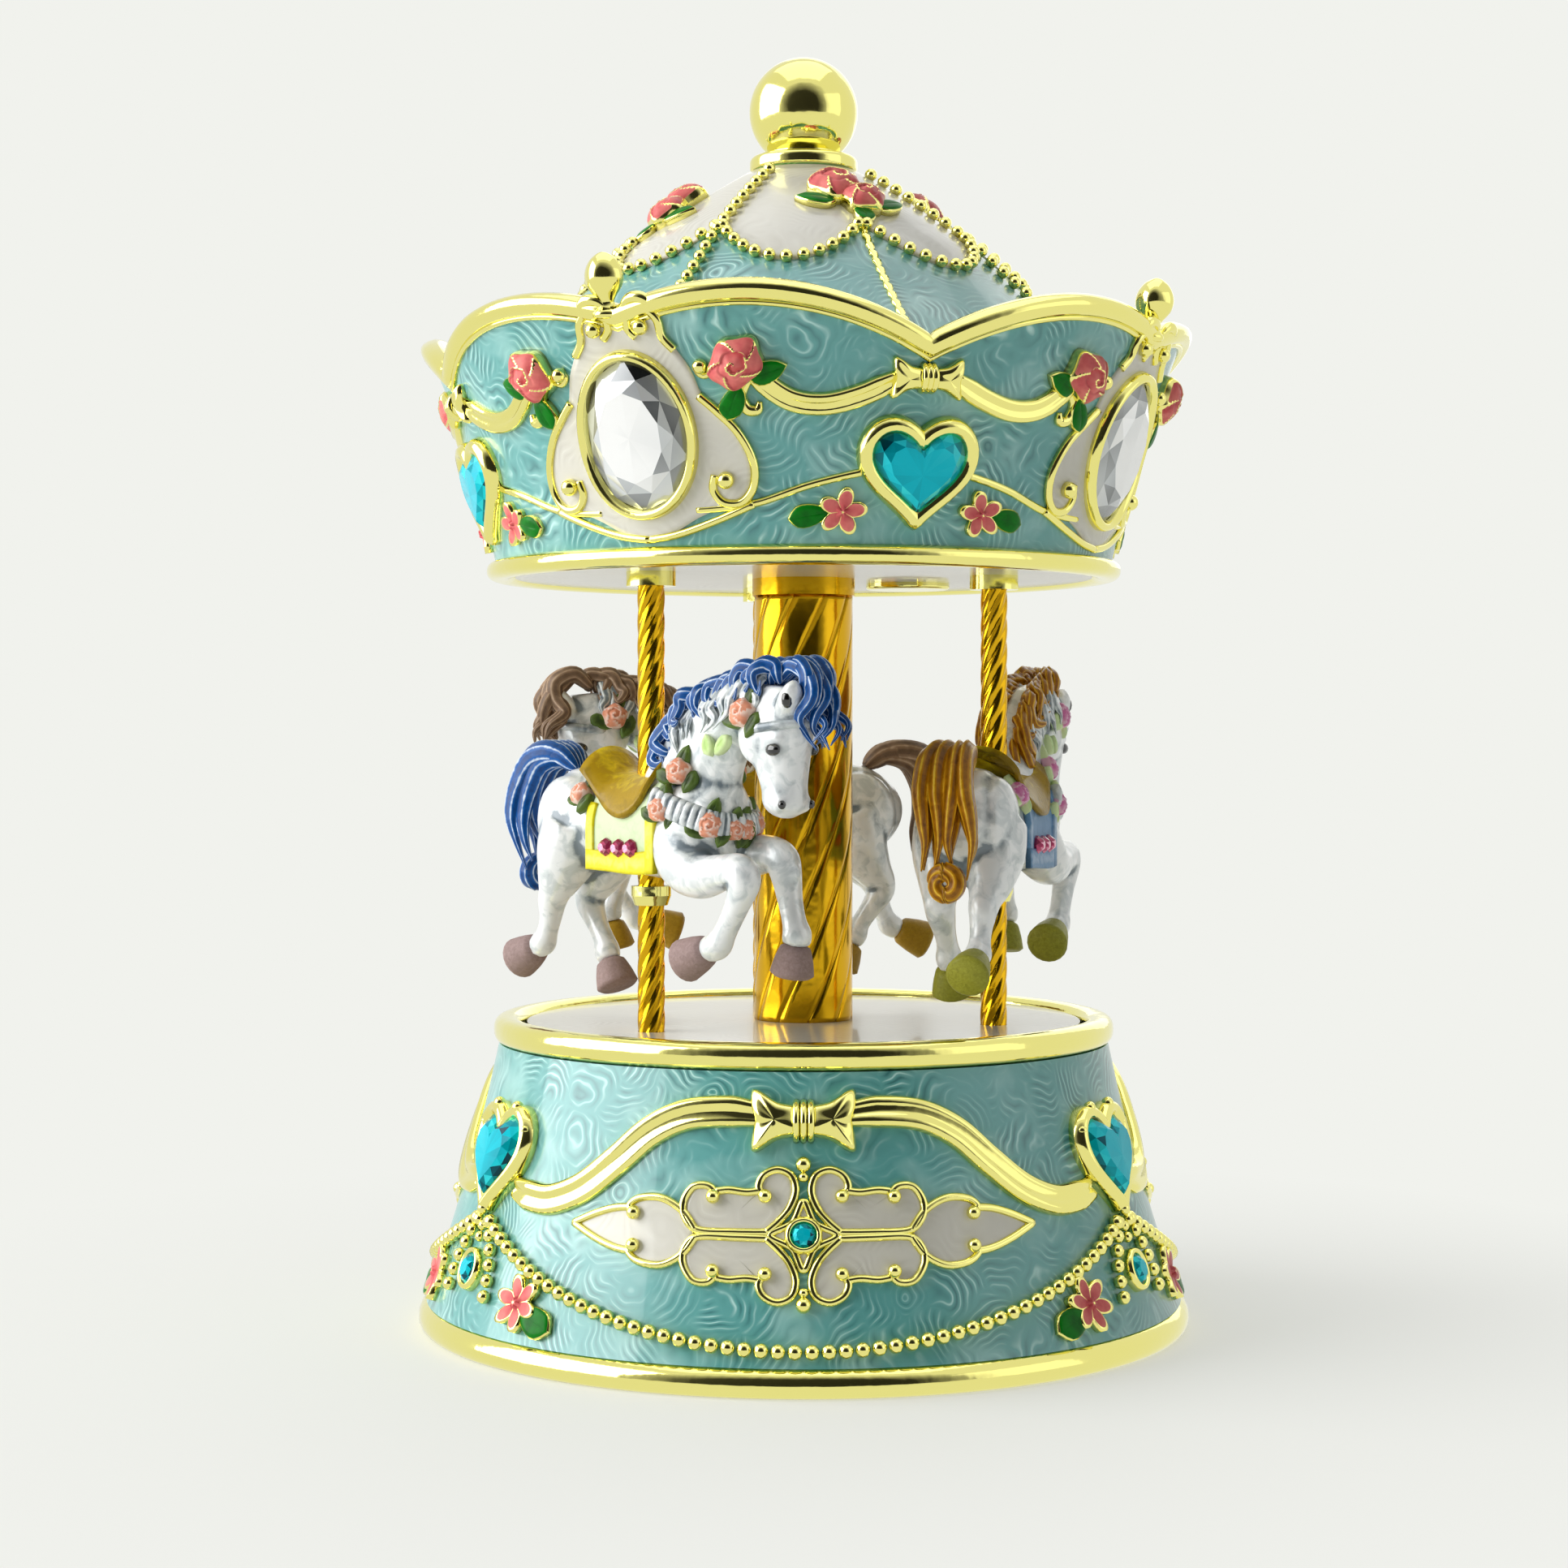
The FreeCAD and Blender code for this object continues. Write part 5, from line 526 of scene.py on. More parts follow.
def rimmed_paint(name, plain, shade, metal, start):
    """Enamel paint inside cast petals: darker where the tone is low, in the roses as painted shade in the
    folds, bare plating where the tone passes start.
    """
    material, tree, shader = started(name, Coat_Weight=0.08, Coat_Roughness=0.08, Specular_IOR_Level=0.1)
    tone = add(tree, "ShaderNodeAttribute", attribute_name="tone").outputs["Fac"]
    place = add(tree, "ShaderNodeTexCoord").outputs["Object"]
    blot = add(tree, "ShaderNodeTexNoise", {"Vector": place, "Scale": 1 / (1.4 * MM), "Detail": 2.0})
    mixed = add(tree, "ShaderNodeMath", {0: tone, 1: blot.outputs["Fac"]}, operation="MULTIPLY")
    paint = blended(tree, stretch(tree, mixed.outputs[0], 0.05, 0.4), shade, plain)
    bare = stretch(tree, tone, start, start + 0.04)
    tree.links.new(blended(tree, bare, paint, metal), shader.inputs["Base Color"])
    tree.links.new(bare, shader.inputs["Metallic"])
    rough = add(tree, "ShaderNodeMapRange", {"Value": bare, "To Min": 0.35, "To Max": 0.12})
    tree.links.new(rough.outputs["Result"], shader.inputs["Roughness"])
    return material


def stone_with_painted_glints(name, deep, plain, bright, metallic, polish=0.5):
    """Cut stone over foil: each facet's own brightness is painted reflection, under a polished surface."""
    material, tree, shader = started(name, Metallic=metallic, Roughness=0.15, Coat_Weight=polish,
                                     Coat_Roughness=0.02, Specular_IOR_Level=polish)
    facet = add(tree, "ShaderNodeAttribute", attribute_name="facet").outputs["Fac"]
    place = add(tree, "ShaderNodeTexCoord").outputs["Object"]
    # Painted reflection: a broad noise that brightens and darkens the facets across the stone
    glow = add(tree, "ShaderNodeTexNoise", {"Vector": place, "Scale": 1 / (7 * MM), "Detail": 0.0})
    share = add(tree, "ShaderNodeMath", {0: glow.outputs["Fac"], 1: 0.5, 2: facet},
                operation="MULTIPLY_ADD")
    low = blended(tree, stretch(tree, share.outputs[0], 0.2, 0.75), deep, plain)
    tree.links.new(blended(tree, stretch(tree, share.outputs[0], 0.8, 1.25), low, bright),
                   shader.inputs["Base Color"])
    return material


def shaded_hand_paint(name, shade, plain, light, roughness, blot_mm=1.2, coat=0.1, metallic=0.0, mottle=0.5,
               gloss=0.2):
    """Brushed paint on a casting: painted shade in the hollows that the tone marks, a painted highlight on
    its ridges, mottled by the brush."""
    material, tree, shader = started(name, Coat_Weight=coat, Coat_Roughness=0.12, Roughness=roughness,
                                     Metallic=metallic, Specular_IOR_Level=gloss)
    tone = add(tree, "ShaderNodeAttribute", attribute_name="tone").outputs["Fac"]
    place = add(tree, "ShaderNodeTexCoord").outputs["Object"]
    blot = add(tree, "ShaderNodeTexNoise", {"Vector": place, "Scale": 1 / (blot_mm * MM), "Detail": 3.0,
                                                 "Distortion": 0.8})
    # The tone adds painted shade and painted highlight; the blot adds the brush's own mottle
    uneven = add(tree, "ShaderNodeMath", {0: blot.outputs["Fac"], 1: mottle, 2: tone},
                 operation="MULTIPLY_ADD")
    low = blended(tree, stretch(tree, uneven.outputs[0], 0.3, 0.75), shade, plain)
    tree.links.new(blended(tree, stretch(tree, uneven.outputs[0], 0.85, 1.1), low, light),
                   shader.inputs["Base Color"])
    bump = add(tree, "ShaderNodeBump", {"Height": blot.outputs["Fac"], "Strength": 0.2, "Distance": 0.0003})
    tree.links.new(bump.outputs["Normal"], shader.inputs["Normal"])
    return material


def machined(name, base, roughness, metallic=1.0):
    """Turned or milled movement metal: fine cutter marks that catch the light."""
    material, tree, shader = started(name, Base_Color=base, Metallic=metallic)
    place = add(tree, "ShaderNodeTexCoord").outputs["Object"]
    marks = add(tree, "ShaderNodeTexNoise", {"Vector": place, "Scale": 1 / (0.6 * MM), "Detail": 3.0})
    rough = add(tree, "ShaderNodeMapRange", {"Value": marks.outputs["Fac"], "To Min": roughness * 0.8,
                                             "To Max": roughness * 1.3})
    tree.links.new(rough.outputs["Result"], shader.inputs["Roughness"])
    return material


# Label, colours in the hollows (painted shade), between and on the ridges (painted highlight), and
# shaded_hand_paint's further values in their order
PAINTS = {
    "mane_blue": ("blue mane paint", "#032252", "#0A58A4", "#E0ECFA", 0.35),
    "mane_amber": ("amber mane paint", "#4A1E02", "#BE7F0A", "#F6CB3C", 0.3),
    "mane_brown": ("brown mane paint", "#4E3C2E", "#8F745C", "#C0A68C", 0.45),
    "hoof_mauve": ("mauve hoof paint", "#7B6662", "#AE9692", "#CBB4AE", 0.7, 0.4, 0.0),
    "hoof_olive": ("olive hoof paint", "#6A6C14", "#A8A63A", "#CFCB58", 0.55, 0.4, 0.1),
    "hoof_gold": ("ochre hoof paint", "#8A6A12", "#BF9829", "#DDBB4A", 0.5, 0.4, 0.1),
    "saddle_yellow": ("yellow saddle paint", "#5C4A02", "#AE8C04", "#EED41C", 0.3),
    "cloth_green": ("pale green cloth paint", "#A9C489", "#D6E8BC", "#EEF6DC", 0.5),
    "cloth_yellow": ("yellow cloth paint", "#B3A204", "#EFE31E", "#FBF579", 0.4),
    "cloth_blue": ("blue cloth paint", "#2F567C", "#6E97BE", "#B5CCE2", 0.45),
    "peach_paint": ("peach rose paint", "#B0563A", "#EA9C7C", "#F9D6C6", 0.45),
    "posy_pink": ("pink posy paint", "#8E2F64", "#D672A8", "#F2BBD6", 0.45),
    "dark_leaf": ("dark leaf paint", "#141C08", "#33461A", "#5C7430", 0.35),
    "fresh_leaf": ("fresh leaf paint", "#6E9434", "#B4D67C", "#DDF0B4", 0.4),
    "eye_black": ("black eye lacquer", "#030303", "#0C0C0C", "#2A2A2A", 0.1, 1.2, 1.0, 0.0, 0.5, 0.5),
}


def make_finishes(colours):
    """Every finish by its name."""
    gold, cream = tuple(colours.gold), tuple(colours.cream)
    finishes = {
        "turquoise_enamel": pearl_enamel("turquoise pearl enamel", tuple(colours.turquoise),
                                         tuple(colours.turquoise_vein), tuple(colours.turquoise_glint), 5.5,
                                         0.95),
        "cream_enamel": pearl_enamel("cream pearl enamel", cream, linear("#CFCBBF"), linear("#E6E4DA"), 6.0,
                                     0.9),
        "gold_plating": plated("bright gold plating", gold, 0.08, 3.0),
        "column_gold": plated("deep gold plating", tuple(colours.column_gold), 0.14, 3.0),
        "blue_glass": stone_with_painted_glints("blue cut glass", linear("#013C4C"), tuple(colours.heart),
                                 linear("#3FE6F2"), 0.2, 0.12),
        "clear_glass": stone_with_painted_glints("clear cut glass", linear("#15181A"), linear("#D2D6D9"),
                                  linear("#FFFFFF"), 0.4),
        "gem_pink": stone_with_painted_glints("pink cut glass", linear("#7A0E3A"), linear("#C9336C"), linear("#F9B4CE"),
                               0.3),
        "pink_enamel": rimmed_paint("rose enamel", tuple(colours.rose), tuple(colours.rose_fold_shade), gold,
                                    0.9),
        "leaf_enamel": rimmed_paint("leaf enamel", tuple(colours.leaf), linear("#034A0C"), gold, 0.9),
        "horse_paint": shaded_hand_paint("pearl horse paint", tuple(colours.horse_wash), tuple(colours.horse),
                                  linear("#F8FAFA"), 0.3, 2.0, 0.5, 0.1, 1.7, 0.5),
        "movement_brass": machined("machined brass", linear("#C8A355"), 0.3),
        "movement_steel": machined("machined steel", linear("#B9BCC0"), 0.32),
        "cover_paint": machined("black cover lacquer", linear("#2A2A2C"), 0.45, 0.0),
    }
    for key, (label, shade, plain, light, *rest) in PAINTS.items():
        finishes[key] = shaded_hand_paint(label, linear(shade), linear(plain), linear(light), *rest)
    return finishes


FINISHES = {}


# Making pieces

def put(name, body, forms, stands_for=()):
    """Joins forms to one mesh with its finishes, tone and facet values, and rides it on a body."""
    keys = list(dict.fromkeys(form.finish for form in forms))
    starts = np.cumsum([0] + [len(form.points) for form in forms])
    blocks = [(block + start, form) for form, start in zip(forms, starts) for block in form.faces]
    mesh = bpy.data.meshes.new(name)
    points = np.vstack([form.points for form in forms]) * MM
    mesh.vertices.add(len(points))
    mesh.vertices.foreach_set("co", points.astype(np.float32).ravel())
    corners = np.concatenate([block.ravel() for block, form in blocks])
    sizes = np.concatenate([np.full(len(block), block.shape[1]) for block, form in blocks])
    mesh.loops.add(len(corners))
    mesh.loops.foreach_set("vertex_index", corners.astype(np.int32))
    mesh.polygons.add(len(sizes))
    mesh.polygons.foreach_set("loop_start", (np.cumsum(sizes) - sizes).astype(np.int32))
    mesh.polygons.foreach_set("material_index", np.concatenate(
        [np.full(len(block), keys.index(form.finish)) for block, form in blocks]).astype(np.int32))
    mesh.polygons.foreach_set("use_smooth", np.concatenate(
        [np.full(len(block), form.smooth) for block, form in blocks]))
    mesh.update(calc_edges=True)
    mesh.validate()
    tone = mesh.attributes.new("tone", "FLOAT", "POINT")
    tone.data.foreach_set("value", np.concatenate([form.tone for form in forms]).astype(np.float32))
    facet = mesh.attributes.new("facet", "FLOAT", "FACE")
    facet.data.foreach_set("value", np.concatenate([form.facet for form in forms]).astype(np.float32))
    for key in keys:
        mesh.materials.append(FINISHES[key])
    piece = bpy.data.objects.new(name, mesh)
    bpy.context.scene.collection.objects.link(piece)
    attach(piece, body)
    if stands_for:
        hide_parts(*stands_for)
    return piece


# Ornament shapes, in their own plane

def heart_outline(width, tall, count=48):
    """Heart: sine cubed across, and a sum of four cosines up, scaled to a width and a height about its
    middle."""
    turn = 2 * np.pi * np.arange(count) / count
    x = np.sign(np.sin(turn)) * np.abs(np.sin(turn)) ** 2.4
    y = (13 * np.cos(turn) - 4.2 * np.cos(2 * turn) - 1.8 * np.cos(3 * turn) - 0.8 * np.cos(4 * turn)) / 16
    y = (y - (y.max() + y.min()) / 2) / (y.max() - y.min())
    return np.stack([x * width / 2, y * tall], -1)


def ellipse_outline(half_across, half_up, count=48):
    """Ellipse as a closed row of points."""
    turn = 2 * np.pi * np.arange(count) / count
    return np.stack([half_across * np.sin(turn), half_up * np.cos(turn)], -1)


def rose(radius, height, finish="pink_enamel", shares=24, count=56):
    """Rose seen from its front: a dome whose inner half winds in a spiral and whose outer half overlaps
    in petals.

    The height falls in a saw-tooth along the spiral and round the petals; the tone is 1 along their edges
    and falls into each fold, as painted shade there.
    """
    turn = 2 * np.pi * np.arange(count) / count
    outline = radius * (1 + 0.07 * np.cos(5 * turn))[:, None] * np.stack([np.sin(turn), np.cos(turn)], -1)

    def saws(share, turn):
        spiral = (2.1 * share + turn / (2 * np.pi)) % 1.0
        petals = ((turn + 1.3 * share) * 5 / (2 * np.pi)) % 1.0
        inner = share < 0.52
        return np.where(inner, spiral, petals), inner

    def rise(share, turn):
        saw, inner = saws(share, turn)
        return height * (0.25 + 0.75 * np.sqrt(np.clip(1 - share ** 2.2, 0, 1))
                         - 0.2 * np.where(inner, saw, 0.7 * saw) * (share > 0.05))

    def tone(share, turn):
        saw = saws(share, turn)[0]
        # Painted light: the tone drops into each fold as painted shade; in the horses' posy paints the
        # edges' 1 gives a painted highlight
        return np.where((saw < 0.17) | (share > 0.95), 1.0, 0.85 * (1 - 0.6 * saw))

    return relief(outline, rise, finish, shares=shares, tone=tone)


def leaf(width, tall, height, finish="leaf_enamel", count=20):
    """Pointed leaf: an ellipse drawn to a point, domed, with a crease down its middle and a bare rim."""
    turn = 2 * np.pi * np.arange(count) / count
    outline = np.stack([width / 2 * np.sin(turn) * (1 - 0.25 * np.cos(turn)), tall / 2 * np.cos(turn)], -1)
    outline[:, 0] *= 1 - np.abs(np.cos(turn)) ** 6

    def rise(share, turn):
        return height * (0.35 + 0.65 * np.sqrt(1 - share ** 2
                                               * 0.95)) * (0.75 + 0.25 * np.abs(np.sin(turn)) * share)

    return relief(outline, rise, finish, 0.4, 7, lambda share,
                  turn: np.where(share > 0.9, 1.0, 0.5 + 0.35 * share) + 0 * turn)


def blossom(radius, height, finish="pink_enamel", petals=5, count=60):
    """Flat flower: a radius that swings out once for each petal, hollow petals and a raised middle, rims
    bare."""
    turn = 2 * np.pi * np.arange(count) / count
    swing = radius * (0.5 + 0.5 * np.abs(np.cos(petals * turn / 2)) ** 1.1)
    outline = swing[:, None] * np.stack([np.sin(turn), np.cos(turn)], -1)

    def rise(share, turn):
        return height * (0.75 + 0.25 * share - 0.3 * share * (1 - np.abs(np.cos(petals * turn / 2)))
                         + 0.4 * (share < 0.2))

    def tone(share, turn):
        groove = np.abs(np.cos(petals * turn / 2)) < 0.12
        return np.where((share > 0.86) | (share < 0.12) | (groove & (share > 0.35)), 1.0, 0.2 + 0.6 * share)

    return relief(outline, rise, finish, 0.4, 10, tone)


def bow(half_width, half_height, lift):
    """Ribbon bow: two padded loops that flare away from a pinch, with soft folds, and a knot of three
    rolls."""
    right = np.array([(0.12, 0.46), (0.5, 0.62), (0.84, 0.97), (1.0, 0.98), (1.0, 0.5), (0.93, 0.0),
                      (1.0, -0.5),
                      (1.0, -0.98), (0.84, -0.97), (0.5, -0.62), (0.12, -0.46), (0.08, 0.0)])
    right = smooth_line(right, 4, True) * [half_width, half_height]
    middle = np.array([0.55 * half_width, 0.0])

    def rise(share, turn):
        padded = 0.45 + 0.55 * np.sqrt(np.clip(1 - share ** 3, 0, 1))
        return lift * padded - 0.12 * lift * np.cos(4 * turn) * share

    forms = []
    for side in (1, -1):
        loop = relief((right - middle) * [side, 1], rise, "gold_plating", 0.5, 10)
        forms.append(loop.at(loop.points + [side * middle[0], 0, 0]))
    bend = np.linspace(-0.5, 0.5, 9) * np.pi
    for place in (-0.14, 0.0, 0.14):
        path = np.stack([np.full(9, place * half_width), 0.62 * half_height * np.sin(bend),
                         1.05 * lift * np.cos(bend)], -1)
        forms.append(sweep(path, np.tile([1.0, 0, 0], (9, 1)), oval(0.45, 0.42, 8), "gold_plating"))
    return forms


RIBBON = np.array([(-1.2, -0.4), (-1.2, 0.3), (-0.95, 0.72), (-0.55, 0.78), (-0.15, 0.42), (0.2, 0.72),
                   (0.65, 0.98),
                   (1.02, 0.8), (1.2, 0.3), (1.2, -0.4)])


def ribbon(wall, bearing, level, points, width=1.0, height=1.0):
    """Gold ribbon of two rolled ridges along a smooth line on a wall."""
    line = smooth_line(points, 8)
    local = np.column_stack([line, np.zeros(len(line))])
    ends = np.clip(np.sin(np.pi * np.linspace(0.06, 0.94, len(line))) * 2.2, 0, 1)[:, None]
    size = np.array([[width, height]]) * (0.55 + 0.45 * ends)
    return sweep(fit(wall, bearing, level, local), lean_of(wall, bearing, level, local), RIBBON,
                 "gold_plating", size)


# Crown

def edge_level(bearing):
    """Height of the crown's scalloped edge: in each eighth a circle through its two ends and its crest."""
    eighth = (np.asarray(bearing, float) - OVAL_BEARING) / 45.0
    odd = np.floor(eighth).astype(int) % 2
    across = 49.6 * np.sin(np.radians((eighth - np.floor(eighth) - 0.5) * 45))
    left = np.where(odd == 0, OVAL_DROP, VALLEY_DROP)
    right = np.where(odd == 0, VALLEY_DROP, OVAL_DROP)
    low = -(2 * SCALLOP_HALF ** 2 + left ** 2 + right ** 2) / (2 * (left + right))
    side = -(SCALLOP_HALF ** 2 + left ** 2 + 2 * left * low) / (2 * SCALLOP_HALF)
    return CREST_LEVEL + low + np.sqrt(low ** 2 + side ** 2 - (across - side) ** 2)


def ring_points(radius, bearing, height):
    """Points at a radius, a bearing from the front and a height."""
    angle = np.radians(bearing)
    return np.stack([radius * np.sin(angle), -radius * np.cos(angle), height], -1)


EDGE_STEPS = 256           # points round the crown's edge


class CAROUSEL_OT_crown_edge(bpy.types.Operator):
    """Rounded gold edge of the crown, a thin wire below it, and a bud above each oval"""
    bl_idname = "carousel.crown_edge"
    bl_label = "Crown edge"

    def execute(self, context):
        bearing = OVAL_BEARING + np.arange(EDGE_STEPS) * 360 / EDGE_STEPS
        top = edge_level(bearing)
        forms = []
        for drop, inset, across, lift, power in ((1.25, -0.5, 1.3, 1.5, 2.6), (2.75, 0.1, 0.4, 0.42, 2.0)):
            height = top - drop
            path = ring_points(CROWN_WALL.radius(height) + inset, bearing, height)
            lean = unit(ring_points(np.ones(EDGE_STEPS), bearing, -CROWN_WALL.slope(height)))
            forms.append(sweep(path, lean, oval(across, lift, 14, power), "gold_plating", ring=True))
        put("crown_edge", "carousel", forms, ("canopy_top_rim",))
        profile = smooth_line([(0.2, -1.7), (1.5, -1.5), (1.75, -0.9), (1.2, -0.2), (1.0, 0.4), (1.35, 1.1),
                               (2.05, 2.1),
                               (2.3, 3.2), (2.1, 4.3), (1.5, 5.3), (0.7, 5.9), (0.15, 6.1)], 4)
        bud = turned_form(np.maximum(profile, [[0.1, -9]]), "gold_plating", 32, 4, 0.06)
        seat = CREST_LEVEL - OVAL_DROP
        place = ring_points(float(CROWN_WALL.radius(seat)) - 0.4, OVAL_BEARING - 1.6, seat)
        out = ring_points(1.0, OVAL_BEARING, 0.0)
        buds = [stood(bud, place, [0.16 * out[0], 0.16 * out[1], 1.0], out)]
        for side in (-1, 1):
            curl = np.array([(0.9, -0.2), (2.2, 0.9), (3.6, 1.0), (4.4, 0.3), (4.2, -0.5)]) * [side, 1]
            buds.append(wire(CROWN_WALL, OVAL_BEARING, seat - 0.3, curl, 0.75, taper=True, lift=0.4))
        put("crest_buds", "carousel", around(buds, 4), ("crest_knobs",))
        return {"FINISHED"}


SWAG_TOP = 138.9           # level of the points between the roof's swags
SWAG_HANG = 5.5
BEAD_SPACING = 2.6         # from bead to bead, in bead radii
BEAD_SEAT = 0.8            # a bead's middle above the roof, in bead radii


def on_roof(level, bearing, lift):
    """Points on the roof at their levels and bearings, lifted square to it."""
    slope = ROOF.slope(level)
    steep = np.sqrt(1 + slope ** 2)
    return ring_points(ROOF.radius(level) + lift / steep, bearing, level - lift * slope / steep)


class CAROUSEL_OT_roof(bpy.types.Operator):
    """Cream upper roof inside bead swags, bead strings, and large roses on ribs"""
    bl_idname = "carousel.roof"
    bl_label = "Roof"

    def execute(self, context):
        sizes = context.scene.carousel_sizes
        columns = 192
        bearing = OVAL_BEARING + np.arange(columns) * 360 / columns
        hang = SWAG_TOP - SWAG_HANG * np.abs(np.sin(np.pi * np.arange(columns) * 8 / columns))
        share = np.linspace(0, 1, 16)[:, None]
        height = hang[None] + share * (DOME_TOP - 0.05 - hang[None])
        layers = [on_roof(height, bearing[None] + 0 * height, lift) for lift in (0.14, -0.4)]
        cap = skin(np.concatenate([layers[0], layers[1][::-1]]), "cream_enamel", ring=True)
        put("roof_cream", "carousel", [cap])

        radius = sizes.dome_bead / MM
        beads = []
        run = np.linspace(0.03, 0.97, 60)
        for start in range(8):
            level = SWAG_TOP - SWAG_HANG * np.sin(np.pi * run)
            path = on_roof(level, OVAL_BEARING + 45 * (start + run), BEAD_SEAT * radius)
            beads.append(balls(evenly(path, BEAD_SPACING * radius), radius, "gold_plating"))
        path = on_roof(np.linspace(147.6, 125.6, 60), np.full(60, OVAL_BEARING), BEAD_SEAT * radius)
        beads += around([balls(evenly(path, BEAD_SPACING * radius), radius, "gold_plating")], 4)
        put("roof_beads", "carousel", beads, ("dome_beads",))

        flowers = [laid(rose(3.3, 2.7), ROOF, HEART_BEARING, ROSE_LEVEL, (-1.0, 1.7, 0.5), 20)]
        flowers.append(laid(rose(2.8, 2.5), ROOF, HEART_BEARING, ROSE_LEVEL, (1.6, -1.9, 0.6), 140))
        for across, up, spin, size in ((-4.3, -1.5, 74, 1.0), (5.2, -2.4, -70, 1.0), (0.8, -5.0, 8, 0.9)):
            flowers.append(laid(leaf(2.8, 5.0, 1.0), ROOF, HEART_BEARING, ROSE_LEVEL, (across, up, 0.5),
                                spin, size))
        stem = np.linspace(138.0, 122.6, 40)
        wave = 0.12 * np.sin(np.arange(40) * 2.1)
        slope = ROOF.slope(stem)
        path = ring_points(ROOF.radius(stem), HEART_BEARING + np.degrees(wave / ROOF.radius(stem)), stem)
        lean = unit(ring_points(np.ones(40), np.full(40, HEART_BEARING), -slope))
        thick = 0.5 + 0.1 * np.cos(np.arange(40) * 2.1)
        flowers.append(sweep(path, lean, oval(1.0, 1.0, 8), "gold_plating", thick[:, None]))
        put("roof_roses", "carousel", around(flowers, 4), ())
        return {"FINISHED"}


PANEL_SIDE = [(1.4, 14.6), (3.4, 15.0), (5.0, 13.7), (5.3, 11.8), (6.2, 10.6), (8.0, 7.6), (8.9, 4.6),
              (10.4, 2.6), (12.6, 0.0),
              (13.9, -3.4), (13.6, -6.4), (12.0, -8.3), (9.4, -9.0), (6.4, -10.2), (3.0, -12.0)]
LOWER_CURL = [(8.6, 4.4), (10.4, 2.6), (12.6, 0.0), (13.9, -3.4), (13.6, -6.4), (12.0, -8.3), (9.9, -8.3),
              (8.8, -6.8), (9.2, -5.0)]
UPPER_CURL = [(6.6, 9.8), (5.4, 11.4), (5.1, 13.5), (3.5, 14.9), (1.7, 14.2), (1.3, 12.6), (2.2, 11.5)]


class CAROUSEL_OT_crown_panels(bpy.types.Operator):
    """White scrolled panels round the ovals, with gold wire, curls and balls"""
    bl_idname = "carousel.crown_panels"
    bl_label = "Crown panels"

    def execute(self, context):
        radius = context.scene.carousel_sizes.wire / MM
        outline = smooth_line([(0, 14.2)] + PANEL_SIDE + [(0, -12.8)] + mirrored(PANEL_SIDE)[::-1], 4, True)
        field = relief(outline, lambda share, turn: 0.35 + 0 * share * turn, "cream_enamel", 0.5, 14)
        forms = [laid(field, CROWN_WALL, OVAL_BEARING, OVAL_LEVEL)]
        for side in (1, -1):
            for curl, ball, size in ((LOWER_CURL, (10.5, -5.6), 1.05), (UPPER_CURL, (3.1, 12.7), 0.95)):
                points = np.array(curl) * [side, 1]
                forms.append(wire(CROWN_WALL, OVAL_BEARING, OVAL_LEVEL, points, radius * 1.1, lift=0.35))
                place = fit(CROWN_WALL, OVAL_BEARING, OVAL_LEVEL, [(side * ball[0], ball[1], 0.8)])
                forms.append(balls(place, size, "gold_plating", 16, 10))
            rib = np.array([(6.4, -9.2), (9.6, -9.0), (14.0, -8.4), (20.0, -6.4), (26.0, -4.9),
                            (28.4, -4.6)]) * [side, 1]
            forms.append(wire(CROWN_WALL, OVAL_BEARING, OVAL_LEVEL, rib,
                              context.scene.carousel_sizes.rib / MM))
            foot = np.array([(0, -12.6), (4.0, -12.0), (9.0, -10.4), (13.4, -8.6)]) * [side, 1]
            forms.append(wire(CROWN_WALL, OVAL_BEARING, OVAL_LEVEL, foot, radius, lift=0.2))
        put("crown_panels", "carousel", around(forms, 4), ("canopy_cartouches",))
        return {"FINISHED"}


class CAROUSEL_OT_crown_jewels(bpy.types.Operator):
    """Clear ovals and blue hearts in rounded bezels on the crown"""
    bl_idname = "carousel.crown_jewels"
    bl_label = "Crown jewels"

    def execute(self, context):
        bezels = []
        for outline, bearing, level, width, height in (
                (ellipse_outline(7.1, 9.5, 64), OVAL_BEARING, OVAL_LEVEL, 0.75, 1.5),
                (heart_outline(12.8, 11.4, 64), HEART_BEARING, CROWN_HEART_LEVEL, 1.15, 1.7)):
            local = np.column_stack([outline, np.full(len(outline), 0.2)])
            path = fit(CROWN_WALL, bearing, level, local)
            bezels.append(sweep(path, lean_of(CROWN_WALL, bearing, level, local), oval(width, height, 12),
                                "gold_plating", ring=True))
        put("crown_bezels", "carousel", around(bezels, 4),
            ("oval_settings", "canopy_heart_settings"))
        stones = []
        for index in range(4):
            clear = jewel(ellipse_outline(6.7, 9.1, 10),
                          [(1.0, 0.6, False), (0.82, 1.5, True), (0.6, 2.2, False)], "clear_glass",
                          3 + index, table=1.1)
            stones.append(laid(clear, CROWN_WALL, OVAL_BEARING + 90 * index, OVAL_LEVEL))
            blue = jewel(heart_outline(11.6, 10.2, 20),
                         [(1.0, 0.9, False), (0.84, 1.7, True), (0.66, 2.3, False)], "blue_glass",
                         13 + index, table=0.6)
            stones.append(laid(blue, CROWN_WALL, HEART_BEARING + 90 * index, CROWN_HEART_LEVEL))
        put("crown_stones", "carousel", stones, ("oval_stones", "canopy_heart_stones"))
        return {"FINISHED"}


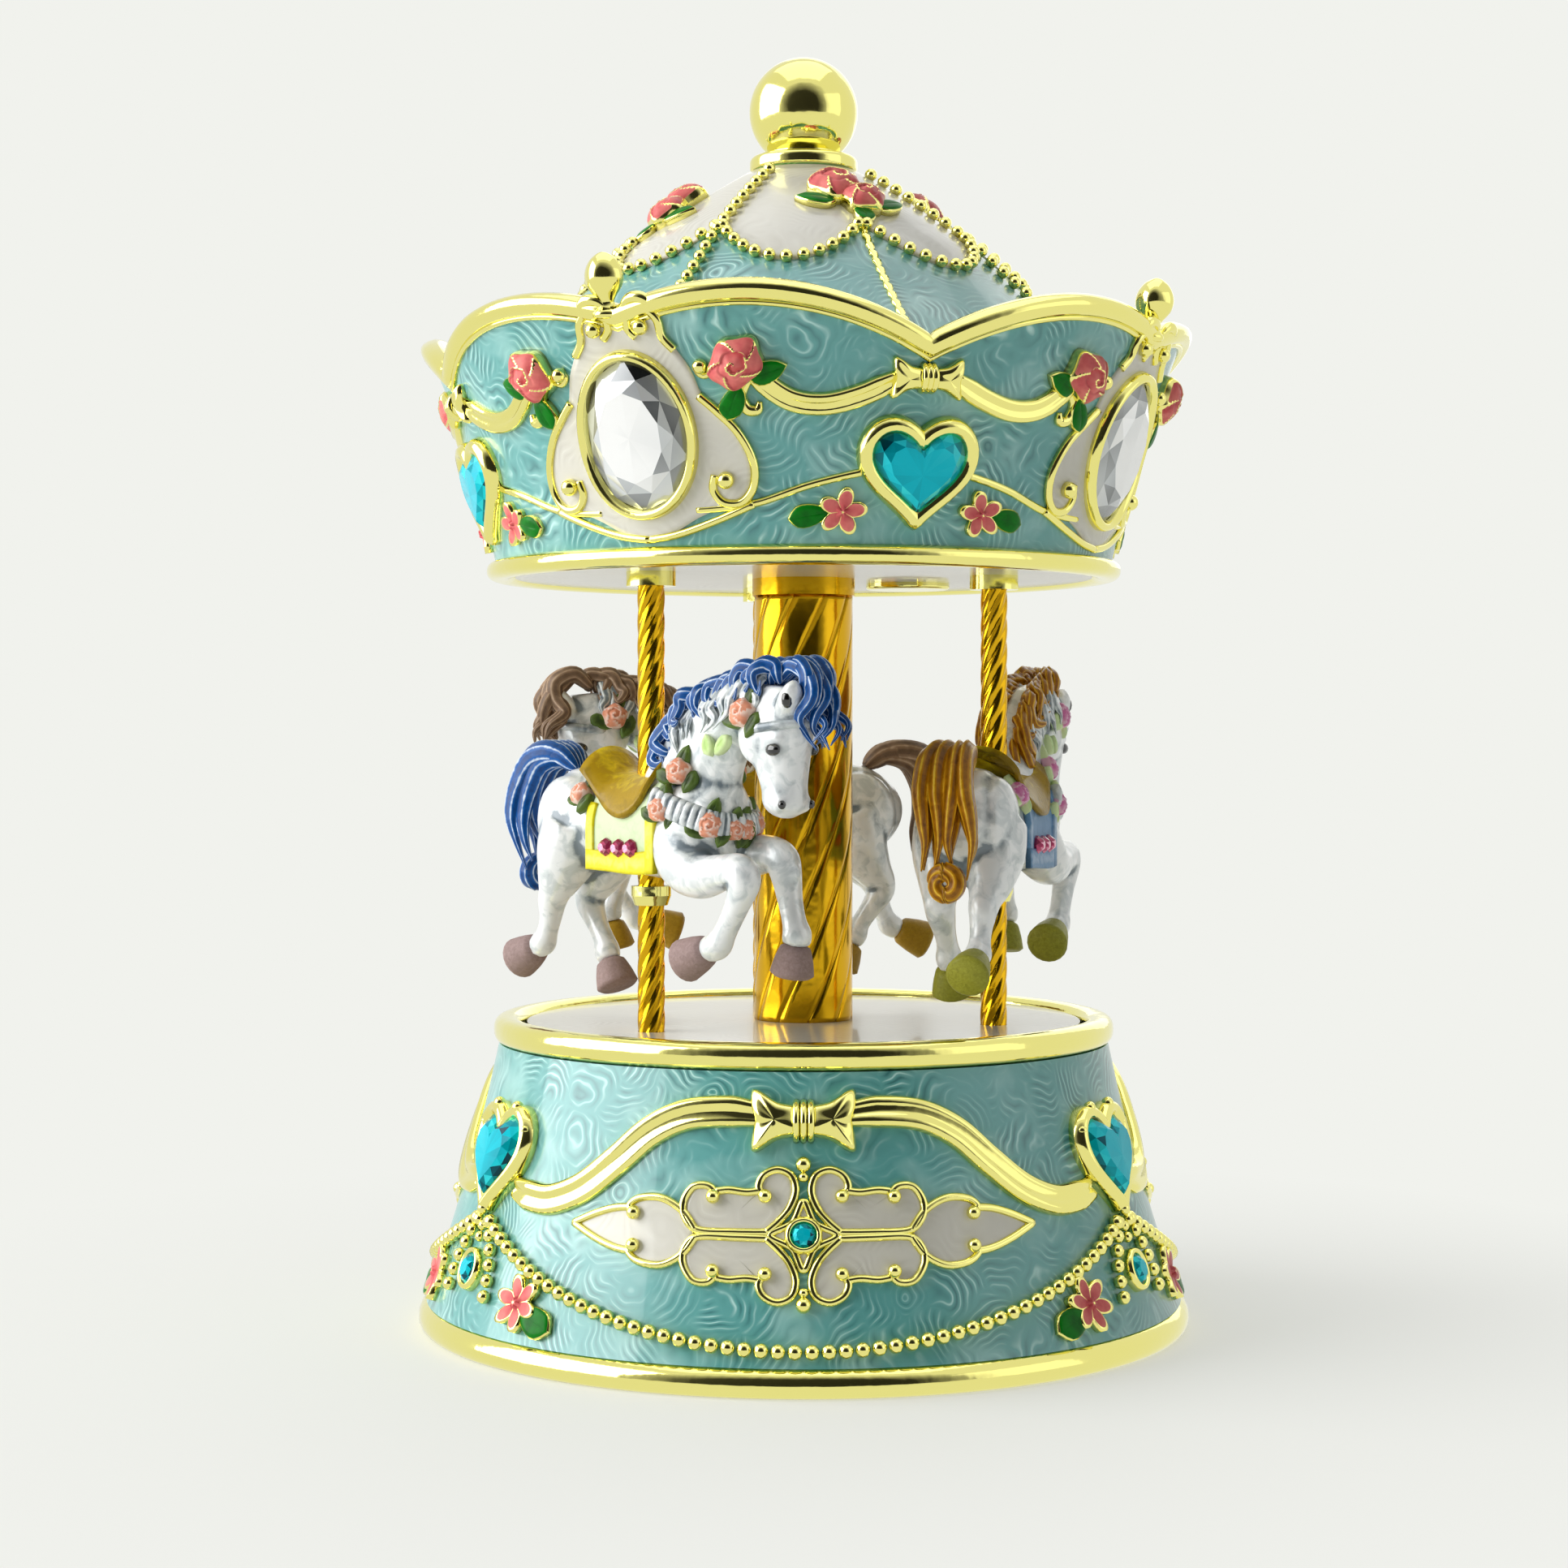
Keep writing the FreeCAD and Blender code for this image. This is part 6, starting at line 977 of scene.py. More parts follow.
class CAROUSEL_OT_crown_garlands(bpy.types.Operator):
    """Bows, ribbons, roses and small blossoms between the ovals"""
    bl_idname = "carousel.crown_garlands"
    bl_label = "Crown garlands"

    def execute(self, context):
        level = 117.4
        gold = [laid(form, CROWN_WALL, HEART_BEARING, level) for form in bow(4.3, 2.4, 1.5)]
        for side in (1, -1):
            line = np.array([(3.6, -0.2), (7.6, -2.2), (11.6, -3.3), (15.4, -2.9), (18.6, -1.0),
                             (20.6, 1.2)]) * [side, 1]
            gold.append(ribbon(CROWN_WALL, HEART_BEARING, level, line, 1.15, 1.1))
            tail = np.array([(20.6, -0.4), (21.4, -2.2), (20.6, -3.8), (19.4, -4.0),
                             (19.2, -3.0)]) * [side, 1]
            gold.append(wire(CROWN_WALL, HEART_BEARING, level, tail, 0.75, taper=True, lift=0.3))
            sprig = np.array([(24.6, 1.0), (26.0, 0.2), (27.0, 0.9), (26.8, 2.0)]) * [side, 1]
            gold.append(wire(CROWN_WALL, HEART_BEARING, level, sprig, 0.45, lift=0.2))
            gold.append(balls(fit(CROWN_WALL, HEART_BEARING, level, [(side * 26.6, 1.4, 0.7)]), 0.9,
                              "gold_plating", 16, 10))
        put("crown_ribbons", "carousel", around(gold, 4), ("canopy_garlands",))
        flowers = []
        for side in (1, -1):
            flowers.append(laid(rose(3.2, 2.6), CROWN_WALL, HEART_BEARING, level, (side * 22.4, 1.8, 0.4),
                                30 * side))
            for across, up, spin, wide in ((22.2, -2.9, 14, 3.0), (18.6, 0.6, 70, 2.8)):
                flowers.append(laid(leaf(wide, 4.6, 1.1), CROWN_WALL, HEART_BEARING, level,
                                    (side * across, up, 0.4), side * spin))
            flowers.append(laid(blossom(2.9, 1.0), CROWN_WALL, HEART_BEARING, 102.2, (side * 8.6, 0, 0.1),
                                10 * side))
            flowers.append(laid(leaf(2.8, 5.0, 1.0), CROWN_WALL, HEART_BEARING, 102.2,
                                (side * 12.4, -0.5, 0.2), side * 80))
        put("crown_flowers", "carousel", around(flowers, 4), ("canopy_roses",))
        return {"FINISHED"}


# Base

SCROLL = [(4.1, 0.35), (8.0, 0.3), (12.4, 0.4), (14.0, 1.8), (14.2, 3.6), (13.0, 5.4), (11.2, 5.6),
          (10.1, 4.6)]
SCROLL_TOP = [(10.2, 5.0), (8.6, 5.2), (6.6, 5.0), (5.0, 5.2)]
SCROLL_LOOP = [(4.4, 4.4), (5.2, 5.6), (4.6, 7.0), (3.0, 7.7), (1.4, 7.0), (0.9, 5.2), (1.6, 3.2),
               (2.8, 1.7), (4.3, 0.35)]
SCROLL_END = [(12.6, 0.3), (14.4, 2.6), (17.0, 3.9), (19.8, 3.7), (21.2, 2.6), (20.2, 1.7)]
SCROLL_TIP = [(20.8, 2.6), (23.2, 2.3), (26.0, 1.4), (29.2, 0.0)]
SCROLL_BALLS = [(10.5, 4.3), (4.4, 4.5), (20.4, 1.9)]


class CAROUSEL_OT_base_panels(bpy.types.Operator):
    """Scroll panels on the base: white fields in gold wire with ball ends, about a round stone"""
    bl_idname = "carousel.base_panels"
    bl_label = "Base panels"

    def execute(self, context):
        radius = context.scene.carousel_sizes.wire / MM
        forms = []
        lobe = SCROLL + SCROLL_TOP + SCROLL_LOOP[1:-1]
        tip = SCROLL_END[:-1] + SCROLL_TIP[1:]
        for side in (1, -1):
            for rise in (1, -1):
                field = smooth_line(np.array(lobe), 3, True)
                middle = np.array([7.4, 2.9])
                shape = relief((field - middle) * [side, rise], lambda share,
                               turn: 0.3 - 0.12 * (1 - share ** 2), "cream_enamel", 0.5, 8)
                shape = shape.at(shape.points + [side * middle[0], rise * middle[1], 0])
                forms.append(laid(shape, BASE_WALL, 0, PLAQUE_LEVEL))
                for line in (SCROLL, SCROLL_TOP, SCROLL_LOOP, SCROLL_END, SCROLL_TIP):
                    forms.append(wire(BASE_WALL, 0, PLAQUE_LEVEL, np.array(line) * [side, rise], radius,
                                      lift=0.25))
                places = [(side * x, rise * y, 0.75) for x, y in SCROLL_BALLS]
                forms.append(balls(fit(BASE_WALL, 0, PLAQUE_LEVEL, places), 0.85, "gold_plating", 14, 8))
            field = smooth_line(np.array(tip + [(x, -y) for x, y in tip[-2:0:-1]]), 3, True)
            middle = np.array([19.0, 0.0])
            shape = relief((field - middle) * [side, 1], lambda share, turn: 0.3 - 0.12 * (1 - share ** 2),
                           "cream_enamel", 0.5, 8)
            shape = shape.at(shape.points + [side * middle[0], 0, 0])
            forms.append(laid(shape, BASE_WALL, 0, PLAQUE_LEVEL))
        diamond = smooth_line(np.array([(0, 4.0), (1.3, 1.5), (3.9, 0), (1.3, -1.5), (0, -4.0),
                                        (-1.3, -1.5), (-3.9, 0), (-1.3, 1.5)]), 4, True)
        forms.append(laid(relief(diamond, lambda share, turn: 0.3 + 0 * share * turn, "cream_enamel", 0.5,
                                 5), BASE_WALL, 0, PLAQUE_LEVEL))
        forms.append(wire(BASE_WALL, 0, PLAQUE_LEVEL, diamond[::4], radius * 0.9, closed=True, lift=0.25))
        knobs = [(0, 8.3, 0.5), (0, -8.0, 0.5), (0, 6.8, 0.4), (0, -6.6, 0.4)]
        forms.append(balls(fit(BASE_WALL, 0, PLAQUE_LEVEL, knobs), [0.95, 0.95, 0.6, 0.6], "gold_plating",
                           14, 8))
        put("base_panels", "base", around(forms, 3), ("base_plaques",))
        return {"FINISHED"}


class CAROUSEL_OT_base_jewels(bpy.types.Operator):
    """Blue hearts, round stones and drops on the base, in their bezels"""
    bl_idname = "carousel.base_jewels"
    bl_label = "Base jewels"

    def execute(self, context):
        bezels, stones = [], []
        rows = ((heart_outline(11.6, 12.0, 64), 60, BASE_HEART_LEVEL, 1.1, 1.9),
                (ellipse_outline(1.75, 1.75, 32), 0, PLAQUE_LEVEL, 0.5, 1.2),
                (ellipse_outline(2.0, 2.3, 32), 60, DROP_LEVEL, 0.45, 1.2))
        for outline, bearing, level, width, height in rows:
            local = np.column_stack([outline, np.full(len(outline), 0.2)])
            path = fit(BASE_WALL, bearing, level, local)
            bezels.append(sweep(path, lean_of(BASE_WALL, bearing, level, local), oval(width, height, 12),
                                "gold_plating", ring=True))
        claws = fit(BASE_WALL, 60, BASE_HEART_LEVEL, [(-5.6, 4.0, 1.3), (5.6, 4.0, 1.3), (-2.6, 6.6, 1.2),
                                                      (2.6, 6.6, 1.2), (0, -6.4, 1.2)])
        bezels.append(balls(claws, 0.8, "gold_plating", 12, 8))
        put("base_bezels", "base", around(bezels, 3), ("base_settings",))
        for index in range(3):
            heart = jewel(heart_outline(10.4, 10.8, 20),
                          [(1.0, 1.1, False), (0.84, 2.1, True), (0.66, 2.8, False)], "blue_glass",
                          21 + index, table=0.65)
            stones.append(laid(heart, BASE_WALL, 60 + 120 * index, BASE_HEART_LEVEL))
            small = jewel(ellipse_outline(1.6, 1.6, 10),
                          [(1.0, 0.7, False), (0.8, 1.2, True), (0.5, 1.5, False)], "blue_glass",
                          31 + index)
            stones.append(laid(small, BASE_WALL, 120 * index, PLAQUE_LEVEL))
            drop = jewel(ellipse_outline(1.8, 2.1, 10),
                         [(1.0, 0.7, False), (0.8, 1.3, True), (0.5, 1.7, False)], "blue_glass", 41 + index)
            stones.append(laid(drop, BASE_WALL, 60 + 120 * index, DROP_LEVEL))
        put("base_stones", "base", stones, ("base_heart_stones", "base_small_stones"))
        return {"FINISHED"}


class CAROUSEL_OT_base_garlands(bpy.types.Operator):
    """Bows and sweeping ribbons under the base's top rim, bead swags, strands and blossoms"""
    bl_idname = "carousel.base_garlands"
    bl_label = "Base garlands"

    def execute(self, context):
        sizes = context.scene.carousel_sizes
        gold = [laid(form, BASE_WALL, 0, BASE_BOW_LEVEL - 0.4) for form in bow(6.0, 3.6, 2.1)]
        for side in (1, -1):
            line = np.array([(5.0, 0.3), (9.0, 0.6), (14.0, 0.0), (18.6, -2.2), (23.0, -5.8), (28.0, -9.4),
                             (33.0, -11.3),
                             (37.0, -11.4), (40.4, -10.8)]) * [side, 1]
            gold.append(ribbon(BASE_WALL, 0, BASE_BOW_LEVEL, line, 1.6, 1.35))
        put("base_ribbons", "base", around(gold, 3), ("base_garlands",))
        radius = sizes.base_bead / MM
        share = np.linspace(-1, 1, 120)
        swag = np.column_stack([share * np.radians(57.5), 5.1 + 11.0 * share ** 2.0])
        slope = BASE_WALL.slope(swag[:, 1])
        steep = np.sqrt(1 + slope ** 2)
        path = ring_points(BASE_WALL.radius(swag[:, 1]) + 0.75 * radius / steep, np.degrees(swag[:, 0]),
                           swag[:, 1] - 0.75 * radius * slope / steep)
        beads = [balls(evenly(path, sizes.bead_pitch / MM), radius, "gold_plating")]
        for side in (-1, 1):
            strand = smooth_line([(side * 1.4, 16.0), (side * 3.2, 13.4), (side * 4.6, 10.4),
                                  (side * 5.2, 7.2)], 6)
            local = np.column_stack([strand[:, 0], strand[:, 1] - 16.0, np.full(len(strand), 0.7 * radius)])
            beads.append(balls(evenly(fit(BASE_WALL, 60, 16.0, local), 2.2 * radius), radius * 0.92,
                               "gold_plating"))
        beads.append(balls(fit(BASE_WALL, 60, 16.0, [(0, -0.6, 0.6), (0, -2.0, 0.6)]), 0.7, "gold_plating"))
        put("base_beadwork", "base", around(beads, 3), ("base_beads",))
        flowers = []
        for side in (-1, 1):
            flowers.append(laid(blossom(3.6, 1.2, petals=6), BASE_WALL, 60, 7.8, (side * 12.2, 0, 0.1), 15))
            flowers.append(laid(leaf(3.6, 6.0, 1.1), BASE_WALL, 60, 7.8, (side * 15.8, -1.7, 0.25),
                                side * 70))
        put("base_blossoms", "base", around(flowers, 3), ("base_flowers",))
        return {"FINISHED"}


# Rims

FOOT_PROFILE = [(44.0, 0.0), (49.3, 0.0), (49.75, 0.35), (50.0, 1.0), (49.95, 1.9), (49.6, 2.7),
                (48.9, 3.3),
                (48.0, 3.6), (44.0, 3.5)]
DECK_RIM = (38.5, 38.1)
DECK_RIM_HALF = (1.8, 1.7)
CANOPY_RIM = (39.4, 97.2)
CANOPY_RIM_HALF = (1.75, 1.25)


def turned_ring(profile, finish, steps=192):
    """Ring: a closed profile of (radius, height) points turned round the axis."""
    turn = 2 * np.pi * np.arange(steps)[:, None] / steps
    radius, height = np.asarray(profile, float).T[:, None]
    grid = np.stack([radius * np.cos(turn), radius * np.sin(turn), height + 0 * turn], -1)
    return skin(grid, finish, ring=True)


class CAROUSEL_OT_rims(bpy.types.Operator):
    """Rounded gold rims: foot, deck and canopy"""
    bl_idname = "carousel.rims"
    bl_label = "Rims"

    def execute(self, context):
        put("foot_rim", "base", [turned_ring(FOOT_PROFILE, "gold_plating")],
            ("base_foot_rim",))
        deck = oval(*DECK_RIM_HALF, 24, 2.6) + DECK_RIM
        put("deck_rim", "base", [turned_ring(deck, "gold_plating")], ("base_top_rim",))
        canopy = oval(*CANOPY_RIM_HALF, 24, 2.4) + CANOPY_RIM
        put("canopy_rim", "carousel", [turned_ring(canopy, "gold_plating")],
            ("canopy_bottom_rim",))
        return {"FINISHED"}


# Poles and column

class CAROUSEL_OT_poles(bpy.types.Operator):
    """Twisted poles and the column with its engraved helical lines"""
    bl_idname = "carousel.poles"
    bl_label = "Poles and column"

    def execute(self, context):
        pitch = context.scene.carousel_sizes.twist / MM
        for index, bearing in enumerate(POLE_BEARINGS):
            low, high = (float(corner[2]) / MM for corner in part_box("pole_%d" % (index + 1)))
            height = np.linspace(low, high, 220)[:, None]
            turn = 2 * np.pi * np.arange(48)[None] / 48
            ridge = np.abs(np.cos(3 * (turn - 2 * np.pi * height / pitch))) ** 0.7
            radius = 1.44 + 0.28 * ridge
            middle = ring_points(POLE_CIRCLE, bearing, 0.0)
            grid = np.stack([middle[0] + radius * np.cos(turn), middle[1] + radius * np.sin(turn),
                             height + 0 * turn], -1)
            put("twisted_pole_%d" % (index + 1), "carousel", [skin(grid, "column_gold")],
                ("pole_%d" % (index + 1),))
        low, high = (float(corner[2]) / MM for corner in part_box("center_column"))
        step = np.array([0.0, 0.9, 1.8, 8.0, 15.0, 22.0, 29.0, 34.2, 35.1])
        depth = np.array([0.14, 0.07, 0.0, 0.0, 0.0, 0.0, 0.0, 0.0, 0.07])
        turn = np.radians((np.arange(10)[:, None] * 36 + step[None]).ravel())[None]
        height = np.linspace(low, high, 90)[:, None]
        swing = turn + 2 * np.pi * height / 84.0
        radius = 6.4 - np.tile(depth, 10)[None] + 0 * height
        outer = np.stack([radius * np.cos(swing), radius * np.sin(swing), height + 0 * turn], -1)
        inner = np.stack([4.5 * np.cos(swing), 4.5 * np.sin(swing), height + 0 * turn], -1)[::-1]
        put("engraved_column", "carousel",
            [skin(np.concatenate([outer, inner]), "column_gold", ring=True)], ("center_column",))
        return {"FINISHED"}


# Horses: forward is +X, left +Y, heights from the ferrule's top, the pole at the origin

TORSO = np.array([(-19.0, 10.4, 1.2, 1.4), (-17.6, 9.8, 3.6, 4.0), (-15.0, 9.0, 5.4, 6.0),
                  (-11.5, 8.3, 6.0, 6.6), (-6.5, 7.5, 5.5, 6.1), (-1.0, 7.1, 5.4, 5.9),
                  (4.0, 7.3, 5.6, 6.4),
                  (8.5, 8.2, 5.6, 7.1), (12.0, 9.0, 5.0, 6.6), (14.6, 9.6, 3.8, 5.2),
                  (16.4, 9.8, 1.8, 2.8)])
NECK = np.array([(6.5, 10.5, 4.8, 7.0), (9.6, 14.6, 4.0, 6.8), (12.4, 18.2, 3.4, 5.8),
                 (15.6, 20.6, 3.1, 4.8),
                 (19.4, 21.8, 2.9, 4.0), (23.0, 22.0, 2.6, 3.2)])
HEAD = np.array([(25.2, 24.6, 2.1, 2.5), (24.9, 21.6, 3.3, 4.2), (24.4, 18.0, 3.5, 4.5),
                 (24.8, 14.8, 3.0, 3.5),
                 (25.1, 12.4, 2.7, 2.9), (25.2, 10.8, 2.8, 2.8), (25.1, 9.8, 2.3, 2.2),
                 (25.0, 9.0, 1.0, 1.0)])
LEGS = [
    np.array([(8.0, -2.4, 6.8, 3.8), (11.0, -3.6, 3.2, 3.4), (14.6, -4.0, 1.8, 2.8),
              (18.6, -4.2, 2.4, 2.25),
              (21.8, -4.2, 2.6, 2.2), (22.6, -4.2, 1.2, 2.0), (21.2, -4.2, -1.6, 1.55),
              (19.2, -4.2, -4.6, 1.45),
              (17.8, -4.2, -6.3, 1.8), (15.9, -4.2, -6.9, 1.6)]),
    np.array([(8.0, 2.4, 6.8, 3.8), (11.0, 3.6, 4.6, 3.4), (14.4, 4.0, 4.2, 2.8), (17.8, 4.2, 4.4, 2.3),
              (19.8, 4.2, 3.8, 2.2), (20.6, 4.2, 2.2, 2.0), (21.3, 4.2, -0.8, 1.6), (22.1, 4.2, -3.6, 1.5),
              (22.6, 4.2, -5.2, 1.85), (22.4, 4.2, -6.4, 1.7)]),
    np.array([(-11.6, -2.4, 7.4, 4.8), (-13.0, -3.0, 3.8, 4.3), (-14.6, -3.2, 0.6, 3.0),
              (-16.0, -3.0, -1.4, 2.1),
              (-16.6, -2.9, -2.6, 1.9), (-17.1, -2.8, -4.8, 1.45), (-17.8, -2.8, -6.6, 1.4),
              (-18.5, -2.8, -7.8, 1.75), (-19.9, -2.8, -8.6, 1.5)]),
    np.array([(-11.6, 2.4, 7.4, 4.8), (-12.6, 3.0, 3.8, 4.3), (-14.4, 3.0, 0.6, 3.0),
              (-15.9, 2.8, -1.7, 2.1),
              (-15.7, 2.7, -3.2, 1.9), (-14.2, 2.6, -5.5, 1.45), (-12.9, 2.6, -7.4, 1.4),
              (-12.3, 2.6, -8.7, 1.75), (-11.6, 2.6, -10.0, 1.5)]),
]
HOOVES = [((16.1, -4.2, -6.9), (11.5, -4.2, -8.6)), ((22.4, 4.2, -6.4), (21.6, 4.2, -10.2)),
          ((-19.7, -2.8, -8.5), (-24.0, -2.8, -10.3)), ((-11.6, 2.6, -10.0), (-9.9, 2.6, -13.4))]
HOOF_SHARES = [0, 0.1, 0.5, 0.95, 1]
HOOF_SIZES = [1.3, 1.9, 2.4, 2.75, 2.3]
MUSCLES = [((22.6, 1.9, 18.6), (3.2, 1.9, 3.4)), ((10.6, 3.5, 7.6), (4.0, 2.6, 5.2)),
           ((13.2, 2.4, 8.6), (3.0, 2.4, 3.6)),
           ((-12.6, 3.5, 8.0), (5.2, 2.9, 5.8)), ((26.2, 1.8, 10.7), (1.3, 1.1, 1.2)),
           ((26.0, 2.7, 18.4), (1.8, 0.8, 0.8)),
           ((21.8, 4.1, 2.3), (1.5, 0.9, 1.3)), ((-16.6, 2.9, -2.2), (1.4, 0.9, 1.3))]
EAR = [(27.0, 1.7, 21.4, 1.3, 1.1), (28.2, 2.0, 22.9, 1.6, 1.35), (28.9, 2.1, 24.2, 1.3, 1.1),
       (29.3, 2.1, 25.2, 0.5, 0.4)]
CREST = np.array([(5.0, 14.8), (6.4, 17.8), (8.2, 20.6), (10.8, 22.2), (14.4, 23.4), (17.8, 24.4),
                  (21.4, 25.2),
                  (24.2, 25.8)])
CURL = np.array([(0, -1.0, 0.3), (0.9, 0.1, 0.9), (0.8, 1.1, 1.5), (-0.7, 1.5, 2.1), (-2.0, 0.8, 2.7),
                 (-2.4, -0.6, 3.1),
                 (-1.6, -1.5, 3.4), (-0.8, -0.9, 3.5)])
FALL = np.array([(0, 0.2, 0.6), (-0.4, 0.2, 1.9), (-1.5, -1.3, 2.9), (-1.3, -2.8, 3.5), (-2.4, -4.2, 3.7)])
FORELOCK = np.array([(24.6, 25.4), (27.0, 27.2), (29.4, 26.0), (30.6, 23.8), (30.4, 21.6), (31.2, 19.8),
                     (30.8, 17.8)])
TAIL = np.array([(-14.5, 14.6), (-17.5, 16.4), (-21.3, 15.6), (-23.4, 12.0), (-23.6, 8.4), (-22.8, 5.4),
                 (-22.2, 2.6)])
TAIL_SPREAD = np.array([0.3, 0.6, 0.85, 1.0, 1.1, 1.15, 1.1])


def limb(rows):
    """Body through oval sections on a smooth line of (x, y, height, half width, half depth) rows."""
    line = smooth_line(rows, 6)
    return sweep(line[:, :3], np.tile([0.0, 1, 0], (len(line), 1)), oval(1, 1, 16), "horse_paint",
                 line[:, [4, 3]])


def in_middle(rows):
    """Rows (x, height, ...) with a sideways place of 0 put in."""
    return np.column_stack([rows[:, 0], np.zeros(len(rows)), rows[:, 1:]])


def egg(centre, radii, finish="horse_paint", sides=16, rings=10):
    """Ball stretched to three radii about a centre."""
    form = ball_form(finish, sides, rings)
    return form.at(form.points * radii + np.asarray(centre, float))


CAST_VOXEL = 0.36          # millimetres; keeps a horse below 200,000 triangles
CAST_PASSES = 3            # rounds of averaging that even the casting out
HOLLOW_PASSES = 20         # rounds of averaging that give the wider surroundings
FLAT_TONE = -0.18
# Painted shade: how far the tone falls per millimetre that a point lies inside its surroundings
HOLLOW_PAINTED_SHADE = 7.0     # tone per millimetre


def sculpted(forms, voxel, passes):
    """Fuses overlapping forms on a grid of voxels, evens the points out, and marks hollows' painted shade
    in the tone.

    A point's tone falls, as painted shade, as the average of its wider surroundings stands outside it.
    """
    starts = np.cumsum([0] + [len(form.points) for form in forms])
    mesh = bpy.data.meshes.new("blank")
    faces = [face for form, start in zip(forms, starts) for block in form.faces
             for face in (block + start).tolist()]
    mesh.from_pydata((np.vstack([form.points for form in forms]) * MM).tolist(), [], faces)
    blank = bpy.data.objects.new("blank", mesh)
    bpy.context.scene.collection.objects.link(blank)
    fuse = blank.modifiers.new("fuse", "REMESH")
    fuse.mode = "VOXEL"
    fuse.voxel_size = voxel * MM
    done = bpy.data.meshes.new_from_object(blank.evaluated_get(bpy.context.evaluated_depsgraph_get()))
    points = np.empty(len(done.vertices) * 3)
    done.vertices.foreach_get("co", points)
    points = points.reshape(-1, 3) / MM
    edges = np.empty(len(done.edges) * 2, np.int32)
    done.edges.foreach_get("vertices", edges)
    edges = edges.reshape(-1, 2)
    sizes = np.empty(len(done.polygons), np.int32)
    done.polygons.foreach_get("loop_total", sizes)
    corners = np.empty(len(done.loops), np.int32)
    done.loops.foreach_get("vertex_index", corners)
    ends = np.cumsum(sizes)
    blocks = [corners[(ends[sizes == count] - count)[:, None] + np.arange(count)]
              for count in np.unique(sizes)]
    bpy.data.objects.remove(blank)
    bpy.data.meshes.remove(mesh)
    bpy.data.meshes.remove(done)
    degree = np.bincount(edges.ravel(), minlength=len(points))[:, None]

    def eased(values):
        total = np.zeros_like(values)
        np.add.at(total, edges[:, 0], values[edges[:, 1]])
        np.add.at(total, edges[:, 1], values[edges[:, 0]])
        return 0.5 * values + 0.5 * total / degree

    for step in range(passes):
        points = eased(points)
    wide = points
    for step in range(HOLLOW_PASSES):
        wide = eased(wide)
    form = outward(Form(points, blocks, "horse_paint"))
    quads = form.faces[-1]
    square = np.cross(points[quads[:, 2]] - points[quads[:, 0]], points[quads[:, 3]] - points[quads[:, 1]])
    out = np.zeros_like(points)
    for corner in range(4):
        np.add.at(out, quads[:, corner], square)
    out = out / np.maximum(np.linalg.norm(out, axis=1, keepdims=True), 1e-12)
    hollow = np.einsum("ij,ij->i", wide - points, out)
    # Painted shade: the tone, and with it the paint, darkens in the hollows and lightens on rounded parts
    form.tone = np.clip(FLAT_TONE - HOLLOW_PAINTED_SHADE * hollow, -1, 0.2)
    return form


def horse_body():
    """Torso, neck, head, legs, muscles and ears fused to one casting."""
    forms = [limb(in_middle(rows)) for rows in (TORSO, NECK, HEAD)]
    forms += [limb(np.column_stack([rows, rows[:, 3]])) for rows in LEGS]
    for side in (-1, 1):
        forms += [egg(np.array(centre) * [1, side, 1], radii) for centre, radii in MUSCLES]
        forms.append(limb(np.array(EAR) * [1, side, 1, 1, 1]))
    return sculpted(forms, CAST_VOXEL, CAST_PASSES)


def lock(points, width, finish, depth=0.7, dark=0.08):
    """Lock of hair: a grooved flattened section along a smooth line, thin at both ends, with a painted
    highlight on its ridges and painted shade in its grooves."""
    line = smooth_line(points, 6)
    share = np.linspace(0, 1, len(line))
    size = width * (0.3
                    + 0.7 * np.sin(np.pi * share ** 0.7) ** 0.8)[:, None] * (1 - 0.7 * share[:, None] ** 4)
    side = np.tile([0.0, 1, 0], (len(line), 1)) + 0.01
    turn = 2 * np.pi * np.arange(18) / 18
    # Painted light: groove is 1 on the ridges, which the paint lightens, and 0 in the grooves, which it
    # darkens
    groove = 0.5 + 0.5 * np.cos(6 * turn)
    profile = oval(1.0, depth, 18) * (0.82 + 0.18 * groove)[:, None]
    return sweep(line, side, profile, finish, size, tone=(dark + 0.75 * groove)[None])


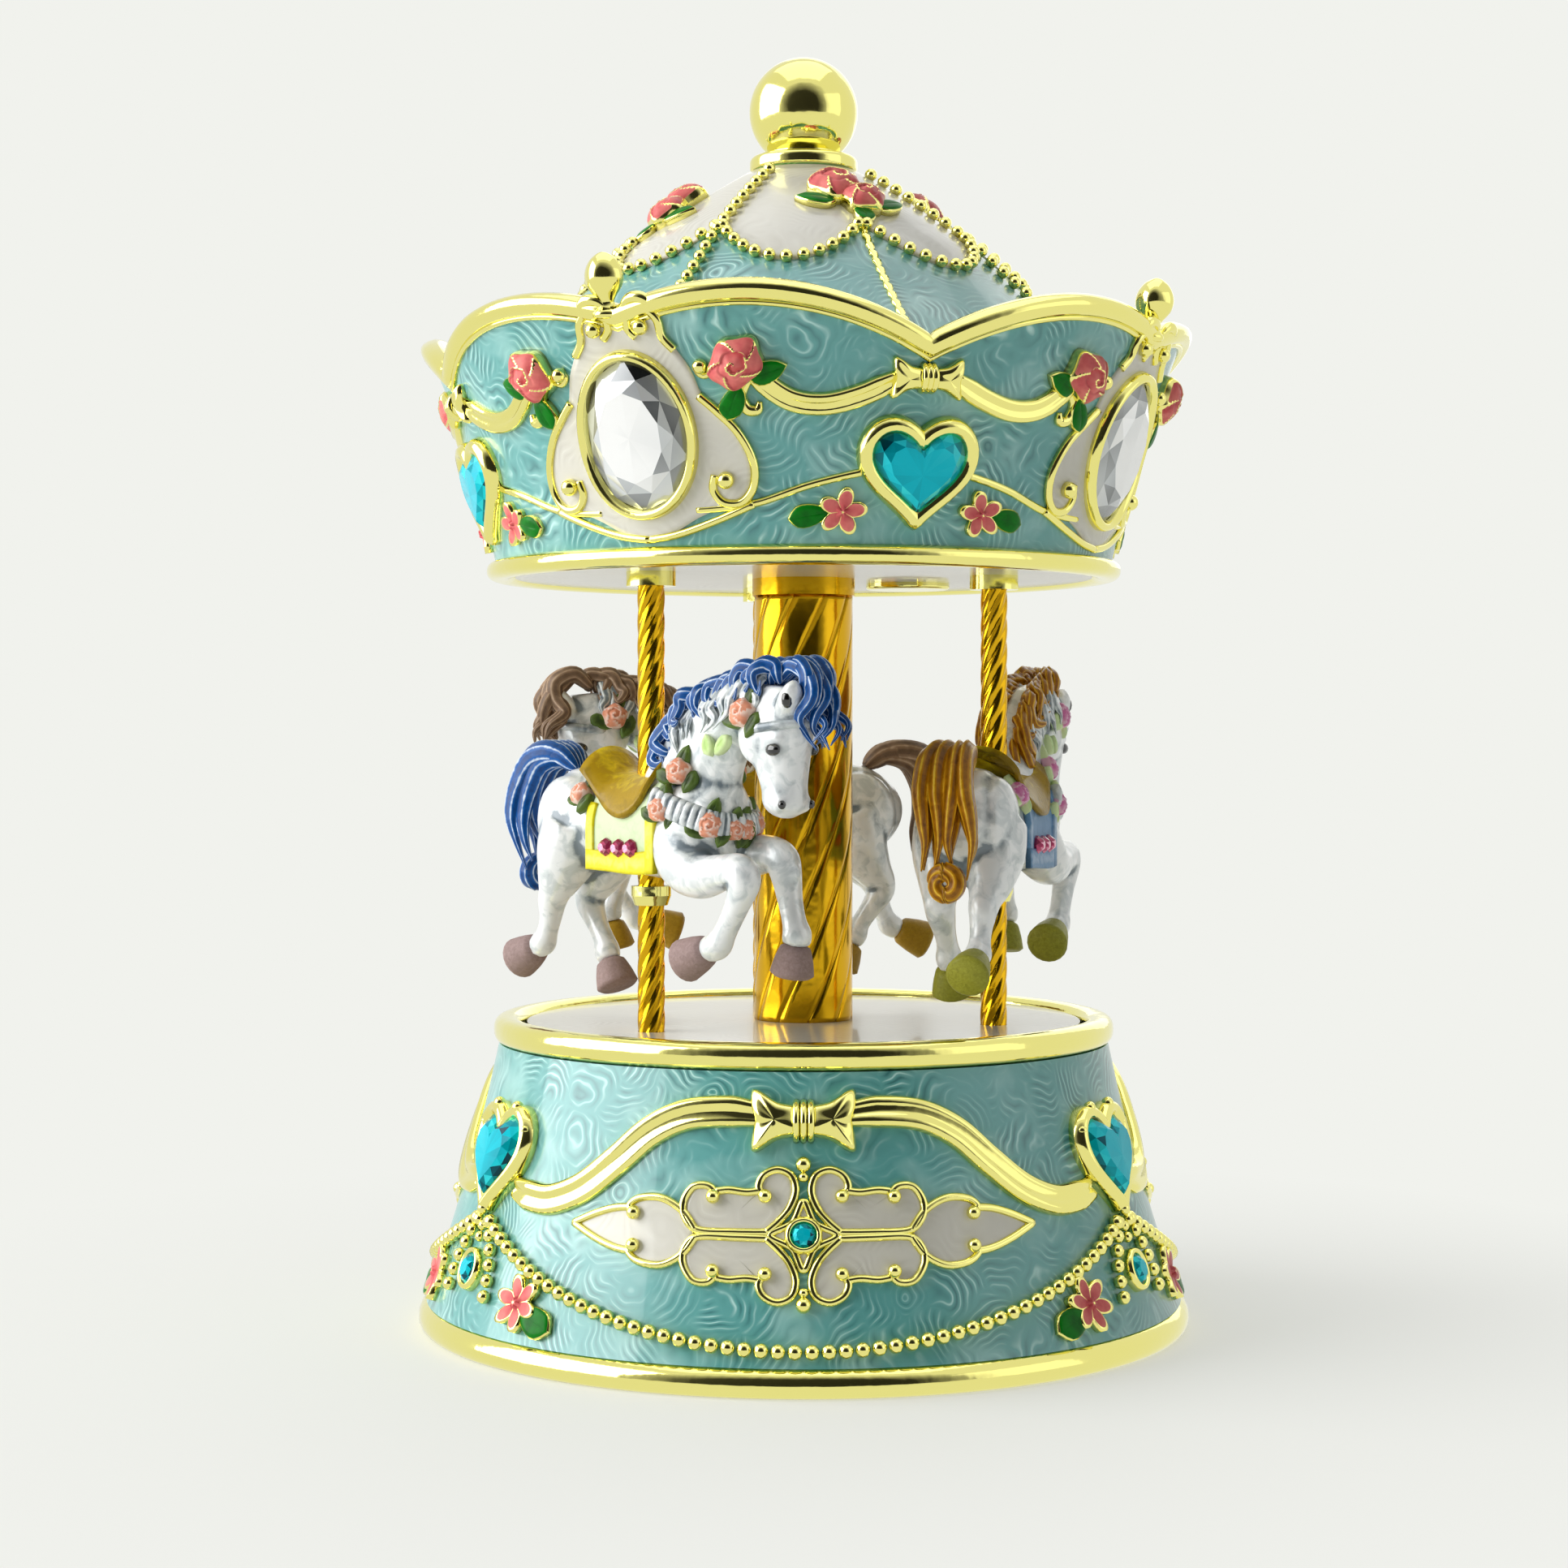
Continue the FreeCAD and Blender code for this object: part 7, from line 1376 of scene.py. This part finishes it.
def horse_hair(finish):
    """Mane in two layers of curls down both sides of the crest, forelock, tail with a disc-shaped curl
    at its foot."""
    forms = []
    rng = np.random.default_rng(5)
    crest = smooth_line(CREST, 4)
    along = unit(np.gradient(crest, axis=0))
    out = np.stack([-along[:, 1], along[:, 0]], -1)
    layers = ((FALL, "horse_paint", 0.95, -0.6, range(3, len(crest), 2)),
              (CURL, finish, 1.15, 0.1, range(0, len(crest), 2)))
    for side in (-1, 1):
        for shape, paint, width, dark, rows in layers:
            for index in rows:
                wave = rng.uniform(-0.6, 0.6, (len(shape), 3)) * np.linspace(0.3, 1, len(shape))[:, None]
                bent = shape * rng.uniform(0.8, 1.15) + wave
                flat = crest[index] + bent[:, :1] * along[index] + bent[:, 1:2] * out[index]
                forms.append(lock(np.column_stack([flat[:, 0], side * bent[:, 2], flat[:, 1]]), width,
                                  paint, dark=dark))
    share = np.linspace(0, 1, len(FORELOCK))
    for spread in np.linspace(-0.8, 4.6, 10):
        phase = rng.uniform(0, 2 * np.pi)
        swing = 1.8 * np.sin(9 * share + phase) * share
        flat = FORELOCK + np.stack([swing - 0.4 * abs(spread - 1.6) * share,
                                    rng.uniform(-0.8, 0.8) * share], -1)
        across = spread * np.linspace(0.5, 1, len(FORELOCK)) + 1.2 * np.cos(9 * share + phase) * share
        forms.append(lock(np.column_stack([flat[:, 0], across, flat[:, 1]]), 1.2, finish))
    share = np.linspace(0, 1, len(TAIL))
    for layer, count, reach in ((0.9, 4, 2.6), (-0.6, 4, 2.2)):
        for spread in np.linspace(-reach, reach, count):
            wave = 0.8 * np.sin(2 * np.pi * (1.2 * share + rng.uniform())) * share
            shift = layer * np.stack([-np.ones(len(TAIL)), np.full(len(TAIL), 0.3)], -1)
            flat = TAIL + shift * TAIL_SPREAD[:, None]
            flat[-1] += [rng.uniform(-0.6, 0.6), rng.uniform(-1.6, 1.0)]
            forms.append(lock(np.column_stack([flat[:, 0], spread * TAIL_SPREAD + wave, flat[:, 1]]), 1.8,
                              finish))
    turn = np.linspace(0, 3.4 * np.pi, 19)
    coil = np.linspace(1.9, 0.5, 19)
    points = np.stack([np.linspace(-23.4, -24.2, 19), coil * np.cos(turn), 0.9 + coil * np.sin(turn)], -1)
    forms.append(lock(points, 1.2, finish, 1.0))
    return forms


def over_back(x, angle, lift):
    """Point over the horse's barrel: its oval at x, grown by lift, at an angle from the top; straight
    down below 90."""
    line = smooth_line(TORSO, 6)
    middle, half_width, half_height = (np.interp(x, line[:, 0], line[:, column]) for column in (1, 2, 3))
    hang = np.maximum(np.abs(angle) - np.pi / 2, 0)
    upper = np.clip(angle, -np.pi / 2, np.pi / 2)
    return np.stack([x + 0 * angle, (half_width + lift) * np.sin(upper),
                     middle + (half_height + lift) * np.cos(upper) - hang * half_height], -1)


def draped(back, front, low, high, lift, finish, thickness=0.5, rows=18, columns=24):
    """Cover on the barrel between two distances along it and two angles from its top, lifted by
    lift(along, across)."""
    along = np.linspace(0, 1, rows)[:, None]
    across = np.linspace(0, 1, columns)[None]
    x = back + (front - back) * along
    start, end = low(along), high(along)
    angle = start + (end - start) * across
    raised = lift(along, 2 * across - 1)
    upper = over_back(x + 0 * across, angle, raised)
    under = over_back(x + 0 * across, angle, raised - thickness)[:, ::-1]
    # Painted light: each cover is lighter along its middle and darker towards its two edges
    tone = np.broadcast_to(0.35 + 0.4 * np.sin(np.pi * across) + 0 * along, (rows, columns))
    return skin(np.concatenate([upper, under], 1), finish, tone=np.concatenate([tone, tone], 1))


def even(degrees):
    """The same angle all along a cover."""
    return lambda along: np.radians(degrees) + 0 * along


def raised(millimetres):
    """The same lift all over a cover."""
    return lambda along, across: millimetres + 0 * along * across


def saddle_reach(along):
    """Angle that the saddle's flaps reach: widest in front of the pole."""
    return np.radians(40 + 38 * np.sin(np.pi * np.clip(along, 0, 1) ** 1.6) ** 0.8)


def saddle_lift(along, across):
    """Cantle at the back that flares up, thin flaps, pommel in front."""
    cantle = 2.4 * np.clip(1 - along / 0.3, 0, 1) ** 1.4 * (1 - 0.4 * across ** 2)
    return 1.2 + cantle + 0.9 * np.clip((along - 0.86) / 0.14, 0, 1)


def posy(place, lean, bloom, blade, size, leaves=((-1.5, -0.6, 120), (1.3, -1.1, 205), (0.4, 1.5, 20))):
    """A rose with leaves about it; each leaf has its place across and up, and its turn."""
    lean = unit(np.asarray(lean, float))
    up = np.array([0, 0, 1.0])
    across = unit(np.cross(up, lean))
    rise = np.cross(lean, across)
    place = np.asarray(place, float)
    forms = [stood(bloom, place, lean, up, size)]
    for aside, above, turn in leaves:
        angle = math.radians(turn)
        spot = place + size * (aside * across + above * rise) - 0.3 * lean
        forms.append(stood(blade, spot, lean, math.cos(angle) * rise + math.sin(angle) * across, size))
    return forms


POSIES = [((10.8, 4.4, 14.4), (0.35, 1.0, 0.2), 1.2), ((9.2, 6.0, 9.8), (0.2, 1.0, 0.0), 1.15),
          ((15.4, 3.4, 8.0), (0.8, 0.9, 0.0), 1.2), ((-7.6, 5.0, 11.4), (-0.1, 0.8, 0.5), 1.1),
          ((21.6, 3.4, 21.4), (0.1, 1.0, 0.25), 1.3), ((16.8, 0.9, 7.4), (1.0, 0.3, -0.1), 1.0)]


def horse_tack(cloth, hem, bloom_paint, leaves, sash):
    """Saddle with a flared cantle, hemmed cloth with stones, ribbed breast strap, bow, browband and
    posies."""
    forms = [draped(-7.8, 6.8, lambda along: -saddle_reach(along), saddle_reach, saddle_lift,
                    "saddle_yellow", 0.8)]
    forms.append(draped(-5.0, 7.9, even(-120), even(120), raised(0.5), cloth, 0.6))
    stone = jewel(ellipse_outline(1.15, 1.15, 8), [(1.0, 0.5, False), (0.75, 1.0, True),
                                                   (0.45, 1.3, False)], "gem_pink", 51)
    for side in (-1, 1):
        forms.append(draped(-5.4, 8.2, even(side * 116), even(side * 140), raised(0.75), hem, 0.7, 12, 8))
        for back, front in ((-5.4, -4.0), (6.6, 8.2)):
            forms.append(draped(back, front, even(side * 62), even(side * 140), raised(0.75), hem, 0.7, 5,
                                20))
        places = over_back(np.array([-1.4, 1.2, 3.7]), np.full(3, side * np.radians(111)), np.full(3, 0.8))
        forms += [stood(stone, place - [0, side * 0.5, 0], [0, side, 0], [0, 0, 1.0]) for place in places]
    turn = np.linspace(-84, 84, 150) * np.pi / 180
    bend = np.sign(np.sin(turn)) * np.abs(np.sin(turn)) ** 0.8
    path = np.stack([7 + 9.9 * np.cos(turn), 6.2 * bend, 11.5 - 3.6 * np.cos(turn)], -1)
    out = unit(np.stack([np.cos(turn), np.sin(turn) * 1.4, 0.15 + 0 * turn], -1))
    rib = (np.cos(56 * turn) > -0.5) * 1.0
    size = np.column_stack([np.ones(150), 1 + 0.45 * rib])
    # Painted shade: the gaps between the raised ribs take a darker tone than the ribs
    forms.append(sweep(path, out, oval(1.55, 0.6, 10, 3), "horse_paint", size,
                       tone=(0.55 * rib - 0.6)[:, None]))
    turn = 2 * np.pi * np.arange(48) / 48
    path = np.stack([24.7 + 4.4 * np.cos(turn), 3.6 * np.sin(turn), 19.7 + 0.5 * np.cos(turn)], -1)
    out = unit(path - [24.7, 0, 19.7])
    forms.append(sweep(path, out, oval(0.55, 0.4, 8), "horse_paint", ring=True, tone=-0.3))
    bloom = rose(1.35, 1.3, bloom_paint, 12, 30)
    blade = leaf(1.5, 2.7, 0.8, leaves, 14)
    loop = leaf(1.7, 3.0, 0.8, sash, 14)
    for side in (-1, 1):
        flip = np.array([1, side, 1])
        for place, lean, size in POSIES:
            forms += posy(flip * place, flip * lean, bloom, blade, size)
        for aside, turned in ((-1.3, 100), (1.3, 255)):
            lean = flip * [0.1, 1.0, 0.2]
            up = [math.cos(math.radians(turned)), 0, math.sin(math.radians(turned)) * 0.4]
            forms.append(stood(loop, flip * [16.6 + aside, 3.5, 17.6], lean, up))
        forms.append(egg(flip * [26.4, 3.05, 17.1], (1.2, 0.6, 0.78), "eye_black", 12, 8))
        forms.append(egg(flip * [27.2, 2.3, 10.6], (0.5, 0.5, 0.55), "eye_black", 10, 6))
        forms.append(egg(flip * [28.8, 2.9, 23.0], (0.7, 0.75, 1.1), "eye_black", 10, 6))
    return forms


def hoof_forms(finish):
    """Hooves that widen towards a flat sole."""
    forms = []
    for top, sole in HOOVES:
        share = np.linspace(0, 1, 12)[:, None]
        path = np.array(top) * (1 - share) + np.array(sole) * share
        size = np.interp(share, HOOF_SHARES, HOOF_SIZES)
        forms.append(sweep(path, np.tile([0.0, 1, 0], (12, 1)), oval(1, 1, 20), finish, size, tone=0.35))
    return forms


COATS = (("mane_blue", "hoof_mauve", "cloth_green", "cloth_yellow", "peach_paint", "dark_leaf"),
         ("mane_amber", "hoof_olive", "cloth_blue", "cloth_blue", "posy_pink", "fresh_leaf"),
         ("mane_brown", "hoof_gold", "cloth_green", "saddle_yellow", "peach_paint", "dark_leaf"))


class CAROUSEL_OT_horses(bpy.types.Operator):
    """Three painted horses on the poles"""
    bl_idname = "carousel.horses"
    bl_label = "Horses"

    def execute(self, context):
        body = horse_body()
        for index, (hair, hoof, cloth, hem, bloom, leaves) in enumerate(COATS):
            forms = [body] + horse_hair(hair) + hoof_forms(hoof)
            forms += horse_tack(cloth, hem, bloom, leaves, "fresh_leaf")
            bearing = POLE_BEARINGS[index]
            placed = [spun(form.at(form.points + [0, -POLE_CIRCLE, FERRULE_TOP]), bearing)
                      for form in forms]
            name = "horse_%d" % (index + 1)
            put(name + "_figure", "carousel", placed, (name,))
        return {"FINISHED"}


# Carried-over pieces and stage

class CAROUSEL_OT_finish_solids(bpy.types.Operator):
    """Finishes every solid that keeps its own shape by its material slot"""
    bl_idname = "carousel.finish_solids"
    bl_label = "Finish solids"

    def execute(self, context):
        FINISHES.update(make_finishes(context.scene.carousel_colours))
        for row in frame["record"]["subparts"]:
            mesh = frame["nodes"][row["node"]].data
            mesh.materials.clear()
            mesh.materials.append(FINISHES[row["material_slot"]])
        return {"FINISHED"}


LAMPS = (("left softbox", (-1.25, -0.22, 0.5), (0, 0, 0.08), 1.4, 27.0),
         ("top softbox", (0.0, 0.1, 1.2), (0, 0, 0.08), 1.2, 3.5),
         ("right fill", (1.2, -0.5, 0.4), (0, 0, 0.08), 0.9, 1.0),
         ("back fill", (0.3, 1.1, 0.6), (0, 0, 0.1), 0.9, 1.6))
CARD_DISTANCE, CARD_LEVEL, CARD_TOP = 0.95, 0.25, 1.5
CARD_FADE = (0.6, 1.5)    # metres from the card's middle where it starts and ends fading out
FLOOR_RADIUS = 4.0
FLOOR_LEVEL = -0.0001
CAMERA_PLACE = (0.0, -0.3869, 0.0754)
CAMERA_LENS, SENSOR = 68.0, 36.0
CAMERA_YAW, CAMERA_PITCH = math.atan(24 / 3650), math.atan(54 / 3650)


def seen_directly(tree):
    """1 for rays that come from the camera, a mirror or a clear body, 0 for those that carry light."""
    ray = add(tree, "ShaderNodeLightPath").outputs
    first = add(tree, "ShaderNodeMath", {0: ray["Is Camera Ray"], 1: ray["Is Glossy Ray"]},
                operation="MAXIMUM")
    both = {0: first.outputs[0], 1: ray["Is Transmission Ray"]}
    return add(tree, "ShaderNodeMath", both, operation="MAXIMUM").outputs[0]


def staged(name, points, face, material):
    """A flat piece of the stage."""
    mesh = bpy.data.meshes.new(name)
    mesh.from_pydata(points, [], [face])
    mesh.materials.append(material)
    piece = bpy.data.objects.new(name, mesh)
    bpy.context.scene.collection.objects.link(piece)
    return piece


class CAROUSEL_OT_stage(bpy.types.Operator):
    """Pale floor, soft lamps, white surroundings, a dark card for the plating to reflect, and the camera"""
    bl_idname = "carousel.stage"
    bl_label = "Stage"

    def execute(self, context):
        scene = context.scene
        scene.view_settings.view_transform = "Standard"
        pale = linear("#F1F2ED")
        scene.world = bpy.data.worlds.new("white surroundings")
        scene.world.use_nodes = True
        tree = scene.world.node_tree
        plain = tree.nodes["Background"]
        plain.inputs["Color"].default_value = linear("#F4F6F8")
        plain.inputs["Strength"].default_value = 0.17
        seen = add(tree, "ShaderNodeBackground", {"Color": pale, "Strength": 1.0})
        mix = add(tree, "ShaderNodeMixShader", {0: seen_directly(tree), 1: plain.outputs[0],
                                                2: seen.outputs[0]})
        tree.links.new(mix.outputs[0], tree.nodes["World Output"].inputs["Surface"])

        paper, tree, shader = started("pale floor paper", Roughness=0.7, Base_Color=linear("#F8F9F4"))
        place = add(tree, "ShaderNodeTexCoord").outputs["Object"]
        away = add(tree, "ShaderNodeVectorMath", {0: place}, operation="LENGTH").outputs["Value"]
        glow = add(tree, "ShaderNodeEmission", {"Color": pale, "Strength": 1.0})
        ray = add(tree, "ShaderNodeLightPath").outputs
        far = {0: stretch(tree, away, -0.05, 0.15), 1: ray["Is Camera Ray"]}
        far = add(tree, "ShaderNodeMath", far, operation="MULTIPLY").outputs[0]
        share = add(tree, "ShaderNodeMath", {0: far, 1: ray["Is Glossy Ray"]},
                    operation="MAXIMUM").outputs[0]
        mix = add(tree, "ShaderNodeMixShader", {0: share, 1: shader.outputs[0], 2: glow.outputs[0]})
        tree.links.new(mix.outputs[0], tree.nodes["Material Output"].inputs["Surface"])
        turn = 2 * np.pi * np.arange(96) / 96
        ring = np.column_stack([FLOOR_RADIUS * np.cos(turn), FLOOR_RADIUS * np.sin(turn),
                                np.full(96, FLOOR_LEVEL)])
        staged("floor", ring.tolist(), list(range(96)), paper)

        dark, tree, shader = started("dark card", Base_Color=linear("#0B0A05"), Roughness=0.9)
        place = add(tree, "ShaderNodeTexCoord").outputs["Object"]
        middle = (0.0, -CARD_DISTANCE, CARD_LEVEL)
        spread = add(tree, "ShaderNodeVectorMath", {0: place, 1: middle},
                     operation="DISTANCE").outputs["Value"]
        clear = add(tree, "ShaderNodeBsdfTransparent").outputs[0]
        edge = stretch(tree, spread, *CARD_FADE)
        mix = add(tree, "ShaderNodeMixShader", {0: edge, 1: shader.outputs[0], 2: clear})
        tree.links.new(mix.outputs[0], tree.nodes["Material Output"].inputs["Surface"])
        corners = [(side * CARD_FADE[1], -CARD_DISTANCE, height)
                   for side, height in ((-1, 0.0), (1, 0.0), (1, CARD_TOP), (-1, CARD_TOP))]
        card = staged("dark_card", corners, (0, 1, 2, 3), dark)
        card.visible_camera = False
        card.visible_shadow = False
        card.visible_diffuse = False

        for name, place, aim, size, power in LAMPS:
            data = bpy.data.lights.new(name, "AREA")
            data.size = size
            data.energy = power
            lamp = bpy.data.objects.new(name, data)
            lamp.location = place
            lamp.rotation_euler = (Vector(aim) - Vector(place)).to_track_quat("-Z", "Y").to_euler()
            scene.collection.objects.link(lamp)

        lens = bpy.data.cameras.new("camera")
        lens.sensor_width = SENSOR
        lens.lens = CAMERA_LENS
        lens.clip_start = 0.01
        camera = bpy.data.objects.new("camera", lens)
        camera.location = CAMERA_PLACE
        level = math.cos(CAMERA_PITCH)
        sight = Vector((-math.sin(CAMERA_YAW) * level, math.cos(CAMERA_YAW) * level,
                        -math.sin(CAMERA_PITCH)))
        camera.rotation_euler = sight.to_track_quat("-Z", "Y").to_euler()
        scene.collection.objects.link(camera)
        scene.camera = camera
        return {"FINISHED"}


class CAROUSEL_PT_dress(bpy.types.Panel):
    """Buttons that dress the music box, in order"""
    bl_idname = "CAROUSEL_PT_dress"
    bl_label = "Carousel music box"
    bl_space_type = "VIEW_3D"
    bl_region_type = "UI"
    bl_category = "Carousel"

    def draw(self, context):
        for step in STEPS:
            self.layout.operator(step.bl_idname)
        for group in (context.scene.carousel_colours, context.scene.carousel_sizes):
            for key in group.bl_rna.properties.keys():
                if key not in ("rna_type", "name"):
                    self.layout.prop(group, key)


STEPS = (CAROUSEL_OT_finish_solids, CAROUSEL_OT_stage, CAROUSEL_OT_rims, CAROUSEL_OT_crown_edge,
         CAROUSEL_OT_roof, CAROUSEL_OT_crown_panels,
         CAROUSEL_OT_crown_jewels, CAROUSEL_OT_crown_garlands, CAROUSEL_OT_base_panels,
         CAROUSEL_OT_base_jewels,
         CAROUSEL_OT_base_garlands, CAROUSEL_OT_poles, CAROUSEL_OT_horses)
CLASSES = (CarouselColours, CarouselSizes) + STEPS + (CAROUSEL_PT_dress,)


def register():
    """Registers the classes and hangs their values on the scene."""
    for item in CLASSES:
        bpy.utils.register_class(item)
    bpy.types.Scene.carousel_colours = bpy.props.PointerProperty(type=CarouselColours)
    bpy.types.Scene.carousel_sizes = bpy.props.PointerProperty(type=CarouselSizes)


def unregister():
    """Undoes register in the opposite order."""
    del bpy.types.Scene.carousel_sizes
    del bpy.types.Scene.carousel_colours
    for item in reversed(CLASSES):
        bpy.utils.unregister_class(item)


def main():
    """Runs every step in order."""
    register()
    for step in STEPS:
        family, name = step.bl_idname.split(".")
        getattr(getattr(bpy.ops, family), name)()


if __name__ == "__main__":
    main()
